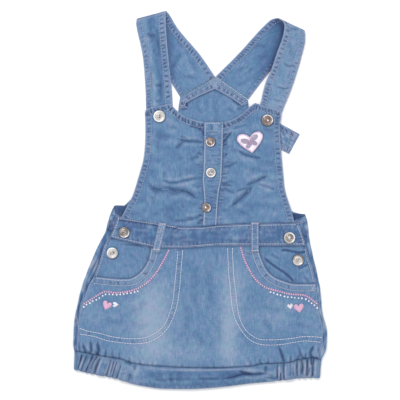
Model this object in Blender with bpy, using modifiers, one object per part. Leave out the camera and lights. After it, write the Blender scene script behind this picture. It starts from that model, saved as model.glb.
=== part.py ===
"""A toddler's denim pinafore dress, laid flat on its back.

Every piece of cloth is a thin wall made the way it is cut: a surface between
its edges, thickened. Lengths are in millimetres here and become metres when a
piece is made. X runs to the right, Y up towards the shoulders, Z up off the
surface that the dress lies on. The middle of the dress's outline is the origin.
"""

import math

import bmesh
import bpy
import numpy as np
from mathutils import Vector

# ---------------------------------------------------------------- main sizes
MM = 0.001
CLOTH = 1.0          # a single layer of denim with its nap
DOUBLE = 1.2         # a folded layer: waistbands and straps
GAP = 0.3            # between two pieces that lie on each other
SEAM = 0.15          # each side of a seam line
LAP_LEVEL = 1.5      # underside of the back's laps where they turn to the front
HIP_LEVEL = 2.8      # underside of the hip pieces with their pocket bags
FRONT_LEVEL = 4.1    # underside of the skirt front and the front waistband
BIB_LEVEL = 1.6      # underside of the bib, which lies on the back panel
LAP = 17.0           # how far the laps run under the front's side edges
SKIRT_RISE = 0.8     # how far the skirt front domes in its middle
STRAP_RISE = 1.45    # the bib's corner over the folded strap end
BUTTON_SIDES = 20
BACK_COLUMNS = 16    # grid columns across the back's pieces

COLLECTION = "denim_pinafore_dress"

# ------------------------------------------------------------------- tables
# Outline of the tube at its side folds, from the back waistband's top corner
# down: (up, x).
FOLD_LEFT = (
    (-5.7, -96.5), (-11.8, -99.8), (-22.8, -103.3), (-34.0, -106.0),
    (-48.6, -113.3), (-77.6, -125.6), (-96.4, -132.5), (-111.8, -136.3),
    (-136.8, -141.3), (-161.7, -142.4), (-172.5, -141.2), (-188.9, -141.6),
)
FOLD_RIGHT = (
    (-15.7, 118.0), (-22.7, 120.2), (-40.5, 122.2), (-58.8, 125.6),
    (-79.3, 130.7), (-93.6, 133.6), (-111.8, 135.9), (-126.1, 137.6),
    (-149.9, 142.4), (-166.1, 141.6), (-180.3, 135.9), (-198.2, 134.5),
)
# The front's side edge: the button placket, then the side seam: (up, x).
EDGE_LEFT = (
    (-19.5, -92.5), (-37.1, -98.8), (-50.7, -107.3), (-66.2, -111.9),
    (-85.5, -119.2), (-95.9, -125.0), (-108.4, -129.0), (-130.4, -135.6),
    (-156.6, -137.6), (-168.9, -138.0), (-190.0, -138.0),
)
EDGE_RIGHT = (
    (-25.6, 109.6), (-41.0, 115.4), (-50.7, 118.2), (-65.1, 121.6),
    (-79.3, 126.2), (-93.6, 129.0), (-107.3, 131.0), (-124.7, 133.0),
    (-146.0, 137.4), (-160.0, 137.4), (-178.3, 132.3), (-200.0, 131.0),
)
# Seams that run across, left to right: (x, up).
BACK_TOP = ((-96.5, -5.7), (118.0, -15.7))
BACK_WAIST = ((-105.4, -34.0), (122.2, -40.5))
WAIST_TOP = (
    (-92.5, -19.5), (-45.0, -26.5), (-17.0, -30.2), (3.0, -29.6),
    (18.9, -27.8), (59.0, -26.4), (109.6, -25.5),
)
WAIST_BOTTOM = (
    (-102.0, -41.6), (-71.0, -48.6), (-45.0, -53.3), (-17.0, -53.3),
    (23.0, -50.8), (59.0, -50.9), (118.2, -50.7),
)
HEM_SEAM = (
    (-142.4, -168.1), (-113.5, -173.9), (-87.0, -178.2), (-74.1, -182.6),
    (-45.0, -185.7), (0.9, -187.6), (55.8, -185.8), (69.2, -183.2),
    (97.7, -181.9), (107.3, -179.3), (125.6, -176.7), (136.0, -178.9),
)
HEM_EDGE = (
    (-142.0, -189.5), (-128.5, -193.4), (-107.1, -197.5), (-85.6, -202.5),
    (-74.9, -206.1), (-60.6, -208.9), (-41.9, -211.2), (-13.3, -211.6),
    (15.2, -210.1), (55.8, -205.5), (88.4, -202.5), (109.9, -200.0),
    (135.0, -199.1),
)
# Pocket openings, from the side to the waist: (x, up).
POCKET_LEFT = (
    (-119.3, -85.7), (-102.1, -87.5), (-87.7, -88.5), (-76.9, -87.5),
    (-67.8, -81.8), (-61.3, -73.8), (-57.0, -64.6), (-54.9, -52.3),
)
POCKET_RIGHT = (
    (129.4, -94.0), (103.9, -93.6), (92.2, -90.3), (81.4, -85.3),
    (74.3, -78.2), (69.3, -68.1), (65.7, -57.5), (65.0, -50.9),
)
# Pocket bags, from the side along the bottom, then up to the waist.
BAG_LEFT_LOW = ((-135.0, -149.0), (-105.6, -156.8), (-71.3, -160.7), (-36.3, -143.1))
BAG_LEFT_SIDE = ((-36.3, -143.1), (-25.5, -116.0), (-21.3, -76.7), (-19.5, -50.6))
BAG_RIGHT_LOW = ((135.4, -158.0), (106.3, -158.9), (67.0, -161.7), (47.8, -148.2))
BAG_RIGHT_SIDE = ((47.8, -148.2), (36.4, -123.2), (31.8, -80.3), (30.7, -48.6))
# The bib: side edges going up, top corners and neckline going inwards.
BIB_LEFT_EDGE = (
    (-88.4, -19.9), (-82.7, -8.5), (-75.5, 5.8), (-68.4, 28.6),
    (-63.8, 45.0), (-62.0, 60.7), (-61.4, 83.6), (-62.0, 98.8),
)
BIB_LEFT_CORNER = ((-62.0, 98.8), (-60.0, 102.4), (-46.3, 105.5), (-33.2, 108.4))
BIB_LEFT_NECK = ((-33.2, 108.4), (-25.8, 100.1), (-16.0, 93.3), (-1.7, 88.7), (11.5, 86.7))
BIB_RIGHT_EDGE = (
    (105.8, -25.5), (102.3, -12.1), (95.2, 10.8), (93.0, 30.7),
    (91.0, 50.0), (89.3, 84.3), (90.5, 92.1), (91.2, 99.8),
)
BIB_RIGHT_CORNER = ((91.2, 99.8), (80.0, 103.4), (68.1, 106.8), (61.6, 108.9))
BIB_RIGHT_NECK = ((61.6, 108.9), (55.0, 104.3), (43.0, 94.2), (26.0, 87.0), (11.5, 86.7))
BIB_MIDDLE = 11.5
# The button placket down the bib's middle: (up, left, right).
PLACKET = (
    (87.6, 4.7, 26.0), (60.7, 4.3, 25.3), (32.7, 3.5, 24.3), (23.7, 2.6, 23.9),
    (11.4, 3.6, 21.6), (-0.9, 4.3, 20.1), (-29.0, 3.0, 18.4),
)
# The back's bodice: side edges going up to the yoke, and the peaked yoke.
BACK_LEFT = (
    (-85.2, -6.2), (-79.2, -0.5), (-71.5, 8.5), (-54.0, 28.0),
    (-33.8, 56.2), (-26.0, 84.2), (-24.1, 104.4), (-22.4, 115.6),
)
BACK_RIGHT = (
    (113.0, -15.5), (102.0, -12.0), (94.5, -3.5), (85.0, 10.0),
    (71.0, 28.0), (57.0, 60.0),
    (54.6, 89.8), (54.3, 104.7), (53.5, 112.4),
)
YOKE_PEAK = (17.0, 138.3)
# The turned band on the yoke: (outer x, outer up, inner x, inner up).
YOKE_BAND = (
    (-24.0, 105.2, -16.9, 104.6), (-22.3, 115.3, -15.9, 108.9),
    (-2.6, 126.6, -1.4, 116.7), (17.0, 137.9, 16.6, 124.6),
    (35.2, 125.0, 33.4, 115.4), (53.2, 112.2, 45.9, 106.8),
    (53.9, 108.2, 47.2, 105.8),
)
# Straps as pairs of edge points with the middle of the cloth's height:
# (left x, left up, left z, right x, right up, right z), from the yoke over the
# shoulder fold and down the front.
STRAP_LEFT = (
    (-22.7, 116.1, 0.6, 16.6, 138.7, 0.6),
    (-33.0, 133.2, 0.6, -1.0, 164.2, 0.6),
    (-51.7, 167.7, 0.6, -23.8, 190.9, 0.6),
    (-67.0, 196.0, 0.6, -33.9, 207.3, 0.6),
    (-70.6, 202.0, 0.7, -36.9, 210.9, 1.0),
    (-71.2, 203.1, 1.35, -38.3, 211.8, 2.0),
    (-71.0, 201.9, 2.05, -38.4, 210.8, 3.0),
    (-71.1, 194.2, 2.15, -38.8, 204.5, 3.3),
    (-64.1, 160.6, 2.15, -37.1, 174.3, 2.6),
    (-61.1, 124.5, 1.9, -33.0, 134.2, 2.15),
    (-60.6, 103.3, 0.65, -31.0, 109.0, 0.75),
    (-58.5, 80.9, 0.6, -29.9, 80.9, 0.6),
)
STRAP_RIGHT = (
    (17.4, 138.7, 0.6, 54.0, 112.9, 0.6),
    (43.0, 164.2, 0.6, 80.0, 147.2, 0.6),
    (62.9, 186.3, 0.7, 100.6, 172.0, 0.6),
    (76.9, 200.0, 1.9, 110.6, 184.6, 0.6),
    (84.0, 203.4, 4.2, 115.6, 189.2, 0.9),
    (90.0, 202.0, 6.6, 116.9, 190.0, 1.7),
    (93.6, 197.8, 8.5, 117.4, 186.6, 2.4),
    (94.1, 192.0, 9.2, 117.4, 182.3, 2.5),
    (91.6, 180.3, 8.6, 117.0, 175.4, 2.4),
    (85.5, 163.5, 6.4, 113.0, 159.8, 2.3),
    (80.3, 147.8, 4.4, 108.6, 144.2, 2.2),
    (73.2, 131.0, 2.9, 101.8, 124.0, 2.15),
    (67.9, 109.4, 2.15, 91.3, 98.2, 2.1),
)
# The right strap's end is folded under itself behind the bib, on a slanting
# line, and comes out beside the bib: (left x, left up, right x, right up).
TAB_FOLD = (65.4, 99.1, 79.3, 63.8)
TAB_END = (111.8, 74.1, 99.6, 51.7)
# Height of the bib's underside on its way up to the waistband: (up, height).
FRONT_LIFT = (
    (120.0, BIB_LEVEL), (24.0, BIB_LEVEL), (8.0, 2.1), (-7.0, 3.2),
    (-18.0, FRONT_LEVEL), (-220.0, FRONT_LEVEL),
)
# The laps along the skirt's side: (share of the way down, lap past the front's
# edge, share of the rise from the lap's level to the front's level).
LAPS = (
    (0.0, LAP, 0.0), (0.19, LAP, 0.0), (0.29, 8.0, 0.0), (0.35, 1.0, 0.0),
    (0.37, -GAP, 0.0), (0.385, -GAP, 0.0), (0.42, -GAP, 0.6),
    (0.45, -GAP, 1.0), (1.0, -GAP, 1.0),
)
SKIRT_ROWS = (
    0.0, 0.1, 0.19, 0.29, 0.35, 0.37, 0.385, 0.42, 0.45, 0.51, 0.58, 0.66, 0.75, 0.87, 1.0,
)
# Pleats that the elastic draws into the hem band, as troughs:
# (x at the seam, x at the hem, depth, how far it runs up the skirt).
PLEATS = (
    (-131.3, -136.0, 1.9, 12.0), (-126.0, -130.7, 2.3, 17.0),
    (-119.5, -124.9, 2.8, 21.0), (-113.3, -118.5, 3.3, 23.0),
    (-101.0, -106.1, 2.4, 11.0), (-95.4, -99.9, 2.1, 14.0),
    (-88.7, -93.2, 1.7, 10.0), (85.9, 85.9, 1.5, 14.0),
    (91.9, 91.9, 1.7, 20.0), (107.0, 107.0, 2.4, 12.0),
    (112.7, 112.7, 2.2, 11.0), (119.8, 119.8, 2.6, 15.0),
    (126.2, 125.8, 2.0, 18.0),
)
PLEAT_HALF_WIDTH = 1.7
PLEAT_SWELL = 1.7
# The bib's largest creases, as troughs: (x, up, x, up, depth, half width).
BIB_CREASES = (
    (-57.7, 17.1, -2.7, 4.0, 0.8, 3.4), (-32.0, -24.0, -2.0, -13.0, 0.9, 3.0),
    (-47.0, 23.0, -1.0, 24.5, 0.6, 3.0), (-25.1, 69.0, 2.0, 66.0, 0.6, 3.0),
    (31.0, -6.0, 73.7, 26.0, 0.8, 3.4), (24.0, 16.0, 39.0, 9.5, 0.5, 3.0),
    (26.0, 38.0, 40.0, 43.0, 0.5, 3.0),
)
# Metal shank buttons: (name, x, up, diameter, the piece they are sewn on).
BUTTONS = (
    ("button_bib_left", -45.8, 93.9, 13.4, "bib"),
    ("button_bib_right", 75.3, 89.5, 13.2, "bib"),
    ("button_placket_1", 11.5, 65.2, 11.0, "placket"),
    ("button_placket_2", 12.0, 30.8, 11.0, "placket"),
    ("button_placket_3", 6.9, -8.3, 10.2, "placket"),
    ("button_waist_left", -85.1, -36.1, 12.4, "waistband"),
    ("button_waist_right", 99.9, -42.1, 12.8, "waistband"),
    ("button_hip_left", -98.4, -59.2, 12.6, "hip"),
    ("button_hip_right", 109.6, -67.1, 12.6, "hip"),
)
# Half section of a button, for a diameter of 2: (radius, height), top down.
BUTTON_PROFILE = (
    (0.0, 0.24), (0.62, 0.24), (0.72, 0.36), (0.86, 0.42),
    (0.97, 0.33), (1.0, 0.2), (0.92, 0.06), (0.0, 0.0),
)
# Belt loops: (name, top x, top up, bottom x, bottom up, width).
BELT_LOOPS = (
    ("belt_loop_left", -42.0, -25.6, -49.1, -56.6, 8.6),
    ("belt_loop_right", 61.2, -24.8, 61.2, -57.9, 9.2),
)
# The sewn-on heart: half outline from the tip round to the notch, in its own
# axes: (across, up).
HEART_HALF = (
    (0.0, -10.6), (6.0, -5.4), (11.2, 0.2), (13.6, 5.6), (11.0, 9.8),
    (6.4, 10.2), (2.4, 8.2), (0.0, 5.6),
)
HEART_CENTRE = (56.6, 64.2)
HEART_TILT = math.radians(9.0)

# Colours, roughness and metal of the pieces.
FINISHES = {
    "denim": ((0.147, 0.276, 0.474), 0.9, 0.0),
    "denim_dark": ((0.105, 0.205, 0.39), 0.9, 0.0),
    "satin": ((0.74, 0.62, 0.74), 0.5, 0.0),
    "metal": ((0.72, 0.69, 0.64), 0.28, 1.0),
}


# ---------------------------------------------------------- curves and tables
def column(table, key, values, at):
    """Reads one column of a table, smoothly between its rows and without overshoot."""
    rows = sorted(table, key=lambda row: row[key])
    x = np.array([row[key] for row in rows], float)
    y = np.array([row[values] for row in rows], float)
    at = np.clip(np.asarray(at, float), x[0], x[-1])
    if len(x) == 2:
        return np.interp(at, x, y)
    h = np.diff(x)
    slope = np.diff(y) / h
    tangent = np.zeros_like(y)
    same = slope[:-1] * slope[1:] > 0
    w1, w2 = 2 * h[1:] + h[:-1], h[1:] + 2 * h[:-1]
    with np.errstate(divide="ignore", invalid="ignore"):
        mean = (w1 + w2) / (w1 / slope[:-1] + w2 / slope[1:])
    tangent[1:-1] = np.where(same, mean, 0.0)
    tangent[0], tangent[-1] = slope[0], slope[-1]
    k = np.clip(np.searchsorted(x, at, side="right") - 1, 0, len(h) - 1)
    t = (at - x[k]) / h[k]
    return (
        (2 * t**3 - 3 * t**2 + 1) * y[k]
        + (t**3 - 2 * t**2 + t) * h[k] * tangent[k]
        + (3 * t**2 - 2 * t**3) * y[k + 1]
        + (t**3 - t**2) * h[k] * tangent[k + 1]
    )


def through(points, count=None):
    """Points along a smooth curve through the given ones, closely spaced."""
    p = np.array(points, float)
    if len(p) == 2:
        t = np.linspace(0, 1, count or 9)[:, None]
        return p[0] * (1 - t) + p[1] * t
    d = np.sqrt(np.linalg.norm(np.diff(p, axis=0), axis=1))
    knots = np.concatenate([[0], np.cumsum(d)])
    h = np.diff(knots)[:, None]
    slope = np.diff(p, axis=0) / h
    tangent = np.empty_like(p)
    tangent[1:-1] = (slope[:-1] * h[1:] + slope[1:] * h[:-1]) / (h[:-1] + h[1:])
    tangent[0], tangent[-1] = slope[0], slope[-1]
    at = np.linspace(0, knots[-1], count or 16 * (len(p) - 1) + 1)
    k = np.clip(np.searchsorted(knots, at, side="right") - 1, 0, len(h) - 1)
    t = ((at - knots[k]) / h[k, 0])[:, None]
    hk = h[k]
    return (
        (2 * t**3 - 3 * t**2 + 1) * p[k]
        + (t**3 - 2 * t**2 + t) * hk * tangent[k]
        + (3 * t**2 - 2 * t**3) * p[k + 1]
        + (t**3 - t**2) * hk * tangent[k + 1]
    )


def joined(*parts):
    """Smooth curves end to end, keeping the corners between them."""
    return np.concatenate([part if i == 0 else part[1:] for i, part in enumerate(parts)])


def spread(points, shares):
    """The points at these shares of a curve's length."""
    d = np.linalg.norm(np.diff(points, axis=0), axis=1)
    length = np.concatenate([[0], np.cumsum(d)]) / d.sum()
    return np.stack([np.interp(shares, length, points[:, i]) for i in range(points.shape[1])], axis=1)


def patch(left, right, bottom, top, across, up):
    """A grid of points between four edges, rows going up and columns going right."""
    u, v = np.asarray(across)[None, :, None], np.asarray(up)[:, None, None]
    lo, hi = spread(bottom, across)[None], spread(top, across)[None]
    lf, rt = spread(left, up)[:, None], spread(right, up)[:, None]
    corners = (
        (1 - u) * (1 - v) * bottom[0] + u * (1 - v) * bottom[-1]
        + (1 - u) * v * top[0] + u * v * top[-1]
    )
    return (1 - v) * lo + v * hi + (1 - u) * lf + u * rt - corners


def line(start, end):
    return np.array([start, end], float)


def across_seam(table, start, end):
    """The stretch of a seam between two values of x, as a curve."""
    x = np.linspace(start, end, 61)
    return np.stack([x, column(table, 0, 1, x)], axis=1)


def along_edge(table, start, end):
    """The stretch of a side edge between two heights, as a curve."""
    up = np.linspace(start, end, 61)
    return np.stack([column(table, 0, 1, up), up], axis=1)


def step(value, low, high):
    t = np.clip((value - low) / (high - low), 0, 1)
    return t * t * (3 - 2 * t)


# -------------------------------------------------------------- the front's form
def trough(x, y, x1, y1, x2, y2, depth, half):
    """A soft crease from one point to another, fading at both ends."""
    dx, dy = x2 - x1, y2 - y1
    length = math.hypot(dx, dy)
    along = ((x - x1) * dx + (y - y1) * dy) / length
    off = ((x - x1) * dy - (y - y1) * dx) / length
    fade = step(along, -half, 0.35 * length) * (1 - step(along, 0.65 * length, length + half))
    return -depth * np.exp(-((off / half) ** 2)) * fade


def pleat_height(x, y):
    """The elastic's pleats, on the hem band and fading up the skirt."""
    seam, hem = column(HEM_SEAM, 0, 1, x), column(HEM_EDGE, 0, 1, x)
    down = np.clip((seam - y) / (seam - hem), 0, 1)
    above = np.maximum(y - seam, 0)
    height = np.zeros_like(x)
    for at_seam, at_hem, depth, run in PLEATS:
        at = at_seam + (at_hem - at_seam) * down
        fade = 1 - step(above, 0, run)
        height = height - depth * fade * np.exp(-(((x - at) / PLEAT_HALF_WIDTH) ** 2))
    zone = (1 - step(x, -88, -72)) + step(x, 74, 90)
    return height + PLEAT_SWELL * zone * (1 - step(above, 0, 22))


def front_height(x, y):
    """Height of the underside of bib, front waistband, skirt front and hem band."""
    x, y = np.broadcast_arrays(np.asarray(x, float), np.asarray(y, float))
    height = column(FRONT_LIFT, 0, 1, y)
    height = height + STRAP_RISE * step(x, 40, 58) * step(y, 28, 48)
    dome = np.cos(np.clip(x / 142.0, -1, 1) * math.pi / 2) ** 2
    height = height + SKIRT_RISE * dome * step(-y, 45, 80)
    over_band = np.exp(-(((y - column(HEM_SEAM, 0, 1, x) - 9) / 7) ** 2))
    height = height + 0.7 * over_band * step(x, -95, -60) * (1 - step(x, 70, 100))
    return height + pleat_height(x, y)


def bib_height(x, y):
    """The bib's underside: the front's form with the bib's creases."""
    height = front_height(x, y)
    for row in BIB_CREASES:
        height = height + trough(x, y, *row)
    return height


def raised(points, height_of, lift=0.0):
    """Puts a flat grid of points at its height."""
    z = height_of(points[..., 0], points[..., 1]) + lift
    return np.concatenate([points, z[..., None]], axis=-1)


def pulled_in(grid, left=0.0, right=0.0, bottom=0.0, top=0.0):
    """Moves a grid's edges inwards, for the gaps at seams."""
    def toward(edge, inner, amount):
        way = inner - edge
        return edge + way * (amount / np.maximum(np.linalg.norm(way, axis=-1), 1e-9))[..., None]

    out = grid.copy()
    if left:
        out[:, 0] = toward(out[:, 0], out[:, 1], left)
    if right:
        out[:, -1] = toward(out[:, -1], out[:, -2], right)
    if bottom:
        out[0] = toward(out[0], out[1], bottom)
    if top:
        out[-1] = toward(out[-1], out[-2], top)
    return out


# ------------------------------------------------------------ making the pieces
for old in list(bpy.data.objects):
    bpy.data.objects.remove(old, do_unlink=True)
garment = bpy.data.collections.new(COLLECTION)
bpy.context.scene.collection.children.link(garment)


def finish(name, kind):
    colour, roughness, metallic = FINISHES[kind]
    material = bpy.data.materials.new(name + "_" + kind)
    material.use_nodes = True
    shader = material.node_tree.nodes["Principled BSDF"]
    shader.inputs["Base Color"].default_value = (*colour, 1.0)
    shader.inputs["Roughness"].default_value = roughness
    shader.inputs["Metallic"].default_value = metallic
    return material


def cloth(name, grid, thickness, kind="denim", grow=1.0):
    """A wall of cloth from a grid of points: grow 1 thickens it upwards, 0 both ways."""
    rows, columns = grid.shape[:2]
    mesh = bpy.data.meshes.new(name)
    bm = bmesh.new()
    bmesh.ops.create_grid(bm, x_segments=columns - 1, y_segments=rows - 1, size=1.0)
    for vert in bm.verts:
        i = round((vert.co.x + 1) / 2 * (columns - 1))
        j = round((vert.co.y + 1) / 2 * (rows - 1))
        vert.co = Vector(grid[j, i]) * MM
    bmesh.ops.remove_doubles(bm, verts=bm.verts, dist=1e-5)
    bm.to_mesh(mesh)
    bm.free()
    mesh.shade_smooth()
    obj = bpy.data.objects.new(name, mesh)
    wall = obj.modifiers.new("Wall", "SOLIDIFY")
    wall.thickness = thickness * MM
    wall.offset = grow
    wall.use_even_offset = grow != 0
    mesh.materials.append(finish(name, kind))
    garment.objects.link(obj)
    return obj


def even(count):
    return np.linspace(0, 1, count + 1)


# Back bodice, up to the peaked yoke.
yoke_top = joined(
    line(BACK_LEFT[-1], YOKE_PEAK), line(YOKE_PEAK, BACK_RIGHT[-1])
)
peak = np.linalg.norm(np.subtract(YOKE_PEAK, BACK_LEFT[-1]))
share = peak / (peak + np.linalg.norm(np.subtract(BACK_RIGHT[-1], YOKE_PEAK)))
back = patch(
    through(BACK_LEFT), through(BACK_RIGHT), across_seam(BACK_TOP, BACK_LEFT[0][0], BACK_RIGHT[0][0]), yoke_top,
    np.concatenate([np.linspace(0, share, 6), np.linspace(share, 1, 6)[1:]]), even(9),
)
back = pulled_in(raised(back, lambda x, y: np.zeros_like(x)), bottom=SEAM, top=SEAM)
cloth("back_panel", back, CLOTH)

# The band turned under along the yoke's two slanting edges.
band = np.array(YOKE_BAND)
t = np.linspace(0, len(band) - 1, 2 * (len(band) - 1) + 1)
band = np.stack([np.interp(t, range(len(band)), band[:, k]) for k in range(4)], axis=1)
yoke_band = np.stack([band[:, 2:], (band[:, 2:] + band[:, :2]) / 2, band[:, :2]])
yoke_band = np.concatenate([yoke_band, np.full((*yoke_band.shape[:2], 1), CLOTH + GAP)], axis=-1)
cloth("yoke_band", yoke_band, CLOTH)


def smooth_rows(table, per_row):
    """The table's rows with smooth ones between them."""
    rows = np.array(table, float)
    n = len(rows)
    at = np.linspace(0, n - 1, per_row * (n - 1) + 1)
    k = np.clip(at.astype(int), 0, n - 2)
    t = (at - k)[:, None]
    before, after = rows[np.maximum(k - 1, 0)], rows[np.minimum(k + 2, n - 1)]
    a, b = rows[k], rows[k + 1]
    ta, tb = (b - before) / 2, (after - a) / 2
    out = (
        (2 * t**3 - 3 * t**2 + 1) * a + (t**3 - 2 * t**2 + t) * ta
        + (3 * t**2 - 2 * t**3) * b + (t**3 - t**2) * tb
    )
    out[:, [2, 5]] = np.maximum(out[:, [2, 5]], DOUBLE / 2)
    return out


def ribbon(rows):
    """A strap's grid of points from rows of two edges, with a middle line between."""
    a, b = rows[:, :3], rows[:, 3:]
    return np.stack([a, (a + b) / 2, b], axis=1)


cloth("strap_left", ribbon(smooth_rows(STRAP_LEFT, 2)), DOUBLE, grow=0.0)

# The right strap, with its end folded under behind the bib.
ax, ay, bx, by = TAB_FOLD
fold = np.array([bx - ax, by - ay])
fold /= np.linalg.norm(fold)
outward = np.array([fold[1], -fold[0]])
if outward[0] > 0:
    outward = -outward
high, low = STRAP_RIGHT[-1][2], DOUBLE / 2
centre, radius = (high + low) / 2, (high - low) / 2
turn = []
for angle in np.linspace(math.pi / 2, -math.pi / 2, 7):
    shift = outward * radius * math.cos(angle)
    z = centre + radius * math.sin(angle)
    turn.append((ax + shift[0], ay + shift[1], z, bx + shift[0], by + shift[1], z))
ex, ey, fx, fy = TAB_END
tab = [
    tuple((1 - s) * np.array(turn[-1]) + s * np.array((ex, ey, low, fx, fy, low)))
    for s in (0.5, 1.0)
]
cloth("strap_right", ribbon(np.array([*smooth_rows(STRAP_RIGHT, 2), *turn, *tab])), DOUBLE, grow=0.0)


# The back's wrapped pieces: flat below, round at the side folds, and turned to
# the front as far as the laps or the side seams.
def wrapped(share_down, top_of, bottom_of, lap_top, lap_of, level_of, thickness, low_count):
    rows = []
    for v in share_down:
        level = level_of(v)
        radius = level / 2
        sides = []
        for fold_table, edge_table, way in ((FOLD_LEFT, EDGE_LEFT, 1), (FOLD_RIGHT, EDGE_RIGHT, -1)):
            x = float(column(fold_table, 0, 1, -60))
            for _ in range(6):
                y = float((1 - v) * top_of(x) + v * bottom_of(x))
                x = float(column(fold_table, 0, 1, y))
            edge = float(column(edge_table, 0, 1, y)) + way * lap_of(v)
            sides.append((x, y, edge, way))
        (xl, yl, edge_l, _), (xr, yr, edge_r, _) = sides
        half = thickness / 2
        row = []
        for x, y, edge, way in sides:
            centre = x + way * (radius + half)
            side = [(s * centre + (1 - s) * edge, level + half) for s in (0.0, 0.5, 1.0)]
            side += [
                (centre - way * radius * math.sin(a), half + radius + radius * math.cos(a))
                for a in np.linspace(0, math.pi, 5)[1:-1]
            ]
            points = []
            for px, pz in side:
                back_y = (1 - v) * top_of(px) + v * bottom_of(px)
                front_y = (1 - v) * lap_top(px, way) + v * bottom_of(px)
                turned = step(pz, half, level + half)
                points.append((px, float((1 - turned) * back_y + turned * front_y), pz))
            row.append(points)
        left = xl + radius + half
        right = xr - radius - half
        low = []
        for s in even(low_count):
            x = left + (right - left) * s
            low.append((x, float((1 - v) * top_of(x) + v * bottom_of(x)), half))
        rows.append(row[0] + low + row[1][::-1])
    return np.array(rows[::-1])


def straight(table):
    return lambda x: column(table, 0, 1, x)


def lap_edge(x, way):
    """Top edge of the waistband's laps, which slants down towards the front."""
    if way > 0:
        return np.interp(x, (-99.5, -89.0, -70.0), (-11.8, -18.6, -22.0))
    return np.interp(x, (96.0, 106.6, 120.0), (-25.0, -22.2, -17.2))


back_waist = wrapped(
    even(3), straight(BACK_TOP), straight(BACK_WAIST), lap_edge,
    lambda v: LAP, lambda v: LAP_LEVEL, DOUBLE, BACK_COLUMNS,
)
cloth("back_waistband", pulled_in(back_waist, bottom=SEAM, top=SEAM), DOUBLE, grow=0.0)

skirt_back = wrapped(
    SKIRT_ROWS, straight(BACK_WAIST), straight(HEM_SEAM), lambda x, way: column(BACK_WAIST, 0, 1, x),
    lambda v: float(np.interp(v, [r[0] for r in LAPS], [r[1] for r in LAPS])),
    lambda v: LAP_LEVEL + (FRONT_LEVEL - LAP_LEVEL) * float(np.interp(v, [r[0] for r in LAPS], [r[2] for r in LAPS])),
    CLOTH, BACK_COLUMNS,
)
cloth("skirt_back", pulled_in(skirt_back, bottom=SEAM, top=SEAM), CLOTH, grow=0.0)

hem_back = wrapped(
    even(3), straight(HEM_SEAM), straight(HEM_EDGE), lambda x, way: column(HEM_SEAM, 0, 1, x),
    lambda v: -SEAM, lambda v: FRONT_LEVEL, CLOTH, BACK_COLUMNS,
)
cloth("hem_band_back", pulled_in(hem_back, top=SEAM), CLOTH, grow=0.0)

# Hip pieces, whose lower part is the pocket bag behind the skirt front.
for name, edge_table, way, low_edge, inner_edge in (
    ("hip_pocket_left", EDGE_LEFT, 1, BAG_LEFT_LOW, BAG_LEFT_SIDE),
    ("hip_pocket_right", EDGE_RIGHT, -1, BAG_RIGHT_LOW, BAG_RIGHT_SIDE),
):
    top_y = float(column(WAIST_BOTTOM, 0, 1, -102.0 if way > 0 else 118.0)) + 2.6
    end_x, end_y = low_edge[0]
    upper = along_edge(edge_table, end_y, top_y)
    inside = 1.2 * (1 - step(upper[:, 1], -92 if way > 0 else -98, -86 if way > 0 else -92))
    upper[:, 0] += way * inside
    low_curve = through((tuple(upper[0]), *low_edge[1:]))
    inner = through(inner_edge)
    across = np.linspace(upper[-1, 0], inner[-1, 0], 41)
    top = np.stack([across, column(WAIST_BOTTOM, 0, 1, across) + 2.6], axis=1)
    top[-1], top[0] = inner[-1], upper[-1]
    if way > 0:
        grid = patch(upper, inner, low_curve, top, even(8), even(10))
    else:
        grid = patch(inner, upper, low_curve[::-1], top[::-1], even(8), even(10))
    cloth(name, raised(grid, lambda x, y: np.full_like(x, HIP_LEVEL)), CLOTH)

# Front waistband.
waist = patch(
    along_edge(EDGE_LEFT, -41.6, -19.5), along_edge(EDGE_RIGHT, -50.7, -25.5),
    across_seam(WAIST_BOTTOM, -102.0, 118.2), across_seam(WAIST_TOP, -92.5, 109.6), even(24), even(2),
)
waist = pulled_in(raised(waist, front_height), bottom=SEAM, top=SEAM)
cloth("front_waistband", waist, DOUBLE)


# Columns of the skirt front and the hem band: on each pleat's trough and ridge
# at the sides, and evenly spaced between.
def hem_columns(which):
    troughs = sorted(row[which] for row in PLEATS)
    start, end = float(column(EDGE_LEFT, 0, 1, -168.9)), float(column(EDGE_RIGHT, 0, 1, -178.3))
    if which:
        start, end = -138.0, 131.0
    marks = [start, *[x for x in troughs if x < 0]]
    middle_from, middle_to = marks[-1], min(x for x in troughs if x > 0)
    left = [m for pair in zip(marks, marks[1:]) for m in (pair[0], (pair[0] + pair[1]) / 2)]
    marks = [*[x for x in troughs if x > 0], end]
    right = [m for pair in zip(marks, marks[1:]) for m in ((pair[0] + pair[1]) / 2, pair[1])]
    middle = list(np.linspace(middle_from, middle_to, 14))
    return np.array([*left, *middle, *right])


seam_x, hem_x = hem_columns(0), hem_columns(1)
seam_line = np.stack([seam_x, column(HEM_SEAM, 0, 1, seam_x)], axis=1)
hem_line = np.stack([hem_x, column(HEM_EDGE, 0, 1, hem_x)], axis=1)

seam_curve = across_seam(HEM_SEAM, seam_x[0], seam_x[-1])
d = np.concatenate([[0], np.cumsum(np.linalg.norm(np.diff(seam_line, axis=0), axis=1))])
shares = d / d[-1]
top_curve = joined(
    through(POCKET_LEFT), across_seam(WAIST_BOTTOM, POCKET_LEFT[-1][0], POCKET_RIGHT[-1][0]),
    through(POCKET_RIGHT)[::-1],
)
left_seam = along_edge(EDGE_LEFT, -168.9, -85.7)
right_seam = along_edge(EDGE_RIGHT, -178.3, -94.0)
left_seam[-1], right_seam[-1] = top_curve[0], top_curve[-1]
seam_curve[0], seam_curve[-1] = left_seam[0], right_seam[0]
skirt_up = np.array([0, 0.04, 0.09, 0.16, 0.26, 0.38, 0.52, 0.66, 0.8, 0.92, 1.0])
skirt = patch(left_seam, right_seam, seam_curve, top_curve, shares, skirt_up)
skirt[0] = seam_line
skirt[0, 0], skirt[0, -1] = left_seam[0], right_seam[0]
skirt = raised(skirt, front_height)
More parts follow.
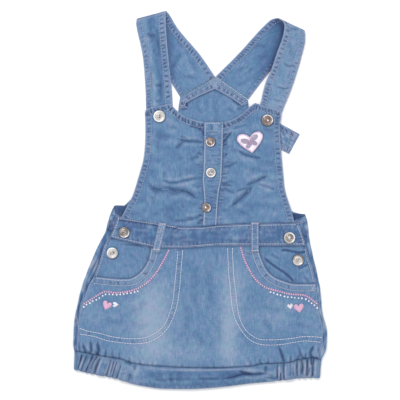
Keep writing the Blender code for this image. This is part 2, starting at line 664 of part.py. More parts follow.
cloth("skirt_front", pulled_in(skirt, SEAM, SEAM, SEAM, SEAM), CLOTH)

# Front of the gathered hem band.
hem_rows = []
for v in (0.0, 0.25, 0.7, 1.0):
    flat = hem_line * (1 - v) + seam_line * v
    row = raised(flat, front_height)
    row[:, 2] += 0.9 * math.sin(math.pi * min(v * 1.15, 1.0)) - (0.8 if v == 0 else 0)
    hem_rows.append(row)
hem_rows[-1][:, 2] = front_height(seam_line[:, 0], seam_line[:, 1])
cloth("hem_band_front", pulled_in(np.array(hem_rows), left=SEAM, right=SEAM, top=2 * SEAM), CLOTH, "denim_dark")

# Bib halves, which meet under the placket.
middle_bottom = float(column(WAIST_TOP, 0, 1, BIB_MIDDLE))
centre_line = line((BIB_MIDDLE, middle_bottom), (BIB_MIDDLE, 86.7))
bib_left = patch(
    through(BIB_LEFT_EDGE), centre_line,
    across_seam(WAIST_TOP, -88.4, BIB_MIDDLE),
    joined(through(BIB_LEFT_CORNER), through(BIB_LEFT_NECK)), even(10), even(14),
)
bib_right = patch(
    centre_line, through(BIB_RIGHT_EDGE),
    across_seam(WAIST_TOP, BIB_MIDDLE, 105.8),
    joined(through(BIB_RIGHT_CORNER), through(BIB_RIGHT_NECK))[::-1], even(10), even(14),
)
bib_left, bib_right = raised(bib_left, bib_height), raised(bib_right, bib_height)
cloth("bib_left", pulled_in(bib_left, right=SEAM, bottom=SEAM), CLOTH)
cloth("bib_right", pulled_in(bib_right, left=SEAM, bottom=SEAM), CLOTH)

# Placket over the two halves, from the neckline down to the waistband.
placket_up = np.linspace(0, 1, 13)
rows = []
for v in placket_up:
    y = -29.0 + (87.6 + 29.0) * v
    x1, x2 = float(column(PLACKET, 0, 1, y)), float(column(PLACKET, 0, 2, y))
    row = []
    for s in even(3):
        x = x1 + (x2 - x1) * s
        low = float(column(WAIST_TOP, 0, 1, x)) + 2 * SEAM
        row.append((x, low + (87.6 - low) * v))
    rows.append(row)
cloth("placket", raised(np.array(rows), bib_height, CLOTH + GAP), CLOTH)

# Belt loops over the waistband.
for name, x1, y1, x2, y2, width in BELT_LOOPS:
    way = np.array([x1 - x2, y1 - y2])
    way /= np.linalg.norm(way)
    side = np.array([way[1], -way[0]]) * width / 2
    rows = []
    for s in even(6):
        middle = np.array([x2, y2]) * (1 - s) + np.array([x1, y1]) * s
        rows.append([middle - side, middle, middle + side])
    cloth(name, raised(np.array(rows), front_height, DOUBLE + GAP), CLOTH)

# Heart patch on the bib.
half = spread(through(HEART_HALF), even(12))
spine = np.stack([np.zeros(13), np.interp(even(12), (0, 1), (HEART_HALF[0][1], HEART_HALF[-1][1]))], axis=1)
rows = []
cos, sin = math.cos(HEART_TILT), math.sin(HEART_TILT)
for (x, y), (sx, sy) in zip(half, spine):
    row = []
    for px, py in ((-x, y), ((sx - x) / 2, (y + sy) / 2), (sx, sy), ((sx + x) / 2, (y + sy) / 2), (x, y)):
        row.append((HEART_CENTRE[0] + px * cos - py * sin, HEART_CENTRE[1] + px * sin + py * cos))
    rows.append(row)
cloth("heart_patch", raised(np.array(rows), bib_height, CLOTH + GAP + 0.1), CLOTH, "satin")


# Buttons.
def top_of(piece, x, y, radius):
    """Height of the cloth's top under a button: the highest point in its circle."""
    turn = np.linspace(0, 2 * math.pi, 13)[:-1]
    px = np.concatenate([[x], x + radius * np.cos(turn), x + radius / 2 * np.cos(turn)])
    py = np.concatenate([[y], y + radius * np.sin(turn), y + radius / 2 * np.sin(turn)])
    if piece == "hip":
        return HIP_LEVEL + CLOTH
    if piece == "waistband":
        return float(front_height(px, py).max()) + DOUBLE
    if piece == "placket":
        return float(bib_height(px, py).max()) + 2 * CLOTH + GAP
    return float(bib_height(px, py).max()) + CLOTH


for name, x, y, diameter, piece in BUTTONS:
    radius = diameter / 2
    mesh = bpy.data.meshes.new(name)
    mesh.from_pydata([(r * radius * MM, 0, h * radius * MM) for r, h in BUTTON_PROFILE], [(i, i + 1) for i in range(len(BUTTON_PROFILE) - 1)], [])
    obj = bpy.data.objects.new(name, mesh)
    screw = obj.modifiers.new("Turned", "SCREW")
    screw.axis = "Z"
    screw.steps = screw.render_steps = BUTTON_SIDES
    screw.use_merge_vertices = True
    screw.merge_threshold = 0.00001
    screw.use_smooth_shade = True
    obj.location = Vector((x, y, top_of(piece, x, y, radius) + GAP)) * MM
    mesh.materials.append(finish(name, "metal"))
    garment.objects.link(obj)
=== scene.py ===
"""The looks of the denim pinafore dress: shells of cloth with their creases,
seams, stitches and embroidery, laid on the CAD solids' own forms.

Lengths are in millimetres here and become metres when a mesh is made. X runs to
the right, Y up towards the shoulders, Z up off the surface under the dress.
"""

import math

import bmesh
import bpy
import numpy as np
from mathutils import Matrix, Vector
from mathutils.bvhtree import BVHTree


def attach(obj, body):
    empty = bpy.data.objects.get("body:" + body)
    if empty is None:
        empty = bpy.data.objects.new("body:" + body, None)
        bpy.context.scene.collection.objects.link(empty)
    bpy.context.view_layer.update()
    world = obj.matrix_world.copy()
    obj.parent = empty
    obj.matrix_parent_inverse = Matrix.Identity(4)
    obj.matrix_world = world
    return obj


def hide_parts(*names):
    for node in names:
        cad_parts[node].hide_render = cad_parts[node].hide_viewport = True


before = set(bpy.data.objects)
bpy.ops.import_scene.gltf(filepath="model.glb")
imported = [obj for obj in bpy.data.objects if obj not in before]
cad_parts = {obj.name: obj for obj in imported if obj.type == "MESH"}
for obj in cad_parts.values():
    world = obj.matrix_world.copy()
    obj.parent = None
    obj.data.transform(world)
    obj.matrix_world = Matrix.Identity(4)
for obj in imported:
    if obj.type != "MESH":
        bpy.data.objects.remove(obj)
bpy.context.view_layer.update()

# ---------------------------------------------------------------- main sizes
MM = 0.001
CLOTH = 1.0          # a single layer of denim with its nap
DOUBLE = 1.2         # a folded layer: waistbands and straps
GAP = 0.3            # between two pieces that lie on each other
SEAM = 0.15          # each side of a seam line
LAP_LEVEL = 1.5      # underside of the back's laps where they turn to the front
HIP_LEVEL = 2.8      # underside of the hip pieces with their pocket bags
FRONT_LEVEL = 4.1    # underside of the skirt front and the front waistband
BIB_LEVEL = 1.6      # underside of the bib, which lies on the back panel
LAP = 17.0           # how far the laps run under the front's side edges
SKIRT_RISE = 0.8     # how far the skirt front domes in its middle
STRAP_RISE = 1.45    # the bib's corner over the folded strap end
BUTTON_SIDES = 20
BACK_COLUMNS = 16    # grid columns across the back's pieces

# ------------------------------------------------------------------- tables
# Outline of the tube at its side folds, from the back waistband's top corner
# down: (up, x).
FOLD_LEFT = (
    (-5.7, -96.5), (-11.8, -99.8), (-22.8, -103.3), (-34.0, -106.0),
    (-48.6, -113.3), (-77.6, -125.6), (-96.4, -132.5), (-111.8, -136.3),
    (-136.8, -141.3), (-161.7, -142.4), (-172.5, -141.2), (-188.9, -141.6),
)
FOLD_RIGHT = (
    (-15.7, 118.0), (-22.7, 120.2), (-40.5, 122.2), (-58.8, 125.6),
    (-79.3, 130.7), (-93.6, 133.6), (-111.8, 135.9), (-126.1, 137.6),
    (-149.9, 142.4), (-166.1, 141.6), (-180.3, 135.9), (-198.2, 134.5),
)
# The front's side edge: the button placket, then the side seam: (up, x).
EDGE_LEFT = (
    (-19.5, -92.5), (-37.1, -98.8), (-50.7, -107.3), (-66.2, -111.9),
    (-85.5, -119.2), (-95.9, -125.0), (-108.4, -129.0), (-130.4, -135.6),
    (-156.6, -137.6), (-168.9, -138.0), (-190.0, -138.0),
)
EDGE_RIGHT = (
    (-25.6, 109.6), (-41.0, 115.4), (-50.7, 118.2), (-65.1, 121.6),
    (-79.3, 126.2), (-93.6, 129.0), (-107.3, 131.0), (-124.7, 133.0),
    (-146.0, 137.4), (-160.0, 137.4), (-178.3, 132.3), (-200.0, 131.0),
)
# Seams that run across, left to right: (x, up).
BACK_TOP = ((-96.5, -5.7), (118.0, -15.7))
BACK_WAIST = ((-105.4, -34.0), (122.2, -40.5))
WAIST_TOP = (
    (-92.5, -19.5), (-45.0, -26.5), (-17.0, -30.2), (3.0, -29.6),
    (18.9, -27.8), (59.0, -26.4), (109.6, -25.5),
)
WAIST_BOTTOM = (
    (-102.0, -41.6), (-71.0, -48.6), (-45.0, -53.3), (-17.0, -53.3),
    (23.0, -50.8), (59.0, -50.9), (118.2, -50.7),
)
HEM_SEAM = (
    (-142.4, -168.1), (-113.5, -173.9), (-87.0, -178.2), (-74.1, -182.6),
    (-45.0, -185.7), (0.9, -187.6), (55.8, -185.8), (69.2, -183.2),
    (97.7, -181.9), (107.3, -179.3), (125.6, -176.7), (136.0, -178.9),
)
HEM_EDGE = (
    (-142.0, -189.5), (-128.5, -193.4), (-107.1, -197.5), (-85.6, -202.5),
    (-74.9, -206.1), (-60.6, -208.9), (-41.9, -211.2), (-13.3, -211.6),
    (15.2, -210.1), (55.8, -205.5), (88.4, -202.5), (109.9, -200.0),
    (135.0, -199.1),
)
# Pocket openings, from the side to the waist: (x, up).
POCKET_LEFT = (
    (-119.3, -85.7), (-102.1, -87.5), (-87.7, -88.5), (-76.9, -87.5),
    (-67.8, -81.8), (-61.3, -73.8), (-57.0, -64.6), (-54.9, -52.3),
)
POCKET_RIGHT = (
    (129.4, -94.0), (103.9, -93.6), (92.2, -90.3), (81.4, -85.3),
    (74.3, -78.2), (69.3, -68.1), (65.7, -57.5), (65.0, -50.9),
)
# Pocket bags, from the side along the bottom, then up to the waist.
BAG_LEFT_LOW = ((-135.0, -149.0), (-105.6, -156.8), (-71.3, -160.7), (-36.3, -143.1))
BAG_LEFT_SIDE = ((-36.3, -143.1), (-25.5, -116.0), (-21.3, -76.7), (-19.5, -50.6))
BAG_RIGHT_LOW = ((135.4, -158.0), (106.3, -158.9), (67.0, -161.7), (47.8, -148.2))
BAG_RIGHT_SIDE = ((47.8, -148.2), (36.4, -123.2), (31.8, -80.3), (30.7, -48.6))
# The bib: side edges going up, top corners and neckline going inwards.
BIB_LEFT_EDGE = (
    (-88.4, -19.9), (-82.7, -8.5), (-75.5, 5.8), (-68.4, 28.6),
    (-63.8, 45.0), (-62.0, 60.7), (-61.4, 83.6), (-62.0, 98.8),
)
BIB_LEFT_CORNER = ((-62.0, 98.8), (-60.0, 102.4), (-46.3, 105.5), (-33.2, 108.4))
BIB_LEFT_NECK = ((-33.2, 108.4), (-25.8, 100.1), (-16.0, 93.3), (-1.7, 88.7), (11.5, 86.7))
BIB_RIGHT_EDGE = (
    (105.8, -25.5), (102.3, -12.1), (95.2, 10.8), (93.0, 30.7),
    (91.0, 50.0), (89.3, 84.3), (90.5, 92.1), (91.2, 99.8),
)
BIB_RIGHT_CORNER = ((91.2, 99.8), (80.0, 103.4), (68.1, 106.8), (61.6, 108.9))
BIB_RIGHT_NECK = ((61.6, 108.9), (55.0, 104.3), (43.0, 94.2), (26.0, 87.0), (11.5, 86.7))
BIB_MIDDLE = 11.5
# The button placket down the bib's middle: (up, left, right).
PLACKET = (
    (87.6, 4.7, 26.0), (60.7, 4.3, 25.3), (32.7, 3.5, 24.3), (23.7, 2.6, 23.9),
    (11.4, 3.6, 21.6), (-0.9, 4.3, 20.1), (-29.0, 3.0, 18.4),
)
# The back's bodice: side edges going up to the yoke, and the peaked yoke.
BACK_LEFT = (
    (-85.2, -6.2), (-79.2, -0.5), (-71.5, 8.5), (-54.0, 28.0),
    (-33.8, 56.2), (-26.0, 84.2), (-24.1, 104.4), (-22.4, 115.6),
)
BACK_RIGHT = (
    (113.0, -15.5), (102.0, -12.0), (94.5, -3.5), (85.0, 10.0),
    (71.0, 28.0), (57.0, 60.0),
    (54.6, 89.8), (54.3, 104.7), (53.5, 112.4),
)
YOKE_PEAK = (17.0, 138.3)
# The turned band on the yoke: (outer x, outer up, inner x, inner up).
YOKE_BAND = (
    (-24.0, 105.2, -16.9, 104.6), (-22.3, 115.3, -15.9, 108.9),
    (-2.6, 126.6, -1.4, 116.7), (17.0, 137.9, 16.6, 124.6),
    (35.2, 125.0, 33.4, 115.4), (53.2, 112.2, 45.9, 106.8),
    (53.9, 108.2, 47.2, 105.8),
)
# Straps as pairs of edge points with the middle of the cloth's height:
# (left x, left up, left z, right x, right up, right z), from the yoke over the
# shoulder fold and down the front.
STRAP_LEFT = (
    (-22.7, 116.1, 0.6, 16.6, 138.7, 0.6),
    (-33.0, 133.2, 0.6, -1.0, 164.2, 0.6),
    (-51.7, 167.7, 0.6, -23.8, 190.9, 0.6),
    (-67.0, 196.0, 0.6, -33.9, 207.3, 0.6),
    (-70.6, 202.0, 0.7, -36.9, 210.9, 1.0),
    (-71.2, 203.1, 1.35, -38.3, 211.8, 2.0),
    (-71.0, 201.9, 2.05, -38.4, 210.8, 3.0),
    (-71.1, 194.2, 2.15, -38.8, 204.5, 3.3),
    (-64.1, 160.6, 2.15, -37.1, 174.3, 2.6),
    (-61.1, 124.5, 1.9, -33.0, 134.2, 2.15),
    (-60.6, 103.3, 0.65, -31.0, 109.0, 0.75),
    (-58.5, 80.9, 0.6, -29.9, 80.9, 0.6),
)
STRAP_RIGHT = (
    (17.4, 138.7, 0.6, 54.0, 112.9, 0.6),
    (43.0, 164.2, 0.6, 80.0, 147.2, 0.6),
    (62.9, 186.3, 0.7, 100.6, 172.0, 0.6),
    (76.9, 200.0, 1.9, 110.6, 184.6, 0.6),
    (84.0, 203.4, 4.2, 115.6, 189.2, 0.9),
    (90.0, 202.0, 6.6, 116.9, 190.0, 1.7),
    (93.6, 197.8, 8.5, 117.4, 186.6, 2.4),
    (94.1, 192.0, 9.2, 117.4, 182.3, 2.5),
    (91.6, 180.3, 8.6, 117.0, 175.4, 2.4),
    (85.5, 163.5, 6.4, 113.0, 159.8, 2.3),
    (80.3, 147.8, 4.4, 108.6, 144.2, 2.2),
    (73.2, 131.0, 2.9, 101.8, 124.0, 2.15),
    (67.9, 109.4, 2.15, 91.3, 98.2, 2.1),
)
# The right strap's end is folded under itself behind the bib, on a slanting
# line, and comes out beside the bib: (left x, left up, right x, right up).
TAB_FOLD = (65.4, 99.1, 79.3, 63.8)
TAB_END = (111.8, 74.1, 99.6, 51.7)
# Height of the bib's underside on its way up to the waistband: (up, height).
FRONT_LIFT = (
    (120.0, BIB_LEVEL), (24.0, BIB_LEVEL), (8.0, 2.1), (-7.0, 3.2),
    (-18.0, FRONT_LEVEL), (-220.0, FRONT_LEVEL),
)
# The laps along the skirt's side: (share of the way down, lap past the front's
# edge, share of the rise from the lap's level to the front's level).
LAPS = (
    (0.0, LAP, 0.0), (0.19, LAP, 0.0), (0.29, 8.0, 0.0), (0.35, 1.0, 0.0),
    (0.37, -GAP, 0.0), (0.385, -GAP, 0.0), (0.42, -GAP, 0.6),
    (0.45, -GAP, 1.0), (1.0, -GAP, 1.0),
)
SKIRT_ROWS = (
    0.0, 0.1, 0.19, 0.29, 0.35, 0.37, 0.385, 0.42, 0.45, 0.51, 0.58, 0.66, 0.75, 0.87, 1.0,
)
# Pleats that the elastic draws into the hem band, as troughs:
# (x at the seam, x at the hem, depth, how far it runs up the skirt).
PLEATS = (
    (-131.3, -136.0, 1.9, 12.0), (-126.0, -130.7, 2.3, 17.0),
    (-119.5, -124.9, 2.8, 21.0), (-113.3, -118.5, 3.3, 23.0),
    (-101.0, -106.1, 2.4, 11.0), (-95.4, -99.9, 2.1, 14.0),
    (-88.7, -93.2, 1.7, 10.0), (85.9, 85.9, 1.5, 14.0),
    (91.9, 91.9, 1.7, 20.0), (107.0, 107.0, 2.4, 12.0),
    (112.7, 112.7, 2.2, 11.0), (119.8, 119.8, 2.6, 15.0),
    (126.2, 125.8, 2.0, 18.0),
)
PLEAT_HALF_WIDTH = 1.7
PLEAT_SWELL = 1.7
# The bib's largest creases, as troughs: (x, up, x, up, depth, half width).
BIB_CREASES = (
    (-57.7, 17.1, -2.7, 4.0, 0.8, 3.4), (-32.0, -24.0, -2.0, -13.0, 0.9, 3.0),
    (-47.0, 23.0, -1.0, 24.5, 0.6, 3.0), (-25.1, 69.0, 2.0, 66.0, 0.6, 3.0),
    (31.0, -6.0, 73.7, 26.0, 0.8, 3.4), (24.0, 16.0, 39.0, 9.5, 0.5, 3.0),
    (26.0, 38.0, 40.0, 43.0, 0.5, 3.0),
)
# Metal shank buttons: (name, x, up, diameter, the piece they are sewn on).
BUTTONS = (
    ("button_bib_left", -45.8, 93.9, 13.4, "bib"),
    ("button_bib_right", 75.3, 89.5, 13.2, "bib"),
    ("button_placket_1", 11.5, 65.2, 11.0, "placket"),
    ("button_placket_2", 12.0, 30.8, 11.0, "placket"),
    ("button_placket_3", 6.9, -8.3, 10.2, "placket"),
    ("button_waist_left", -85.1, -36.1, 12.4, "waistband"),
    ("button_waist_right", 99.9, -42.1, 12.8, "waistband"),
    ("button_hip_left", -98.4, -59.2, 12.6, "hip"),
    ("button_hip_right", 109.6, -67.1, 12.6, "hip"),
)
# Half section of a button, for a diameter of 2: (radius, height), top down.
BUTTON_PROFILE = (
    (0.0, 0.24), (0.62, 0.24), (0.72, 0.36), (0.86, 0.42),
    (0.97, 0.33), (1.0, 0.2), (0.92, 0.06), (0.0, 0.0),
)
# Belt loops: (name, top x, top up, bottom x, bottom up, width).
BELT_LOOPS = (
    ("belt_loop_left", -42.0, -25.6, -49.1, -56.6, 8.6),
    ("belt_loop_right", 61.2, -24.8, 61.2, -57.9, 9.2),
)
# The sewn-on heart: half outline from the tip round to the notch, in its own
# axes: (across, up).
HEART_HALF = (
    (0.0, -10.6), (6.0, -5.4), (11.2, 0.2), (13.6, 5.6), (11.0, 9.8),
    (6.4, 10.2), (2.4, 8.2), (0.0, 5.6),
)
HEART_CENTRE = (56.6, 64.2)
HEART_TILT = math.radians(9.0)


# ---------------------------------------------------------- curves and tables
def column(table, key, values, at):
    """Reads one column of a table, smoothly between its rows and without overshoot."""
    rows = sorted(table, key=lambda row: row[key])
    x = np.array([row[key] for row in rows], float)
    y = np.array([row[values] for row in rows], float)
    at = np.clip(np.asarray(at, float), x[0], x[-1])
    if len(x) == 2:
        return np.interp(at, x, y)
    h = np.diff(x)
    slope = np.diff(y) / h
    tangent = np.zeros_like(y)
    same = slope[:-1] * slope[1:] > 0
    w1, w2 = 2 * h[1:] + h[:-1], h[1:] + 2 * h[:-1]
    with np.errstate(divide="ignore", invalid="ignore"):
        mean = (w1 + w2) / (w1 / slope[:-1] + w2 / slope[1:])
    tangent[1:-1] = np.where(same, mean, 0.0)
    tangent[0], tangent[-1] = slope[0], slope[-1]
    k = np.clip(np.searchsorted(x, at, side="right") - 1, 0, len(h) - 1)
    t = (at - x[k]) / h[k]
    return (
        (2 * t**3 - 3 * t**2 + 1) * y[k]
        + (t**3 - 2 * t**2 + t) * h[k] * tangent[k]
        + (3 * t**2 - 2 * t**3) * y[k + 1]
        + (t**3 - t**2) * h[k] * tangent[k + 1]
    )


def through(points, count=None):
    """Points along a smooth curve through the given ones, closely spaced."""
    p = np.array(points, float)
    if len(p) == 2:
        t = np.linspace(0, 1, count or 9)[:, None]
        return p[0] * (1 - t) + p[1] * t
    d = np.sqrt(np.linalg.norm(np.diff(p, axis=0), axis=1))
    knots = np.concatenate([[0], np.cumsum(d)])
    h = np.diff(knots)[:, None]
    slope = np.diff(p, axis=0) / h
    tangent = np.empty_like(p)
    tangent[1:-1] = (slope[:-1] * h[1:] + slope[1:] * h[:-1]) / (h[:-1] + h[1:])
    tangent[0], tangent[-1] = slope[0], slope[-1]
    at = np.linspace(0, knots[-1], count or 16 * (len(p) - 1) + 1)
    k = np.clip(np.searchsorted(knots, at, side="right") - 1, 0, len(h) - 1)
    t = ((at - knots[k]) / h[k, 0])[:, None]
    hk = h[k]
    return (
        (2 * t**3 - 3 * t**2 + 1) * p[k]
        + (t**3 - 2 * t**2 + t) * hk * tangent[k]
        + (3 * t**2 - 2 * t**3) * p[k + 1]
        + (t**3 - t**2) * hk * tangent[k + 1]
    )


def joined(*parts):
    """Smooth curves end to end, keeping the corners between them."""
    return np.concatenate([part if i == 0 else part[1:] for i, part in enumerate(parts)])


def spread(points, shares):
    """The points at these shares of a curve's length."""
    d = np.linalg.norm(np.diff(points, axis=0), axis=1)
    length = np.concatenate([[0], np.cumsum(d)]) / d.sum()
    return np.stack([np.interp(shares, length, points[:, i]) for i in range(points.shape[1])], axis=1)


def patch(left, right, bottom, top, across, up):
    """A grid of points between four edges, rows going up and columns going right."""
    u, v = np.asarray(across)[None, :, None], np.asarray(up)[:, None, None]
    lo, hi = spread(bottom, across)[None], spread(top, across)[None]
    lf, rt = spread(left, up)[:, None], spread(right, up)[:, None]
    corners = (
        (1 - u) * (1 - v) * bottom[0] + u * (1 - v) * bottom[-1]
        + (1 - u) * v * top[0] + u * v * top[-1]
    )
    return (1 - v) * lo + v * hi + (1 - u) * lf + u * rt - corners


def line(start, end):
    return np.array([start, end], float)


def across_seam(table, start, end):
    """The stretch of a seam between two values of x, as a curve."""
    x = np.linspace(start, end, 61)
    return np.stack([x, column(table, 0, 1, x)], axis=1)


def along_edge(table, start, end):
    """The stretch of a side edge between two heights, as a curve."""
    up = np.linspace(start, end, 61)
    return np.stack([column(table, 0, 1, up), up], axis=1)


def step(value, low, high):
    t = np.clip((value - low) / (high - low), 0, 1)
    return t * t * (3 - 2 * t)


# -------------------------------------------------------------- the front's form
def trough(x, y, x1, y1, x2, y2, depth, half):
    """A soft crease from one point to another, fading at both ends."""
    dx, dy = x2 - x1, y2 - y1
    length = math.hypot(dx, dy)
    along = ((x - x1) * dx + (y - y1) * dy) / length
    off = ((x - x1) * dy - (y - y1) * dx) / length
    fade = step(along, -half, 0.35 * length) * (1 - step(along, 0.65 * length, length + half))
    return -depth * np.exp(-((off / half) ** 2)) * fade


def pleat_height(x, y):
    """The elastic's pleats, on the hem band and fading up the skirt."""
    seam, hem = column(HEM_SEAM, 0, 1, x), column(HEM_EDGE, 0, 1, x)
    down = np.clip((seam - y) / (seam - hem), 0, 1)
    above = np.maximum(y - seam, 0)
    height = np.zeros_like(x)
    for at_seam, at_hem, depth, run in PLEATS:
        at = at_seam + (at_hem - at_seam) * down
        fade = 1 - step(above, 0, run)
        height = height - depth * fade * np.exp(-(((x - at) / PLEAT_HALF_WIDTH) ** 2))
    zone = (1 - step(x, -88, -72)) + step(x, 74, 90)
    return height + PLEAT_SWELL * zone * (1 - step(above, 0, 22))


def front_height(x, y):
    """Height of the underside of bib, front waistband, skirt front and hem band."""
    x, y = np.broadcast_arrays(np.asarray(x, float), np.asarray(y, float))
    height = column(FRONT_LIFT, 0, 1, y)
    height = height + STRAP_RISE * step(x, 40, 58) * step(y, 28, 48)
    dome = np.cos(np.clip(x / 142.0, -1, 1) * math.pi / 2) ** 2
    height = height + SKIRT_RISE * dome * step(-y, 45, 80)
    over_band = np.exp(-(((y - column(HEM_SEAM, 0, 1, x) - 9) / 7) ** 2))
    height = height + 0.7 * over_band * step(x, -95, -60) * (1 - step(x, 70, 100))
    return height + pleat_height(x, y)


def bib_height(x, y):
    """The bib's underside: the front's form with the bib's creases."""
    height = front_height(x, y)
    for row in BIB_CREASES:
        height = height + trough(x, y, *row)
    return height


def raised(points, height_of, lift=0.0):
    """Puts a flat grid of points at its height."""
    z = height_of(points[..., 0], points[..., 1]) + lift
    return np.concatenate([points, z[..., None]], axis=-1)


def pulled_in(grid, left=0.0, right=0.0, bottom=0.0, top=0.0):
    """Moves a grid's edges inwards, for the gaps at seams."""
    def toward(edge, inner, amount):
        way = inner - edge
        return edge + way * (amount / np.maximum(np.linalg.norm(way, axis=-1), 1e-9))[..., None]

    out = grid.copy()
    if left:
        out[:, 0] = toward(out[:, 0], out[:, 1], left)
    if right:
        out[:, -1] = toward(out[:, -1], out[:, -2], right)
    if bottom:
        out[0] = toward(out[0], out[1], bottom)
    if top:
        out[-1] = toward(out[-1], out[-2], top)
    return out


# ------------------------------------------------------- measuring and relief
SQUARE = 1.12  # side of the measuring grid's squares, counted from its top left


def run(*numbers, close=2.4):
    """A smooth curve through points of the measuring grid: column, row, column, row."""
    points = np.reshape(np.array(numbers, float), (-1, 2))
    points = np.stack([(points[:, 0] - 200.2) * SQUARE, (200.2 - points[:, 1]) * SQUARE], axis=1)
    curve = through(points)
    length = np.linalg.norm(np.diff(curve, axis=0), axis=1).sum()
    return spread(curve, np.linspace(0, 1, max(3, int(length / close) + 1)))


def closer(curve, spacing=2.4):
    length = np.linalg.norm(np.diff(curve, axis=0), axis=1).sum()
    return spread(curve, np.linspace(0, 1, max(3, int(length / spacing) + 1)))


def offset_curve(curve, away):
    """The curve moved sideways: to the left of its way where away is positive."""
    way = np.gradient(curve, axis=0)
    way /= np.maximum(np.linalg.norm(way, axis=1, keepdims=True), 1e-9)
    return curve + away * np.stack([-way[:, 1], way[:, 0]], axis=1)


def hashed(i, j, seed):
    v = np.sin(i * 127.1 + j * 311.7 + seed * 74.7) * 43758.5453
    return v - np.floor(v)


def noise(x, y=0.0, seed=0):
    """Smooth, unhurried variation from -1 to 1, the same in every run."""
    x, y = np.broadcast_arrays(np.asarray(x, float), np.asarray(y, float))
    i, j = np.floor(x), np.floor(y)
    fx, fy = x - i, y - j
    fx, fy = fx * fx * (3 - 2 * fx), fy * fy * (3 - 2 * fy)
    low = hashed(i, j, seed) * (1 - fx) + hashed(i + 1, j, seed) * fx
    high = hashed(i, j + 1, seed) * (1 - fx) + hashed(i + 1, j + 1, seed) * fx
    return 2 * (low * (1 - fy) + high * fy) - 1


def near(curve, x, y, reach):
    """Distance from a curve, length along it and side of it (1 is left of its way)."""
    d, s, side = np.full(x.shape, 1e3), np.zeros(x.shape), np.ones(x.shape)
    start = 0.0
    for (ax, ay), (bx, by) in zip(curve, curve[1:]):
        length = math.hypot(bx - ax, by - ay)
        if length < 1e-9:
            continue
        ux, uy = (bx - ax) / length, (by - ay) / length
        here = np.flatnonzero(
            (x > min(ax, bx) - reach) & (x < max(ax, bx) + reach)
            & (y > min(ay, by) - reach) & (y < max(ay, by) + reach)
        )
        if len(here):
            rx, ry = x.flat[here] - ax, y.flat[here] - ay
            t = np.clip(rx * ux + ry * uy, 0, length)
            distance = np.hypot(rx - t * ux, ry - t * uy)
            better = distance < d.flat[here]
            here = here[better]
            d.flat[here] = distance[better]
            s.flat[here] = start + t[better]
            side.flat[here] = np.where((ux * ry - uy * rx)[better] >= 0, 1.0, -1.0)
        start += length
    return d, s, side, start


def dense(length, spacing, both=True):
    """Shares along a length at this spacing, closer at the ends for rounded edges."""
    ends = np.array([0.0, 0.3, 0.75]) / length
    count = max(3, int((length - 3.0) / spacing))
    middle = np.linspace(1.4 / length, 1 - 1.4 / length, count)
    return np.concatenate([ends, middle, 1 - ends[::-1]])


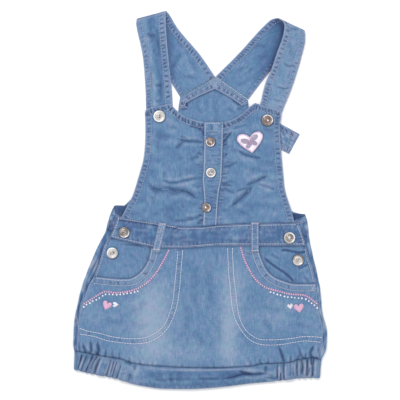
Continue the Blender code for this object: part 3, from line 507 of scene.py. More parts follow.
class Sheet:
    """A piece of cloth as a grid of points, with its relief, its pale marks (rubbed
    abrasion and painted highlight), its dark marks (indigo kept in the folds and painted
    shade) and its fading, to which painted light and shade of folds is added."""

    def __init__(self, name, grid, spine=False, seed=1):
        self.name, self.grid, self.spine, self.seed = name, np.array(grid, float), spine, seed
        self.p, self.q = self.grid[..., 0].copy(), self.grid[..., 1].copy()
        self.rise = np.zeros(self.p.shape)
        self.wear, self.dye, self.fade = (np.zeros(self.p.shape) for _ in range(3))
        self.grain = np.stack([self.p, self.q, np.zeros(self.p.shape)], axis=-1)

    def swell(self, height=0.12, size=9.0):
        """The soft unevenness of washed cloth."""
        self.rise += height * noise(self.p / size, self.q / size, self.seed)
        self.rise += 0.4 * height * noise(self.p / size * 2.7, self.q / size * 2.7, self.seed + 1)

    def crease(self, curve, depth=0.8, half=1.6, ridge=0.45, darkening=0.6, pale=0.3, blunt=0.0):
        self.seed += 1
        d, s, side, total = near(curve, self.p, self.q, 4.5 * half)
        tail = max(0.12, 0.35 - blunt)
        ends = step(s, -0.01, tail * total) * (1 - step(s, (1 - tail) * total, total + 0.01))
        if blunt:
            ends = np.maximum(ends, blunt * (s <= tail * total) * step(s, -0.01, 1.5))
        vary = 0.8 + 0.3 * noise(s / 5.5, 0, self.seed)
        core = np.exp(-((d / half) ** 2)) * ends * vary
        bank = np.exp(-(((d - 2.0 * half) / (0.95 * half)) ** 2)) * ends
        self.rise += -depth * core + ridge * depth * bank
        # Painted shade in the trough, partly indigo kept there; painted highlight on the banks, brighter left of the
        # crease's way.
        self.dye += darkening * np.exp(-((d / (0.72 * half)) ** 2)) * ends * vary
        self.wear += pale * bank * np.where(side > 0, 1.0, 0.55) * vary

    def ridge(self, curve, height=0.6, half=1.4, pale=0.4):
        self.seed += 1
        d, s, _, total = near(curve, self.p, self.q, 3.5 * half)
        ends = step(s, -0.01, 0.3 * total) * (1 - step(s, 0.7 * total, total + 0.01))
        core = np.exp(-((d / half) ** 2)) * ends * (0.85 + 0.3 * noise(s / 5, 0, self.seed))
        self.rise += height * core
        # Painted highlight along the ridge, partly rubbed abrasion.
        self.wear += pale * core

    def pucker(self, curve, width, way=0, period=4.2, amp=0.32, lean=0.3, darkening=0.75, shine=0.4, start=0.0, even_force=0.5, sharp=2.6):
        """Short slanting ripples along a seam, uneven in length, depth and spacing, with
        painted shade in their troughs and painted highlight on their crests, partly
        indigo kept and rubbed abrasion.
        """
        self.seed += 3
        d, s, side, total = near(curve, self.p, self.q, width + 1)
        u = (d - start) / (width - start)
        inside = (u > 0) & (u < 1) & ((way == 0) | (side * way > 0))
        band = np.where(inside, np.sin(math.pi * np.clip(u, 0, 1)) ** 0.6, 0.0)
        slant = 0.55 * noise(s / (1.4 * period), 0, self.seed) + 0.2 * noise(s / (0.5 * period), d / 2, self.seed + 1)
        wave = 0.5 + 0.5 * np.cos(2 * math.pi * ((s + lean * d) / period + slant))
        force = even_force + (1 - even_force) * (0.5 + 0.7 * noise(s / (1.9 * period), 0, self.seed + 2))
        force = np.clip(force, 0, 1.2) * step(s, -0.01, 3) * (1 - step(s, total - 3, total + 0.01))
        self.rise += amp * band * force * (2 * wave - 1)
        self.dye += darkening * band * force * (1 - wave) ** sharp
        self.wear += shine * band * force * wave**2.6

    def ladder(self, curve, way, centre=3.9, half=1.8, period=4.4, amp=0.34, darkening=1.0, shine=0.5, lean=0.0, steady=0.5, skip=0.05):
        """The rungs that stitching draws into a hem: short dips, darkened with painted
        shade (partly indigo kept there), uneven in length, depth and spacing, with cloth
        between them pale from rubbing and painted highlight."""
        self.seed += 3
        d, s, side, total = near(curve, self.p, self.q, centre + 2.2 * half)
        count = int(total / period) + 2
        numbers = np.arange(count)
        at = np.cumsum(period * (0.68 + 0.64 * hashed(numbers, 1, self.seed))) - 0.5 * period
        numbers, at = numbers[at < total - 1.0], at[at < total - 1.0]
        if not len(at):
            return
        force = (steady + (1 - steady) * hashed(numbers, 2, self.seed)) * (hashed(numbers, 3, self.seed) > skip)
        wide = 0.85 + 0.5 * hashed(numbers, 4, self.seed)
        reach = half * (0.7 + 0.55 * hashed(numbers, 5, self.seed))
        tilt = lean + 0.4 * (2 * hashed(numbers, 6, self.seed) - 1)
        k = np.clip(np.searchsorted((at[1:] + at[:-1]) / 2, s), 0, len(at) - 1)
        off = s - at[k] + tilt[k] * (d - centre)
        across = np.exp(-(((d - centre) / reach[k]) ** 4)) * ((side * way > 0) | (way == 0))
        rung = np.exp(-((off / wide[k]) ** 2)) * across * force[k]
        between = np.exp(-(((np.abs(off) - 0.5 * period) / (0.3 * period)) ** 2)) * across
        self.rise += amp * (0.5 * between - 1.1 * rung)
        self.dye += darkening * rung
        self.wear += shine * between * (0.5 + 0.5 * force[k])

    def fold(self, curve, depth=0.8, half=1.4, darkening=0.6, soft=0.35, light=0.25, way=0, ends=(0.22, 0.22)):
        """A crease from lying flat: a sharp trough that thins to its ends, in a wider
        soft dip, both darkened with painted shade (partly indigo kept there), with the
        cloth beside it standing up to the light and lightened as painted light."""
        self.seed += 1
        d, s, side, total = near(curve, self.p, self.q, 6.0 * half)
        taper = step(s, -0.01, ends[0] * total) * (1 - step(s, (1 - ends[1]) * total, total + 0.01))
        vary = 0.86 + 0.26 * noise(s / 6.0, 0, self.seed)
        here = half * (0.45 + 0.55 * taper)
        core = np.exp(-((d / (0.62 * here)) ** 2)) * np.sqrt(taper) * vary
        dip = np.exp(-((d / (1.9 * here)) ** 2)) * taper
        toward = 1.0 if way == 0 else np.where(side * way > 0, 1.0, 0.25)
        bank = np.exp(-(((d - 2.8 * here) / (1.4 * here)) ** 2)) * taper * toward
        self.rise += depth * (-0.5 * core - 0.5 * dip + 0.42 * bank)
        self.dye += darkening * (core + soft * dip)
        self.fade += 0.6 * light * bank * vary - 0.5 * darkening * soft * dip

    def turned(self, curve, pale=0.55, drop=0.42, reach=1.15):
        """A turned edge: rounded and rubbed pale."""
        self.seed += 1
        d, s, _, _ = near(curve, self.p, self.q, 2.5)
        self.rise -= drop * (1 - step(d, 0, 0.95))
        self.wear += pale * (1 - step(d, 0.3, reach)) * (0.8 + 0.35 * noise(s / 2.6, 0, self.seed))

    def hem(self, curve, width, way, height=0.3):
        """A doubled hem: higher as far as its stitches."""
        d, _, side, _ = near(curve, self.p, self.q, width + 2)
        inside = (side * way > 0) | (d < 0.5)
        self.rise += height * inside * (1 - step(d, width - 0.4, width + 0.7))

    def groove(self, curve, depth=0.16, half=0.6, darkening=0.16):
        d, _, _, _ = near(curve, self.p, self.q, 3)
        self.rise -= depth * np.exp(-((d / half) ** 2))
        # A dark line of painted shade in the stitch groove.
        self.dye += darkening * np.exp(-((d / 0.95) ** 2))

    def shade(self, curve, width, way=0, darkening=0.5, drop=0.0):
        """A dark line of painted shade, as along a seam or under an edge."""
        d, s, side, _ = near(curve, self.p, self.q, width * 2.5)
        inside = (way == 0) | (side * way > 0)
        core = np.exp(-((d / width) ** 2)) * inside * (0.85 + 0.2 * noise(s / 4, 0, self.seed))
        self.dye += darkening * core
        self.rise -= drop * core

    def soft_patches(self, patches):
        """Soft patches on the measuring grid: column, row, half width, half height, amount."""
        x, y = self.grid[..., 0], self.grid[..., 1]
        for column_no, row_no, half_w, half_h, amount in patches:
            dx = (x - (column_no - 200.2) * SQUARE) / (half_w * SQUARE)
            dy = (y - (200.2 - row_no) * SQUARE) / (half_h * SQUARE)
            self.fade += amount * np.exp(-(dx**2) - dy**2)

    def normals(self):
        a = np.gradient(self.grid, axis=1)
        b = np.gradient(self.grid, axis=0)
        n = np.cross(a, b)
        return n / np.maximum(np.linalg.norm(n, axis=-1, keepdims=True), 1e-9)

    def points(self):
        if not self.spine:
            out = self.grid.copy()
            out[..., 2] += self.rise
            return out
        n = self.normals()
        if self.spine == "strap":
            n = n * np.clip(3 * n[..., 2:], -1, 1)
        return self.grid + n * self.rise[..., None]


def quads(rows, columns):
    first = (np.arange(rows - 1)[:, None] * columns + np.arange(columns - 1)[None]).reshape(-1)
    return np.stack([first, first + 1, first + columns + 1, first + columns], axis=1)


# --------------------------------------------------------- the pieces' grids
FINE = 1.0


def lengths(curve):
    return float(np.linalg.norm(np.diff(curve, axis=0), axis=1).sum())


def smooth_rows(table, per_row):
    """The table's rows with smooth ones between them."""
    rows = np.array(table, float)
    n = len(rows)
    at = np.linspace(0, n - 1, per_row * (n - 1) + 1)
    k = np.clip(at.astype(int), 0, n - 2)
    t = (at - k)[:, None]
    before, after = rows[np.maximum(k - 1, 0)], rows[np.minimum(k + 2, n - 1)]
    a, b = rows[k], rows[k + 1]
    ta, tb = (b - before) / 2, (after - a) / 2
    out = (
        (2 * t**3 - 3 * t**2 + 1) * a + (t**3 - 2 * t**2 + t) * ta
        + (3 * t**2 - 2 * t**3) * b + (t**3 - t**2) * tb
    )
    out[:, [2, 5]] = np.maximum(out[:, [2, 5]], DOUBLE / 2)
    return out


def even_rows(rows, spacing):
    """Rows of two edges, spaced evenly along their middle."""
    middle = (rows[:, :3] + rows[:, 3:]) / 2
    return spread(np.concatenate([middle, rows], axis=1), dense(lengths(middle), spacing))[:, 3:]


def strap_sheet(name, rows, spacing, seed):
    """A strap between two edges, with its own plane: across from 0, and along."""
    rows = even_rows(rows, spacing)
    a, b = rows[:, None, :3], rows[:, None, 3:]
    width = float(np.median(np.linalg.norm(rows[:, :3] - rows[:, 3:], axis=1)))
    u = dense(width, spacing)[None, :, None]
    sheet = Sheet(name, a * (1 - u) + b * u, spine="strap", seed=seed)
    across = np.linalg.norm(rows[:, :3] - rows[:, 3:], axis=1)
    middle = (rows[:, :3] + rows[:, 3:]) / 2
    along = np.concatenate([[0], np.cumsum(np.linalg.norm(np.diff(middle, axis=0), axis=1))])
    sheet.p = across[:, None] * u[..., 0]
    sheet.q = np.broadcast_to(along[:, None], sheet.p.shape).copy()
    sheet.grain = np.stack([sheet.p, sheet.q, np.zeros(sheet.p.shape)], axis=-1)
    sheet.left_edge = np.stack([np.zeros(len(along)), along], axis=1)
    sheet.right_edge = np.stack([across, along], axis=1)
    sheet.rows, sheet.across, sheet.along = rows, across, along
    return sheet


def wrapped(share_down, top_of, bottom_of, lap_top, lap_of, level_of, thickness, low_x):
    """A back piece, flat below and turned round the side folds to the front."""
    rows = []
    for v in share_down:
        level = level_of(v)
        radius = level / 2
        half = thickness / 2
        sides = []
        for fold_table, edge_table, way in ((FOLD_LEFT, EDGE_LEFT, 1), (FOLD_RIGHT, EDGE_RIGHT, -1)):
            x = float(column(fold_table, 0, 1, -60))
            for _ in range(5):
                y = float((1 - v) * top_of(x) + v * bottom_of(x))
                x = float(column(fold_table, 0, 1, y))
            edge = float(column(edge_table, 0, 1, y)) + way * lap_of(v)
            centre = x + way * (radius + half)
            flat = np.linspace(0, 1, 26)
            side = [(s * centre + (1 - s) * edge, level + half) for s in flat]
            side += [
                (centre - way * radius * math.sin(a), half + radius + radius * math.cos(a))
                for a in np.linspace(0, math.pi, 8)[1:-1]
            ]
            px, pz = np.array(side).T
            back_y = (1 - v) * top_of(px) + v * bottom_of(px)
            front_y = (1 - v) * lap_top(px, way) + v * bottom_of(px)
            turned = step(pz, half, level + half)
            sides.append(np.stack([px, (1 - turned) * back_y + turned * front_y, pz], axis=1))
        left, right = sides[0][-1, 0] + half, sides[1][-1, 0] - half
        x = left + (right - left) * np.asarray(low_x)
        low = np.stack([x, (1 - v) * top_of(x) + v * bottom_of(x), np.full(len(x), half)], axis=1)
        rows.append(np.concatenate([sides[0], low, sides[1][::-1]]))
    return np.array(rows[::-1])[:, ::-1]


def straight(table):
    return lambda x: column(table, 0, 1, x)


def lap_edge(x, way):
    """Top edge of the waistband's laps, which slants down towards the front."""
    if way > 0:
        return np.interp(x, (-99.5, -89.0, -70.0), (-11.8, -18.6, -22.0))
    return np.interp(x, (96.0, 106.6, 120.0), (-25.0, -22.2, -17.2))


def sized(left, right, bottom, top, spacing, low_part=None):
    """A grid between four edges with cells of about this size."""
    across = dense(max(lengths(bottom), lengths(top)), spacing * FINE)
    up = dense(max(lengths(left), lengths(right)), spacing * FINE)
    return patch(left, right, bottom, top, across, up)


# Back bodice: fine where it shows above the bib, coarse behind it.
yoke_top = joined(line(BACK_LEFT[-1], YOKE_PEAK), line(YOKE_PEAK, BACK_RIGHT[-1]))
back = patch(
    through(BACK_LEFT), through(BACK_RIGHT), across_seam(BACK_TOP, BACK_LEFT[0][0], BACK_RIGHT[0][0]), yoke_top,
    dense(130, 1.1 * FINE), np.concatenate([np.linspace(0, 0.62, 34)[:-1], np.linspace(0.62, 1, int(74 / FINE))]),
)
back_panel = Sheet("back_panel", raised(back, lambda x, y: np.full_like(x, CLOTH)), seed=11)

band = np.array(YOKE_BAND)
t = np.linspace(0, len(band) - 1, int(132 / FINE))
band = np.stack([np.interp(t, range(len(band)), band[:, k]) for k in range(4)], axis=1)
u = dense(9.0, 0.7)[:, None, None]
yoke_grid = band[None, :, 2:] * (1 - u) + band[None, :, :2] * u
yoke_grid = np.concatenate([yoke_grid, np.full((*yoke_grid.shape[:2], 1), 2 * CLOTH + GAP)], axis=-1)
yoke_band = Sheet("yoke_band", yoke_grid, seed=21)

strap_left = strap_sheet("strap_left", smooth_rows(STRAP_LEFT, 24), 0.85 * FINE, 31)

ax, ay, bx, by = TAB_FOLD
fold = np.array([bx - ax, by - ay])
fold /= np.linalg.norm(fold)
outward = np.array([fold[1], -fold[0]])
if outward[0] > 0:
    outward = -outward
high, low = STRAP_RIGHT[-1][2], DOUBLE / 2
centre, radius = (high + low) / 2, (high - low) / 2
turn = []
for angle in np.linspace(math.pi / 2, -math.pi / 2, 9):
    shift = outward * radius * math.cos(angle)
    z = centre + radius * math.sin(angle)
    turn.append((ax + shift[0], ay + shift[1], z, bx + shift[0], by + shift[1], z))
ex, ey, fx, fy = TAB_END
tab = [
    tuple((1 - s) * np.array(turn[-1]) + s * np.array((ex, ey, low, fx, fy, low)))
    for s in np.linspace(0.1, 1.0, 10)
]
strap_right = strap_sheet(
    "strap_right", np.array([*smooth_rows(STRAP_RIGHT, 24), *turn, *tab]), 0.85 * FINE, 41
)

back_waistband = Sheet("back_waistband", wrapped(
    dense(30, 1.3 * FINE), straight(BACK_TOP), straight(BACK_WAIST), lap_edge,
    lambda v: LAP, lambda v: LAP_LEVEL, DOUBLE, np.linspace(0, 1, 90),
), spine="wrap", seed=51)
skirt_down = np.unique(np.concatenate([dense(150, 2.2 * FINE), [r[0] for r in LAPS]]))
skirt_back = Sheet("skirt_back", wrapped(
    skirt_down, straight(BACK_WAIST), straight(HEM_SEAM), lambda x, way: column(BACK_WAIST, 0, 1, x),
    lambda v: float(np.interp(v, [r[0] for r in LAPS], [r[1] for r in LAPS])),
    lambda v: LAP_LEVEL + (FRONT_LEVEL - LAP_LEVEL) * float(np.interp(v, [r[0] for r in LAPS], [r[2] for r in LAPS])),
    CLOTH, np.linspace(0, 1, 110),
), spine="wrap", seed=61)
hem_band_back = Sheet("hem_band_back", wrapped(
    dense(24, 1.2 * FINE), straight(HEM_SEAM), straight(HEM_EDGE), lambda x, way: column(HEM_SEAM, 0, 1, x),
    lambda v: -SEAM, lambda v: FRONT_LEVEL, CLOTH, np.linspace(0, 1, 200),
), spine="wrap", seed=71)

hips = []
for name, edge_table, way, low_edge, inner_edge in (
    ("hip_pocket_left", EDGE_LEFT, 1, BAG_LEFT_LOW, BAG_LEFT_SIDE),
    ("hip_pocket_right", EDGE_RIGHT, -1, BAG_RIGHT_LOW, BAG_RIGHT_SIDE),
):
    top_y = float(column(WAIST_BOTTOM, 0, 1, -102.0 if way > 0 else 118.0)) + 2.6
    end_x, end_y = low_edge[0]
    upper = along_edge(edge_table, end_y, top_y)
    inside = 1.2 * (1 - step(upper[:, 1], -92 if way > 0 else -98, -86 if way > 0 else -92))
    upper[:, 0] += way * inside
    low_curve = through((tuple(upper[0]), *low_edge[1:]))
    inner = through(inner_edge)
    across = np.linspace(upper[-1, 0], inner[-1, 0], 41)
    top = np.stack([across, column(WAIST_BOTTOM, 0, 1, across) + 2.6], axis=1)
    top[-1], top[0] = inner[-1], upper[-1]
    edges = (upper, inner, low_curve, top) if way > 0 else (inner, upper, low_curve[::-1], top[::-1])
    up = np.concatenate([np.linspace(0, 0.5, 28)[:-1], np.linspace(0.5, 1, int(60 / FINE))])
    grid = patch(*edges, dense(100, 1.05 * FINE), up)
    hips.append(Sheet(name, raised(grid, lambda x, y: np.full_like(x, HIP_LEVEL + CLOTH)), seed=81 + way))
hip_left, hip_right = hips

waist = sized(
    along_edge(EDGE_LEFT, -41.6, -19.5), along_edge(EDGE_RIGHT, -50.7, -25.5),
    across_seam(WAIST_BOTTOM, -102.0, 118.2), across_seam(WAIST_TOP, -92.5, 109.6), 0.8,
)
front_waistband = Sheet("front_waistband", raised(waist, front_height, DOUBLE), seed=91)

top_curve = joined(
    through(POCKET_LEFT), across_seam(WAIST_BOTTOM, POCKET_LEFT[-1][0], POCKET_RIGHT[-1][0]),
    through(POCKET_RIGHT)[::-1],
)
left_seam = along_edge(EDGE_LEFT, -168.9, -85.7)
right_seam = along_edge(EDGE_RIGHT, -178.3, -94.0)
left_seam[-1], right_seam[-1] = top_curve[0], top_curve[-1]
seam_x0, seam_x1 = float(column(EDGE_LEFT, 0, 1, -168.9)), float(column(EDGE_RIGHT, 0, 1, -178.3))
seam_curve = across_seam(HEM_SEAM, seam_x0, seam_x1)
seam_curve[0], seam_curve[-1] = left_seam[0], right_seam[0]
skirt = patch(
    left_seam, right_seam, seam_curve, top_curve,
    dense(300, 1.0 * FINE), dense(112, 0.95 * FINE),
)
skirt_front = Sheet("skirt_front", raised(skirt, front_height, CLOTH), seed=101)

marks = np.array([(-138.0, -138.0), *[(a, b) for a, b, _, _ in PLEATS], (seam_x1, 131.0)])
marks = marks[np.argsort(marks[:, 0])]
at_seam = np.interp(dense(270, 0.72 * FINE), np.linspace(0, 1, 2), (seam_x0, seam_x1))
at_hem = np.interp(at_seam, marks[:, 0], marks[:, 1])
hem_v = dense(23, 0.75 * FINE)[:, None]
top_line = np.stack([at_seam, column(HEM_SEAM, 0, 1, at_seam)], axis=1)
end_line = np.stack([at_hem, column(HEM_EDGE, 0, 1, at_hem)], axis=1)
flat = end_line[None] * (1 - hem_v[..., None]) + top_line[None] * hem_v[..., None]
hem_grid = raised(flat, front_height, CLOTH)
bulge = 0.9 * np.sin(math.pi * np.minimum(hem_v * 1.15, 1.0)) - 0.8 * (1 - step(hem_v, 0.0, 0.2))
hem_grid[..., 2] += bulge
hem_band_front = Sheet("hem_band_front", hem_grid, seed=111)

middle_bottom = float(column(WAIST_TOP, 0, 1, BIB_MIDDLE))
centre_line = line((BIB_MIDDLE, middle_bottom), (BIB_MIDDLE, 86.7))
bib_left = sized(
    through(BIB_LEFT_EDGE), centre_line, across_seam(WAIST_TOP, -88.4, BIB_MIDDLE),
    joined(through(BIB_LEFT_CORNER), through(BIB_LEFT_NECK)), 0.85,
)
bib_right = sized(
    centre_line, through(BIB_RIGHT_EDGE), across_seam(WAIST_TOP, BIB_MIDDLE, 105.8),
    joined(through(BIB_RIGHT_CORNER), through(BIB_RIGHT_NECK))[::-1], 0.85,
)
bib_left = Sheet("bib_left", raised(bib_left, bib_height, CLOTH), seed=121)
bib_right = Sheet("bib_right", raised(bib_right, bib_height, CLOTH), seed=131)

rows = []
for v in dense(116, 0.62 * FINE):
    y = -29.0 + (87.6 + 29.0) * v
    x = np.linspace(float(column(PLACKET, 0, 1, y)), float(column(PLACKET, 0, 2, y)), 2)
    x = x[0] + (x[1] - x[0]) * dense(21, 0.62)
    low_y = column(WAIST_TOP, 0, 1, x) + 2 * SEAM
    rows.append(np.stack([x, low_y + (87.6 - low_y) * v], axis=1))
placket = Sheet("placket", raised(np.array(rows), bib_height, 2 * CLOTH + GAP), seed=141)

loops = []
for name, x1, y1, x2, y2, width in BELT_LOOPS:
    way = np.array([x1 - x2, y1 - y2])
    span = float(np.linalg.norm(way))
    way /= span
    side = np.array([way[1], -way[0]]) * width / 2
    v, u = dense(span, 0.7)[:, None, None], dense(width, 0.7)[None, :, None]
    middle = np.array([x2, y2]) * (1 - v) + np.array([x1, y1]) * v
    loops.append(Sheet(name, raised(middle + side * (2 * u - 1), front_height, DOUBLE + GAP + CLOTH), seed=int(151 + x1)))
loop_left, loop_right = loops


# ------------------------------------------- seams, hems, creases, fading, and painted light and shade
def on_strap(sheet, front, *numbers):
    """A curve of the measuring grid in a strap's own plane."""
    curve = run(*numbers)
    ridge_q = sheet.along[int(np.argmax(((sheet.rows[:, :3] + sheet.rows[:, 3:]) / 2)[:, 1]))]
    pick = (sheet.q > ridge_q) == front
    x, y = sheet.grid[..., 0][pick], sheet.grid[..., 1][pick]
    p, q = sheet.p[pick], sheet.q[pick]
    best = [int(np.argmin((x - cx) ** 2 + (y - cy) ** 2)) for cx, cy in curve]
    return np.stack([p[best], q[best]], axis=1)


HEM = 6.6

for sheet in (back_panel, strap_left, strap_right, front_waistband, bib_left, bib_right, hip_left, hip_right):
    sheet.swell(0.14, 8.0)
for sheet in (yoke_band, placket, loop_left, loop_right):
    sheet.swell(0.07, 5.0)
skirt_front.swell(0.22, 13.0)
hem_band_front.swell(0.2, 9.0)
for sheet in (skirt_back, hem_band_back, back_waistband):
    sheet.swell(0.2, 12.0)

# Straps.
for sheet, edge, way, centre, half, pale, steady, darkening in (
    (strap_left, strap_left.left_edge, -1, 3.2, 1.6, 0.6, 0.35, 0.85), (strap_left, strap_left.right_edge, 1, 4.6, 2.0, 0.95, 0.65, 1.1),
    (strap_right, strap_right.left_edge, -1, 3.9, 2.0, 0.8, 0.55, 1.05), (strap_right, strap_right.right_edge, 1, 3.4, 1.6, 0.85, 0.3, 0.7),
):
    edge = closer(edge)
    sheet.hem(edge, centre + 2.6, way, 0.22)
    sheet.ladder(edge, way, centre, half, period=4.5, darkening=darkening, steady=steady)
    sheet.turned(edge, pale=pale, reach=2.0)
    sheet.groove(offset_curve(edge, way * (centre + 2.9)), depth=0.2, darkening=0.15)


def strap_parts(sheet):
    """Which of a strap's points are on its front run, and how far along it turns over."""
    turn_q = sheet.along[int(np.argmax(((sheet.rows[:, :3] + sheet.rows[:, 3:]) / 2)[:, 1]))]
    return sheet.q > turn_q, turn_q


# Painted light and shade of the straps: at the shoulder fold, painted shade in the turn and a painted highlight just
# past it; on the back run, painted shade where it lies under the front run's raised edge; on the left strap's front
# run, a lighter stripe and a darker band, the painted light and shade of a soft fold along it.
for sheet, way in ((strap_left, -1), (strap_right, 1)):
    on_front, turn_q = strap_parts(sheet)
    sheet.dye += 0.45 * np.exp(-(((sheet.q - turn_q) / 1.1) ** 2))
    sheet.wear += 0.35 * np.exp(-(((sheet.q - turn_q - 2.4) / 1.4) ** 2))
    if sheet is strap_left:
        d = near(closer(sheet.left_edge), sheet.p, sheet.q, 40)[0]
        far = np.clip((sheet.q - turn_q) / 60, 0, 1)
        sheet.fade += 0.26 * np.exp(-(((d - 9.0) / 2.8) ** 2)) * on_front * (0.35 + 0.65 * far)
        sheet.fade -= 0.24 * np.exp(-(((d - 17.0) / 5.0) ** 2)) * on_front
        inner_side = run(167, 20, 170, 48, 172.5, 78)
        d = near(inner_side, sheet.grid[..., 0], sheet.grid[..., 1], 30)[0]
        sheet.fade -= 0.22 * np.exp(-((d / 7) ** 2)) * ~on_front
        sheet.dye += 0.35 * np.exp(-((d / 2.0) ** 2)) * ~on_front
    else:
        sheet.fade += np.where(on_front, 0.12, -0.03)
        inner_side = run(278, 21.5, 283.2, 27, 283.4, 36, 280.2, 48, 275.4, 60, 270.6, 71)
        d = near(inner_side, sheet.grid[..., 0], sheet.grid[..., 1], 60)[0]
        sheet.fade -= 0.32 * np.exp(-((d / 17) ** 2)) * ~on_front
        sheet.dye += 0.8 * np.exp(-((d / 4.2) ** 2)) * ~on_front
for numbers, depth, half, darkening in (
    ((147, 31.5, 149.5, 35, 152, 39.5, 152.6, 43), 0.7, 2.2, 0.42), ((150, 34.6, 153, 35.5, 156, 34.2), 0.4, 1.4, 0.4),
    ((154, 86, 158, 85.4, 161.6, 86), 0.5, 1.1, 0.5), ((152.6, 49, 154, 51, 153.6, 54), 0.3, 1.2, 0.35),
    ((156, 26, 157.6, 36, 158.6, 47, 160, 60), 0.4, 1.9, 0.3), ((160.6, 76, 160.8, 88, 162, 102), 0.4, 1.7, 0.3),
    ((152, 62, 151.4, 74, 152.6, 92), 0.35, 1.7, 0.25), ((155, 100, 159, 101, 162, 100), 0.3, 1.3, 0.25),
):
    strap_left.fold(on_strap(strap_left, True, *numbers), depth, half, darkening=darkening, light=0.2)
for numbers, depth, half, darkening in (
    ((172, 69, 175, 63, 179, 57, 181.6, 52), 0.5, 1.9, 0.32), ((182, 74, 188, 77, 196, 77), 0.35, 1.9, 0.22),
    ((176, 36, 180, 42, 182, 50), 0.35, 1.8, 0.2), ((188, 60, 193, 64, 199, 72), 0.35, 1.9, 0.22),
):
    strap_left.fold(on_strap(strap_left, False, *numbers), depth, half, darkening=darkening, light=0.15)
for numbers, depth, half, darkening in (
    ((287, 31, 292, 29.6, 298.6, 29), 0.4, 1.0, 0.35), ((283.6, 62.6, 287.6, 65.4, 292.4, 66.2, 297, 65.4), 0.5, 1.0, 0.5),
    ((277, 86, 283, 88.2, 289.4, 88.2), 0.45, 1.0, 0.42), ((289.6, 40, 290.4, 48, 288.8, 56), 0.3, 1.8, 0.15),
    ((272.6, 99, 277, 100.8, 282, 100.4), 0.35, 1.1, 0.3), ((292, 46, 293.4, 54, 291.2, 62), 0.3, 1.7, 0.12),
):
    strap_right.fold(on_strap(strap_right, True, *numbers), depth, half, darkening=darkening, light=0.12)
for numbers, depth, half, darkening in (
    ((252, 51, 256, 46, 261, 45, 266, 49), 0.45, 2.0, 0.28), ((256, 55, 261, 57, 267, 55), 0.35, 1.9, 0.28),
    ((238, 72, 243, 68, 250, 66), 0.35, 1.7, 0.22), ((248, 74, 250, 70, 254, 67), 0.3, 1.5, 0.25),
    ((236, 84, 243, 83, 249, 78), 0.3, 1.8, 0.15),
):
    strap_right.fold(on_strap(strap_right, False, *numbers), depth, half, darkening=darkening, light=0.12)

# The folded end of the right strap, across its hemmed end.
end_q = strap_right.along[-1]
end_line_r = np.array([(0.0, end_q), (float(strap_right.across[-1]), end_q)])
strap_right.turned(closer(end_line_r), pale=0.7)
strap_right.ladder(closer(end_line_r), -1, 3.6, 1.6, period=4.6, darkening=0.6, steady=0.3)
strap_right.groove(closer(end_line_r - [0, 6.0]), depth=0.2, darkening=0.25)

on_tab = (strap_right.grid[..., 0] > 88.0) * (np.abs(strap_right.grid[..., 1] - 68.0) < 18.0)
strap_right.fade += on_tab * (0.4 * noise(strap_right.p / 1.7, strap_right.q / 2.0, 41) - 0.06)
strap_right.wear += on_tab * 0.4 * np.clip(noise(strap_right.p / 1.3, strap_right.q / 2.4, 42), 0, 1)

# Back bodice and its peaked band.
outer = closer(band[:, :2], 2.4)
inner = closer(band[:, 2:], 2.4)
yoke_band.ladder(inner, 1, 4.2, 1.9, period=5.6, amp=0.42, darkening=1.0, lean=0.25, steady=0.45)
yoke_band.ladder(inner, 1, 3.0, 1.2, period=7.4, amp=0.25, darkening=0.6, lean=-0.3, steady=0.3)
yoke_band.turned(inner, pale=0.75)
yoke_band.groove(offset_curve(outer, -1.6), 0.2, darkening=0.2)
yoke_band.groove(offset_curve(outer, -4.4), 0.16, darkening=0.15)
back_panel.shade(inner, 1.6, darkening=0.75)
peak = np.exp(-(((yoke_band.p - 15.5) / 7.0) ** 4) - (((yoke_band.q - 132.0) / 6.0) ** 4))
yoke_band.fade += 0.30 * peak
for numbers, depth, half, darkening in (
    ((187, 101, 186.4, 105, 184.6, 109), 0.5, 1.4, 0.5), ((181.6, 103.6, 185, 105, 189, 105.4), 0.45, 1.2, 0.5),
    ((180.6, 108.4, 184, 109, 188, 108.8), 0.45, 1.2, 0.5), ((231, 99, 236, 102.6, 240.4, 106.6), 0.4, 1.2, 0.35),
    ((236, 108, 240, 109, 244, 108.6), 0.35, 1.2, 0.35), ((226, 108, 231, 109.4, 236, 113.6), 0.3, 1.5, 0.25),
    ((205, 98, 207, 104, 206, 112), 0.25, 1.9, 0.12), ((217, 97, 215.4, 106, 217, 116), 0.25, 1.9, 0.12),
    ((196, 104, 199, 110, 204, 114), 0.3, 1.8, 0.15),
):
    back_panel.fold(run(*numbers), depth, half, darkening=darkening, light=0.1)

# Bib: hems, then the creases that lying flat gives it.
edge_bl = closer(through(BIB_LEFT_EDGE))
neck_bl = closer(joined(through(BIB_LEFT_CORNER), through(BIB_LEFT_NECK)))
edge_br = closer(through(BIB_RIGHT_EDGE))
neck_br = closer(joined(through(BIB_RIGHT_CORNER), through(BIB_RIGHT_NECK)))
for sheet, edge, neck, way in ((bib_left, edge_bl, neck_bl, -1), (bib_right, edge_br, neck_br, 1)):
    for curve, centre, half, period, lean, steady, darkening in ((edge, 3.7, 1.9, 4.7, 0.0, 0.5, 0.95), (neck, 3.9, 2.2, 3.6, 0.4 * way, 0.75, 1.15)):
        sheet.hem(curve, HEM, way, 0.28)
        sheet.ladder(curve, way, centre, half, period=period, amp=0.4, darkening=darkening, lean=lean, steady=steady, shine=0.4)
        sheet.turned(curve, pale=0.85, reach=1.7)
        sheet.groove(offset_curve(curve, way * HEM), 0.22, darkening=0.2)
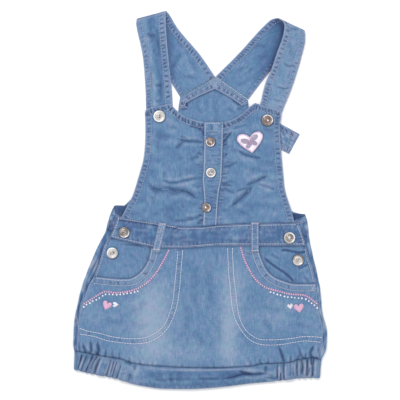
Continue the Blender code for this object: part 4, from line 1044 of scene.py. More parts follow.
for numbers, depth, half, darkening, light in (
    ((177.4, 138, 180.6, 139.6, 184, 140.6, 188, 141.1, 193.6, 141.2, 199, 141.6, 203.4, 141.6), 0.95, 1.15, 0.85, 0.34),
    ((184.4, 141.6, 181.6, 143.4, 178.6, 145.8, 175.2, 149), 0.8, 1.5, 0.6, 0.15), ((179.6, 136.2, 183, 136.8, 186.6, 138), 0.4, 0.9, 0.5, 0.1),
    ((188.6, 126.4, 193, 126.5, 197, 127.4, 200.4, 129.6, 203.4, 131.6), 0.7, 1.0, 0.85, 0.15), ((201, 130, 203.4, 132, 203.6, 137), 0.5, 1.5, 0.6, 0.0),
    ((190.6, 160.8, 192.6, 158.4, 195.6, 157.2, 199.6, 157), 0.6, 1.3, 0.55, 0.15), ((196.6, 152.4, 199.6, 153.6, 202.8, 155.2), 0.5, 0.8, 0.6, 0.1),
    ((196, 163.4, 199, 165.4, 202.8, 166.2), 0.4, 0.9, 0.5, 0.1), ((171.6, 134.6, 168, 136.6, 160.6, 135.2, 153.6, 136.4), 0.5, 2.3, 0.28, 0.12),
    ((157, 140, 157.8, 144, 156.6, 149), 0.35, 2.0, 0.25, 0.1), ((168.6, 128.4, 173, 127.2, 177, 129.6), 0.4, 1.7, 0.28, 0.1),
    ((159.6, 180, 163.6, 180.6, 168, 182.2, 173, 182.8, 178.6, 182.2, 184, 180.6, 190.6, 179.4, 196.4, 178.4, 202.4, 178.4), 0.95, 1.15, 0.62, 0.40),
    ((147.8, 179.6, 148.6, 183.4, 151.4, 187, 156.6, 189.2, 163, 189.8, 170, 188.8, 176, 190.8, 182, 190.8, 187.4, 192.2, 191.6, 194.6, 195.4, 197.8, 202.6, 198.6), 1.5, 2.0, 0.80, 0.30),
    ((167, 191, 170, 193.6, 174.6, 194.6, 180, 192.4), 0.5, 2.2, 0.35, 0.0), ((150, 187.6, 153.4, 191, 158.6, 192.6), 0.5, 1.9, 0.3, 0.0),
    ((151.6, 195.6, 152.6, 199.4, 154.8, 203.8), 0.5, 1.5, 0.4, 0.1), ((143, 198, 146, 201, 148, 206), 0.35, 1.9, 0.2, 0.1),
    ((172, 221.6, 178, 220.8, 184.4, 220.4, 190.6, 219.4, 196, 220), 0.7, 1.1, 0.6, 0.22),
    ((183.6, 217.6, 190, 217.6, 196.4, 217.8, 200.4, 215.2, 203.4, 211.6), 0.6, 1.1, 0.5, 0.25), ((196.6, 224.4, 200, 222, 203.4, 218.4), 0.5, 1.3, 0.6, 0.1),
    ((164, 213.4, 168, 217, 173, 217.6), 0.4, 1.7, 0.2, 0.12), ((160, 208.6, 167, 209.6, 175, 208.4), 0.4, 2.1, 0.15, 0.12),
    ((152.4, 213, 155.6, 214.2, 158, 213.4), 0.35, 1.1, 0.35, 0.08), ((180.6, 204.8, 182.6, 206.6, 184.2, 208), 0.35, 0.9, 0.45, 0.1),
    ((176.8, 206.4, 178.6, 208, 180, 210), 0.3, 1.0, 0.3, 0.08), ((187.6, 201, 193, 204.4, 199, 203.4), 0.4, 1.9, 0.2, 0.12),
    ((164, 170.6, 164.8, 174, 163.4, 178.4), 0.35, 1.7, 0.22, 0.1), ((180.4, 169, 180.8, 173, 179.2, 177.6), 0.35, 1.7, 0.22, 0.1),
    ((186, 168, 187, 172.6, 186.2, 176.6), 0.3, 1.5, 0.2, 0.08), ((160.6, 163.6, 166, 164.8, 173.4, 163.4), 0.35, 2.0, 0.15, 0.12),
    ((178.6, 152, 180.2, 156.6, 179.4, 161), 0.35, 1.7, 0.22, 0.1), ((176.6, 112, 175.6, 117.6, 177.6, 123), 0.3, 1.6, 0.18, 0.1),
    ((128, 213.6, 135, 214.6, 142, 212, 147.4, 208), 0.5, 1.8, 0.25, 0.15), ((192.6, 184, 196, 186.6, 202, 186.4), 0.35, 1.2, 0.3, 0.12),
):
    bib_left.fold(run(*numbers), depth, 1.12 * half, darkening=0.85 * darkening, light=light, way=0)
for numbers, depth, half, darkening, light in (
    ((222.8, 144.4, 224.4, 141, 227.2, 137.6, 229.8, 134.2, 232.4, 131.2), 1.0, 1.15, 0.95, 0.22), ((222.8, 137.6, 224.6, 135, 227.2, 133), 0.5, 0.9, 0.7, 0.1),
    ((232.6, 129.4, 236.6, 127.6, 241, 126.2, 247.4, 124.6), 0.5, 0.9, 0.5, 0.22), ((223, 147.4, 225, 144.6, 228.4, 141.4), 0.4, 0.9, 0.6, 0.1),
    ((236.8, 148.6, 240, 151.6, 244.4, 154.2, 249.6, 156, 255.4, 157.4, 263.4, 158.2), 0.85, 1.15, 0.75, 0.22), ((229.6, 150.4, 234, 150, 239, 151.2), 0.35, 1.3, 0.3, 0.12),
    ((221.8, 167.2, 226, 166.8, 230, 165.6, 234, 163.4, 238.6, 161.8), 0.6, 1.0, 0.62, 0.2), ((223.6, 163.4, 226.6, 162.8, 230.4, 161.8), 0.35, 0.9, 0.4, 0.1),
    ((222.4, 157.4, 225, 156, 227.6, 153.4), 0.35, 0.9, 0.5, 0.1), ((226, 147.4, 230, 146.4, 234.6, 146.6), 0.3, 1.1, 0.3, 0.1),
    ((220.8, 184, 225, 184.8, 229, 185.2, 231.8, 187), 0.55, 1.0, 0.65, 0.15), ((222.4, 187.2, 226.6, 189.6, 230.8, 191.8, 235.6, 192.8), 0.7, 1.15, 0.62, 0.15),
    ((236, 192.2, 239.4, 190.2, 243.4, 189, 248.4, 187.6), 0.65, 1.1, 0.6, 0.15), ((221.6, 182.8, 226.6, 182.6, 230.4, 181.6, 233, 180.8), 0.35, 0.8, 0.4, 0.12),
    ((229.4, 207, 233.6, 204.4, 238.4, 200.6, 243.2, 196.4, 248, 191.4, 250.8, 188.4, 254.2, 185.4), 1.45, 1.6, 0.80, 0.34),
    ((244.4, 185.6, 249.4, 184.2, 253.6, 182.2, 258, 180.6, 262.4, 178.2, 268, 175.6), 1.1, 1.5, 0.70, 0.25), ((262.6, 178, 266, 176.4, 269.2, 175.8), 0.4, 2.0, 0.3, 0.0),
    ((256, 184.4, 262, 185, 268.4, 187, 276.6, 190.2), 0.6, 1.0, 0.42, 0.25), ((269, 180, 273, 181, 278, 181), 0.4, 1.1, 0.3, 0.1),
    ((228, 206.6, 233.4, 207.6, 239.4, 206), 0.5, 1.5, 0.25, 0.1), ((221, 210.6, 225.4, 210, 230.6, 210.8), 0.35, 1.2, 0.3, 0.12),
    ((262, 204, 268.4, 206.8, 277, 206.4), 0.4, 2.2, 0.16, 0.12), ((272, 207.6, 276, 210.6, 281, 211), 0.35, 1.6, 0.2, 0.1),
    ((243.6, 168.6, 250, 170.4, 256.4, 169), 0.35, 2.2, 0.15, 0.12), ((240, 210, 246, 213.4, 250, 214.6), 0.35, 1.7, 0.2, 0.12),
    ((261.6, 199.6, 266, 196, 272, 195), 0.3, 1.8, 0.16, 0.1), ((265.6, 160.6, 270, 162.4, 275, 161.6), 0.35, 1.8, 0.18, 0.1),
    ((263.4, 128.6, 268, 130, 273.4, 131.6), 0.35, 1.8, 0.25, 0.08), ((235.6, 132, 233.2, 136, 234.6, 141), 0.3, 1.6, 0.14, 0.1),
    ((222.4, 173.6, 226, 172.4, 229.4, 172.6), 0.3, 0.9, 0.35, 0.1), ((222, 178.4, 225, 178, 228, 178.8), 0.3, 0.9, 0.3, 0.1),
    ((222.2, 199.6, 225.4, 198.4, 229, 199), 0.3, 1.2, 0.25, 0.1), ((252, 166, 253.4, 171.6, 251.6, 177), 0.3, 1.9, 0.12, 0.1),
):
    bib_right.fold(run(*numbers), depth, 1.12 * half, darkening=0.85 * darkening, light=light, way=0)
for sheet in (bib_left, bib_right):
    sheet.rise += 0.22 * noise(sheet.p / 15, sheet.q / 8.5, 7) + 0.1 * noise(sheet.p / 5.5, sheet.q / 4.2, 9)
    sheet.fade += 0.12 * noise(sheet.p / 11, sheet.q / 6.5, 11) - 0.03

bib_left.soft_patches(((178, 207, 26, 12, -0.10), (150, 170, 12, 30, -0.04)))
bib_right.soft_patches(((250, 207, 26, 11, -0.08),))
back_panel.fade -= 0.04

# The placket's seams gather the cloth on both sides of them.
up = np.linspace(-28.0, 87.0, 49)
placket_left = np.stack([column(PLACKET, 0, 1, up), up], axis=1)
placket_right = np.stack([column(PLACKET, 0, 2, up), up], axis=1)
bib_left.pucker(placket_left, 6.0, 1, period=3.9, amp=0.24, lean=0.05, darkening=0.7, shine=0.25, even_force=0.2)
bib_right.pucker(placket_right, 6.5, -1, period=3.9, amp=0.3, lean=-0.05, darkening=0.62, shine=0.25, even_force=0.3)
bib_left.shade(placket_left, 1.3, 1, darkening=0.55)
bib_right.shade(placket_right, 1.3, -1, darkening=0.5)
placket.pucker(placket_left, 5.0, -1, period=3.4, amp=0.2, lean=0.1, darkening=0.5, shine=0.25, start=1.6, even_force=0.15)
placket.pucker(placket_right, 6.0, 1, period=3.5, amp=0.24, lean=-0.1, darkening=0.6, shine=0.25, start=1.6, even_force=0.2)
for edge in (placket_left, placket_right):
    placket.turned(edge, pale=0.7, drop=0.35)
neck_p = line((4.7, 87.6), (26.0, 87.6))
placket.turned(closer(neck_p), pale=0.7, drop=0.35)
placket.crease(run(212, 123.5, 212.2, 127, 212, 131), 0.4, 0.8, darkening=1.0, blunt=0.7)
placket.crease(run(205.5, 131.3, 214, 132, 222, 131), 0.3, 0.9, darkening=0.6)
for row, left_no, right_no, depth in (
    (149.5, 206, 217, 0.35), (155, 209, 221, 0.3), (160, 205, 213, 0.35), (164.5, 210, 220, 0.3),
    (180.5, 205, 216, 0.35), (186, 208, 218, 0.3), (191, 206, 214, 0.3), (197, 207, 217, 0.4),
    (214.5, 204, 213, 0.35), (219, 207, 216, 0.35), (135.5, 207, 219, 0.3),
):
    placket.crease(run(left_no, row, (left_no + right_no) / 2, row + 0.7, right_no, row - 0.3), depth, 1.0, darkening=0.45)
bib_bottom = closer(across_seam(WAIST_TOP, -88.0, 105.0))
for sheet in (bib_left, bib_right, placket):
    sheet.shade(bib_bottom[bib_bottom[:, 0] > -26.0], 1.4, darkening=0.75)
for sheet in (bib_left, bib_right):
    sheet.pucker(bib_bottom, 5.0, 1, period=6.4, amp=0.1, lean=0.1, darkening=0.12, shine=0.05, even_force=0.1)

# Front waistband.
waist_top = closer(across_seam(WAIST_TOP, -92.5, 109.6))
waist_low = closer(across_seam(WAIST_BOTTOM, -102.0, 118.2))
waist_sides = (closer(along_edge(EDGE_LEFT, -41.6, -19.5)), closer(along_edge(EDGE_RIGHT, -50.7, -25.5)))
front_waistband.turned(waist_top, pale=0.7)
front_waistband.turned(waist_low, pale=0.7)
for side_curve, way in zip(waist_sides, (-1, 1)):
    front_waistband.turned(side_curve, pale=0.8)
    front_waistband.groove(offset_curve(side_curve, 1.8 * way), 0.16)
front_waistband.groove(offset_curve(waist_top, -1.9), 0.2, darkening=0.2)
front_waistband.groove(offset_curve(waist_low, 1.9), 0.2, darkening=0.2)
front_waistband.pucker(waist_top, 4.6, -1, period=5.4, amp=0.13, lean=0.3, darkening=0.3, shine=0.12, start=1.6, even_force=0.1)
front_waistband.pucker(waist_low, 4.6, 1, period=5.0, amp=0.13, lean=0.3, darkening=0.3, shine=0.12, start=1.6, even_force=0.1)
front_waistband.shade(waist_top[waist_top[:, 0] > -26.0], 0.8, darkening=0.35)
left_seam = closer(offset_curve(waist_top[waist_top[:, 0] < -24.0], -2.5))
front_waistband.shade(left_seam, 0.9, darkening=0.42)
front_waistband.ladder(left_seam, 0, 0.0, 1.0, period=3.4, amp=0.2, darkening=0.7, shine=0.1, steady=0.3, skip=0.1)
front_waistband.ladder(waist_top, -1, 4.6, 1.9, period=4.8, amp=0.24, darkening=0.55, shine=0.3, lean=0.3, steady=0.0, skip=0.3)
front_waistband.ladder(waist_low, 1, 4.2, 1.7, period=4.6, amp=0.22, darkening=0.5, shine=0.3, lean=0.3, steady=0.0, skip=0.3)
for numbers, depth, half, darkening in (
    ((136, 233.5, 144, 233, 152, 234.5), 0.35, 1.5, 0.35), ((166, 236, 178, 238.5, 192, 237.5), 0.35, 1.8, 0.3),
    ((205, 232, 216, 233.5, 228, 232.5), 0.3, 1.7, 0.3), ((224, 240, 236, 241.5, 249, 240), 0.35, 1.6, 0.35),
    ((262, 231, 270, 233, 279, 232), 0.3, 1.5, 0.25), ((176, 243, 186, 242, 198, 243), 0.25, 1.5, 0.25),
    ((297, 237.6, 300, 238.6, 304.2, 238.4), 0.45, 0.8, 0.6), ((296.6, 235, 300, 235, 303, 234.4), 0.4, 0.8, 0.5),
    ((298, 241.5, 301, 242, 305, 241.2), 0.4, 0.8, 0.5), ((112, 228.5, 116, 229.6, 119, 228), 0.35, 1.0, 0.4),
    ((130, 226, 132, 232, 131, 240), 0.25, 1.3, 0.25), ((245.5, 228, 246.4, 236, 245.4, 243), 0.3, 1.3, 0.35),
    ((170, 229, 171.4, 236, 170.4, 243), 0.2, 1.5, 0.2), ((283, 228, 284.4, 235, 283, 242), 0.25, 1.3, 0.25),
):
    front_waistband.crease(run(*numbers), depth, half, darkening=darkening)
front_waistband.fade += 0.22 * noise(front_waistband.p / 3.4, front_waistband.q / 7.5, 5) + 0.17 * noise(front_waistband.p / 9, front_waistband.q / 3, 6) + 0.14 * noise(front_waistband.p / 2.2, front_waistband.q / 2.6, 8) - 0.23
front_waistband.soft_patches((
    (146, 234.5, 10, 5, -0.14), (170, 238, 4, 9, -0.3), (190, 238, 14, 4, -0.14), (213, 234, 9, 9, -0.14), (248, 243, 4, 4.5, -0.35),
    (280, 230, 8, 5, -0.12), (236, 230, 8, 4, 0.06), (128, 238, 7, 3, 0.1), (190, 231, 12, 4, 0.05),
))
placket.soft_patches(((212, 206, 7, 11, -0.26), (211, 185, 5, 8, -0.08), (207, 134, 3, 3, -0.25), (210.5, 127, 1.4, 4, -0.3), (215, 126, 3, 3.6, 0.22), (207, 126, 1.6, 3.6, 0.22)))

for sheet, (_, x1, y1, x2, y2, width) in zip((loop_left, loop_right), BELT_LOOPS):
    for sign, way in ((-1, -1), (1, 1)):
        dx, dy = x1 - x2, y1 - y2
        span = math.hypot(dx, dy)
        ox, oy = sign * dy / span * width / 2, -sign * dx / span * width / 2
        edge = closer(line((x2 + ox, y2 + oy), (x1 + ox, y1 + oy)))
        sheet.pucker(edge, 3.4, way, period=3.3, amp=0.22, lean=0.3, darkening=0.9, shine=0.4, start=0.6)
        sheet.shade(edge, 0.7, darkening=0.35)
        sheet.turned(edge, pale=0.85, drop=0.35, reach=1.0)
    sheet.fade += (0.15 if sheet is loop_left else -0.12) + 0.24 * noise(sheet.p / 1.7, sheet.q / 2.2, 14)
    sheet.wear += 0.34 * np.clip(noise(sheet.p / 1.5, sheet.q / 1.7, 15), 0, 1)
    for y in (y1, y2):
        sheet.turned(closer(line((x1 - 8, y), (x1 + 8, y))) if y == y1 else closer(line((x2 - 8, y), (x2 + 8, y))), pale=0.6, drop=0.35)

# The cloth close round the heart patch, where its rim is sewn down, is pressed a little and darkened with painted
# shade.
heart_turn = np.array([[math.cos(HEART_TILT), math.sin(HEART_TILT)], [-math.sin(HEART_TILT), math.cos(HEART_TILT)]])
heart_right = through(HEART_HALF)
heart_round = np.concatenate([heart_right * [-1, 1], heart_right[::-1]]) * 1.12 @ heart_turn + np.array(HEART_CENTRE[:2])
bib_right.shade(closer(heart_round), 1.1, darkening=0.5, drop=0.12)

# The cloth round each button is darker, pressed under its rim and darkened by a painted contact shadow set a little
# right and down.
for _, bx, by, diameter, piece in BUTTONS:
    under = {"placket": (placket,), "waistband": (front_waistband,), "hip": (hip_left, hip_right)}.get(piece, (bib_left, bib_right))
    for sheet in under:
        d = np.hypot(sheet.grid[..., 0] - bx - 0.25, sheet.grid[..., 1] - by + 0.35)
        sheet.dye += 0.62 * np.exp(-((np.maximum(d - diameter / 2, 0) / 0.75) ** 2)) * (d < diameter)
        sheet.rise -= 0.12 * np.exp(-(((d - diameter / 2) / 1.2) ** 2))


# Skirt front: pocket openings, waist gathers, pocket-bag stitches, hem gathers.
pocket_l = closer(through(POCKET_LEFT))
pocket_r = closer(through(POCKET_RIGHT))
for curve, way in ((pocket_l, -1), (pocket_r, 1)):
    skirt_front.hem(curve, 7.6, way, 0.3)
    skirt_front.ladder(curve, way, 4.4, 1.7, period=4.4, amp=0.32, darkening=0.95, shine=0.3, lean=0.2 * way, steady=0.0, skip=0.25)
    skirt_front.wear += 0.10 * np.exp(-(((near(curve, skirt_front.p, skirt_front.q, 9)[0] - 4.2) / 2.6) ** 4)) * (near(curve, skirt_front.p, skirt_front.q, 9)[2] * way > 0)
    skirt_front.turned(curve, pale=0.9)
    skirt_front.groove(offset_curve(curve, way * 7.4), 0.22, darkening=0.28)
waist_mid = closer(across_seam(WAIST_BOTTOM, POCKET_LEFT[-1][0], POCKET_RIGHT[-1][0]))
skirt_front.shade(waist_mid, 2.2, darkening=0.75)
skirt_front.turned(waist_mid, pale=0.0)
for numbers, depth, half, darkening in (
    ((150.5, 252, 158, 253.5, 166, 250.5), 0.5, 1.1, 0.7), ((193, 250, 193.6, 258, 192.6, 268), 0.2, 1.6, 0.15),
    ((205, 250, 206, 262, 205, 276), 0.2, 1.8, 0.15), ((216, 250, 217, 258, 216.4, 267), 0.2, 1.6, 0.12),
    ((243, 251.5, 248, 253.5, 254, 254.5), 0.4, 1.0, 0.5), ((249, 250, 252, 251.6, 256, 252), 0.35, 0.9, 0.55),
):
    skirt_front.crease(run(*numbers), depth, half, darkening=darkening)
bag_rows = {
    "left_inner": run(178, 250.8, 176.7, 265.5, 174.8, 284.6, 172.9, 300.6, 169.7, 313.3, 164.6, 324.2, 157, 331.8, 147.4, 336.9, 136.5, 338.6, 123.8, 338.3, 111, 336.4, 99.5, 333.2, 88.7, 331.3, 79.6, 328.3),
    "left_outer": run(182.8, 249.6, 181.2, 268.7, 179.6, 287.8, 177.4, 303.8, 173.5, 316.5, 167.8, 328, 159.5, 336.4, 149.3, 341.8, 136.5, 343.7, 117.4, 342.1, 105.9, 340.2, 95.7, 336.7, 79.4, 333.9),
    "right_inner": run(232.4, 247.5, 233.4, 271.9, 235.3, 289.7, 238.5, 313.3, 241, 321.6, 247.4, 331.8, 257.6, 338.6, 269, 339.8, 282.3, 339.2, 291.9, 338.3, 304.6, 336.4, 322.3, 337.4),
    "right_outer": run(227.6, 247.5, 228.6, 271.9, 230.2, 287.8, 232.7, 310.2, 236.6, 322.3, 242.9, 332.5, 250, 339.9, 260, 344.2, 271, 345, 282.3, 344.3, 295.1, 342.1, 304.6, 340.8, 322.3, 342.4),
}
for name, curve in bag_rows.items():
    skirt_front.groove(curve, 0.24, half=0.7, darkening=0.22)
for inner_name, way in (("left_inner", 1), ("right_inner", -1)):
    skirt_front.pucker(bag_rows[inner_name], 5.2, way, period=4.6, amp=0.16, lean=0.2, darkening=0.42, shine=0.12, start=0.4, even_force=0.1)
    skirt_front.pucker(bag_rows[inner_name], 4.0, -way, period=6.5, amp=0.08, lean=0.3, darkening=0.08, shine=0.04, even_force=0.1)
chain_l = run(84, 304, 89.6, 300.4, 95, 297, 101.6, 292.9, 106, 291.5, 115, 292.8, 125, 292, 135, 289.5, 143, 285.5, 150, 280, 156, 273, 161, 265, 165, 258, 169, 250)
chain_r = run(240.7, 247.4, 244.2, 259.1, 249.3, 270, 256.3, 280.2, 265.3, 287.2, 277.5, 290.9, 289.5, 293.9, 301, 294.8, 306, 295.8, 312.5, 300.2, 319, 305.2)
for curve in (chain_l, chain_r):
    skirt_front.groove(curve, 0.18, half=0.9, darkening=0.18)
    skirt_front.pucker(curve, 4.0, 0, period=6.2, amp=0.08, lean=0.3, darkening=0.1, shine=0.04, even_force=0.1)

hem_seam_curve = closer(across_seam(HEM_SEAM, -138.0, 132.3))
skirt_front.shade(hem_seam_curve, 1.5, darkening=0.8)
skirt_front.turned(hem_seam_curve, pale=0.0, drop=0.5)
for numbers, depth, half, darkening in (
    ((90.4, 337.6, 91, 344, 91.4, 352.6), 1.1, 1.1, 1.0), ((83, 341.6, 84, 347, 86.2, 353.4), 1.1, 1.2, 1.0),
    ((98.4, 338, 97.8, 344, 98.6, 350, 97.4, 355.4), 1.0, 1.1, 0.95), ((94, 348.6, 96, 352, 98.4, 356.4), 0.7, 0.9, 0.8),
    ((87.6, 349.6, 89.6, 352.6, 91.6, 355.4), 0.6, 0.9, 0.6), ((105.4, 346.6, 106, 352, 105.2, 357.4), 0.7, 1.0, 0.55),
    ((112.8, 349, 112.4, 353.6, 113.2, 358.4), 0.6, 1.0, 0.5), ((119.2, 351.6, 119.6, 356, 119, 360), 0.5, 0.9, 0.45),
    ((128.4, 355, 129.6, 358.6, 129, 362), 0.4, 1.0, 0.35), ((79.4, 338, 78.8, 345, 80.4, 352), 0.6, 1.0, 0.5),
    ((139.4, 358, 140, 361, 139.8, 364.4), 0.35, 1.0, 0.25), ((152, 360, 152.6, 362.6, 152, 365.6), 0.3, 1.0, 0.2),
    ((277, 343.6, 279.6, 348.6, 281.8, 354.6, 284.4, 362), 1.1, 1.1, 0.95), ((298.6, 344, 299.4, 350, 301.4, 355.6, 304.8, 360), 0.8, 0.95, 0.7),
    ((299.2, 351.6, 298.4, 356, 297.2, 360.6), 0.7, 0.9, 0.7), ((314.6, 342.4, 312.4, 348, 310.4, 353, 311.8, 358.6), 1.2, 1.25, 1.0),
    ((311.2, 356.4, 315.6, 357.8, 321, 360.4), 0.8, 1.2, 0.9), ((305.2, 351.6, 305.4, 356, 305, 360.2), 0.6, 0.9, 0.55),
    ((290.2, 353.6, 290.6, 358, 290.6, 362.2), 0.6, 0.95, 0.5), ((268, 356.6, 268.4, 360.6, 267.4, 364.4), 0.45, 0.95, 0.4),
    ((260.8, 357.4, 259.6, 361, 262, 365), 0.5, 1.0, 0.45), ((318.8, 344, 318.4, 350, 320, 356), 0.5, 1.0, 0.35),
    ((250, 359, 250.4, 362, 250, 366), 0.3, 1.1, 0.2), ((182, 362, 182.2, 365, 181.8, 367.6), 0.3, 1.0, 0.18),
    ((214, 362, 213.8, 365, 214.2, 367.6), 0.3, 1.0, 0.18), ((234, 361, 234.4, 364, 234, 367), 0.3, 1.0, 0.18),
):
    skirt_front.fold(run(*numbers), 1.2 * depth, half, darkening=darkening, light=0.3, ends=(0.5, 0.04))
for numbers, depth, half in (
    ((196, 262, 196.6, 285, 195, 312), 0.35, 3.4), ((209, 258, 208.6, 280, 211, 306), 0.3, 3.2),
    ((148, 300, 140, 308, 128, 312), 0.3, 2.6), ((103, 318, 112, 322, 124, 321), 0.35, 2.4),
    ((262, 304, 272, 309, 285, 310), 0.35, 2.4), ((296, 322, 303, 326, 313, 326), 0.35, 2.2),
    ((192, 330, 199, 337, 203, 348), 0.3, 2.8), ((221, 318, 219, 330, 222, 343), 0.3, 2.6),
    ((150, 262, 146, 276, 137, 284), 0.0001, 1.0), ((262, 318, 268, 326, 272, 334), 0.25, 2.4),
    ((132, 322, 142, 326, 150, 324), 0.25, 2.4), ((186, 300, 187.4, 318, 185, 338), 0.3, 3.0),
):
    skirt_front.fold(run(*numbers), 1.1 * depth, half, darkening=0.16, light=0.12)
side_l = closer(along_edge(EDGE_LEFT, -168.9, -85.7))
side_r = closer(along_edge(EDGE_RIGHT, -178.3, -94.0))
for curve, way in ((side_l, -1), (side_r, 1)):
    skirt_front.turned(curve, pale=0.85, drop=0.55, reach=1.5)
    skirt_front.pucker(curve, 5.0, way, period=7.0, amp=0.16, lean=0.3, darkening=0.2, shine=0.1, start=0.6, even_force=0.1)
skirt_front.soft_patches((
    (152, 330, 20, 34, 0.42), (229, 322, 10, 40, 0.40), (158, 292, 14, 26, 0.16), (236, 285, 9, 28, 0.16),
    (200, 284, 13, 40, -0.02), (212, 330, 9, 20, -0.06), (100, 320, 14, 14, 0.08), (280, 320, 26, 16, 0.10),
    (200, 352, 50, 9, 0.16), (290, 352, 25, 8, -0.06), (100, 300, 12, 5, -0.08), (132, 306, 20, 8, 0.10),
))

# Hem band: the elastic's pleats, dark with painted shade in their troughs (partly indigo kept there) and pale on their
# ridges, partly rubbed and partly painted highlight.
hem_low = closer(across_seam(HEM_EDGE, -138.0, 131.0))
hem_band_front.turned(hem_low, pale=0.5, drop=0.5)
hem_band_front.turned(hem_seam_curve, pale=0.0, drop=0.4)
hem_band_front.shade(hem_seam_curve, 0.9, darkening=0.85)
for numbers, half, darkening in (
    ((75.6, 352, 75.4, 360, 76, 369), 1.8, 0.6), ((82.2, 354.2, 80.2, 362, 77.6, 370), 0.95, 0.95), ((87.4, 355, 84, 363, 81, 371.6), 0.85, 0.7),
    ((93.4, 355.2, 89.6, 363, 85.4, 372), 1.2, 1.0), ((97.2, 356, 93.6, 362, 90.2, 370), 1.35, 1.0), ((100.6, 357.2, 97.2, 365, 94, 374.4), 1.05, 1.0),
    ((111.2, 359, 109, 367, 106.4, 376.6), 0.95, 0.95), ((114.4, 360, 112.4, 367, 110.6, 375), 0.65, 0.6), ((117.6, 360.6, 114.4, 369, 112.2, 377.8), 0.95, 0.9),
    ((121.4, 364, 119, 372, 116.6, 379.6), 0.85, 0.9), ((104, 371.6, 103.4, 374, 102.6, 376.6), 0.8, 0.5),
    ((277.6, 363.2, 277.2, 371, 277.4, 380), 0.85, 0.95), ((280.8, 372, 280.5, 376, 280.6, 381), 1.1, 1.0), ((283.8, 362.4, 283.4, 371, 284, 380.4), 1.05, 1.0),
    ((290.2, 362, 290.4, 370, 289.6, 377), 0.85, 0.4), ((297.2, 360, 296.8, 368, 297.4, 377.6), 1.05, 1.0), ((301.4, 359.4, 302.4, 366, 301.4, 375), 1.7, 0.8),
    ((307.4, 359, 307.2, 366, 306.2, 376), 1.05, 0.9), ((311, 358, 311.2, 361, 311.2, 365), 1.2, 0.85), ((313.8, 357.6, 312.6, 367, 312.6, 377.4), 1.15, 1.0),
    ((309.6, 367, 308.2, 372, 306.8, 377), 0.8, 0.65), ((318.8, 359.6, 318.4, 369, 318.2, 377.4), 0.8, 0.45), ((293.4, 366, 293, 371, 293.6, 377), 0.7, 0.35),
):
    hem_band_front.crease(run(*numbers), 0.85, half, ridge=0.55, darkening=1.35 * darkening, pale=0.2, blunt=0.95)
for numbers, half, pale in (
    ((84.8, 355.6, 81.8, 363, 79, 370.6), 0.75, 0.85), ((90.6, 357, 87.2, 365, 83.8, 372.4), 0.7, 0.55), ((95.2, 359, 91.8, 366, 88.2, 373.4), 0.7, 0.6),
    ((99.2, 360, 95.8, 368, 92.6, 374.6), 0.6, 0.5), ((102.4, 358.6, 99.4, 366, 96.4, 375), 0.8, 0.9), ((109.2, 361, 107, 369, 104.6, 376.6), 0.7, 0.95),
    ((113, 362, 110.8, 369, 108.8, 377), 0.65, 0.85), ((116, 363, 113.4, 370, 110.8, 378), 0.6, 0.7), ((122.8, 364, 120.4, 371, 118.2, 379.6), 0.7, 0.6),
    ((279.2, 364, 279, 371, 278.8, 379), 0.7, 0.85), ((285.6, 363.4, 285.4, 371, 285.9, 380), 0.7, 0.8), ((295, 361.6, 294.9, 369, 295.2, 378), 0.7, 0.75),
    ((299.4, 361, 299, 369, 299.6, 378), 0.7, 0.85), ((304.9, 361, 304.9, 368, 304.2, 377), 0.75, 0.9), ((309.6, 361, 309.4, 364, 308.8, 368), 0.7, 0.6),
    ((315.6, 360, 315.4, 368, 314.6, 376.6), 0.75, 0.85), ((303, 374.6, 306, 377, 311, 375.6), 0.7, 0.55), ((310.4, 370, 309.4, 374, 308.6, 377.4), 0.6, 0.6),
):
    hem_band_front.ridge(run(*numbers), 0.36, half, pale=1.35 * pale)
for numbers, depth, half, darkening in (
    ((196, 378.4, 205, 378.5, 214, 378.6, 222.6, 378.4), 0.5, 1.0, 0.6), ((150, 379.4, 160, 379.8, 172, 379, 186, 379.2, 198, 378.4), 0.4, 1.3, 0.32),
    ((220, 378.6, 227, 377.8, 234, 376.6, 240, 374.6, 246, 374, 254, 374, 262, 373.4, 269.4, 373), 0.9, 1.4, 0.9),
    ((237.6, 370.2, 243, 372.2, 247.6, 373.4, 253, 374.2), 0.8, 1.2, 0.85), ((265, 365.6, 265.8, 369, 264.4, 372), 0.6, 1.6, 0.7),
    ((265.6, 377, 271, 377.8, 277, 378.6), 0.5, 1.1, 0.6), ((267.6, 373.2, 270, 375, 274, 375.6), 0.4, 1.0, 0.4),
    ((129.8, 372.6, 130, 376, 129, 380.6), 0.5, 1.9, 0.5), ((133.6, 364.6, 135, 367, 134.4, 370.6), 0.5, 1.2, 0.5),
    ((158, 372, 160, 375, 159, 378.6), 0.3, 1.9, 0.25), ((170.6, 372, 171.4, 377, 170.4, 383), 0.35, 1.5, 0.35),
    ((123.6, 361.4, 128, 362.6, 133, 364.4), 0.4, 1.2, 0.6),
):
    hem_band_front.fold(run(*numbers), depth, half, darkening=darkening, light=0.25)
hem_band_front.ridge(run(118.8, 372, 123, 371, 128, 372), 0.2, 0.8, pale=0.4)
hem_band_front.rise += 0.25 * noise(hem_band_front.p / 13, hem_band_front.q / 5, 21)
hem_band_front.fade += 0.14 * noise(hem_band_front.p / 8, hem_band_front.q / 4.5, 22)
hem_band_front.pucker(hem_low, 4.0, 1, period=6.0, amp=0.16, lean=0.2, darkening=0.25, shine=0.3, start=0.5)
rim = run(136, 366.2, 146.1, 367.6, 160, 369, 175.5, 369.7, 201, 370, 223.3, 369.6, 240, 369, 252, 369.6, 262, 371.2)
hem_band_front.ridge(rim, 0.25, 0.9, pale=0.75)
# Soft patches; the two dark strips across the middle are painted shade on the band's upper half, under the blousing
# skirt.
hem_band_front.soft_patches((
    (180, 374.5, 40, 3.8, -0.28), (232, 373.6, 17, 3.2, -0.42), (200, 384, 60, 5, -0.16), (106, 366, 26, 14, 0.2), (296, 370, 30, 12, 0.16),
    (136, 376, 14, 8, 0.14), (255, 371, 10, 2.4, 0.3), (76, 360, 3, 12, -0.3), (84, 362, 7, 12, -0.15),
))

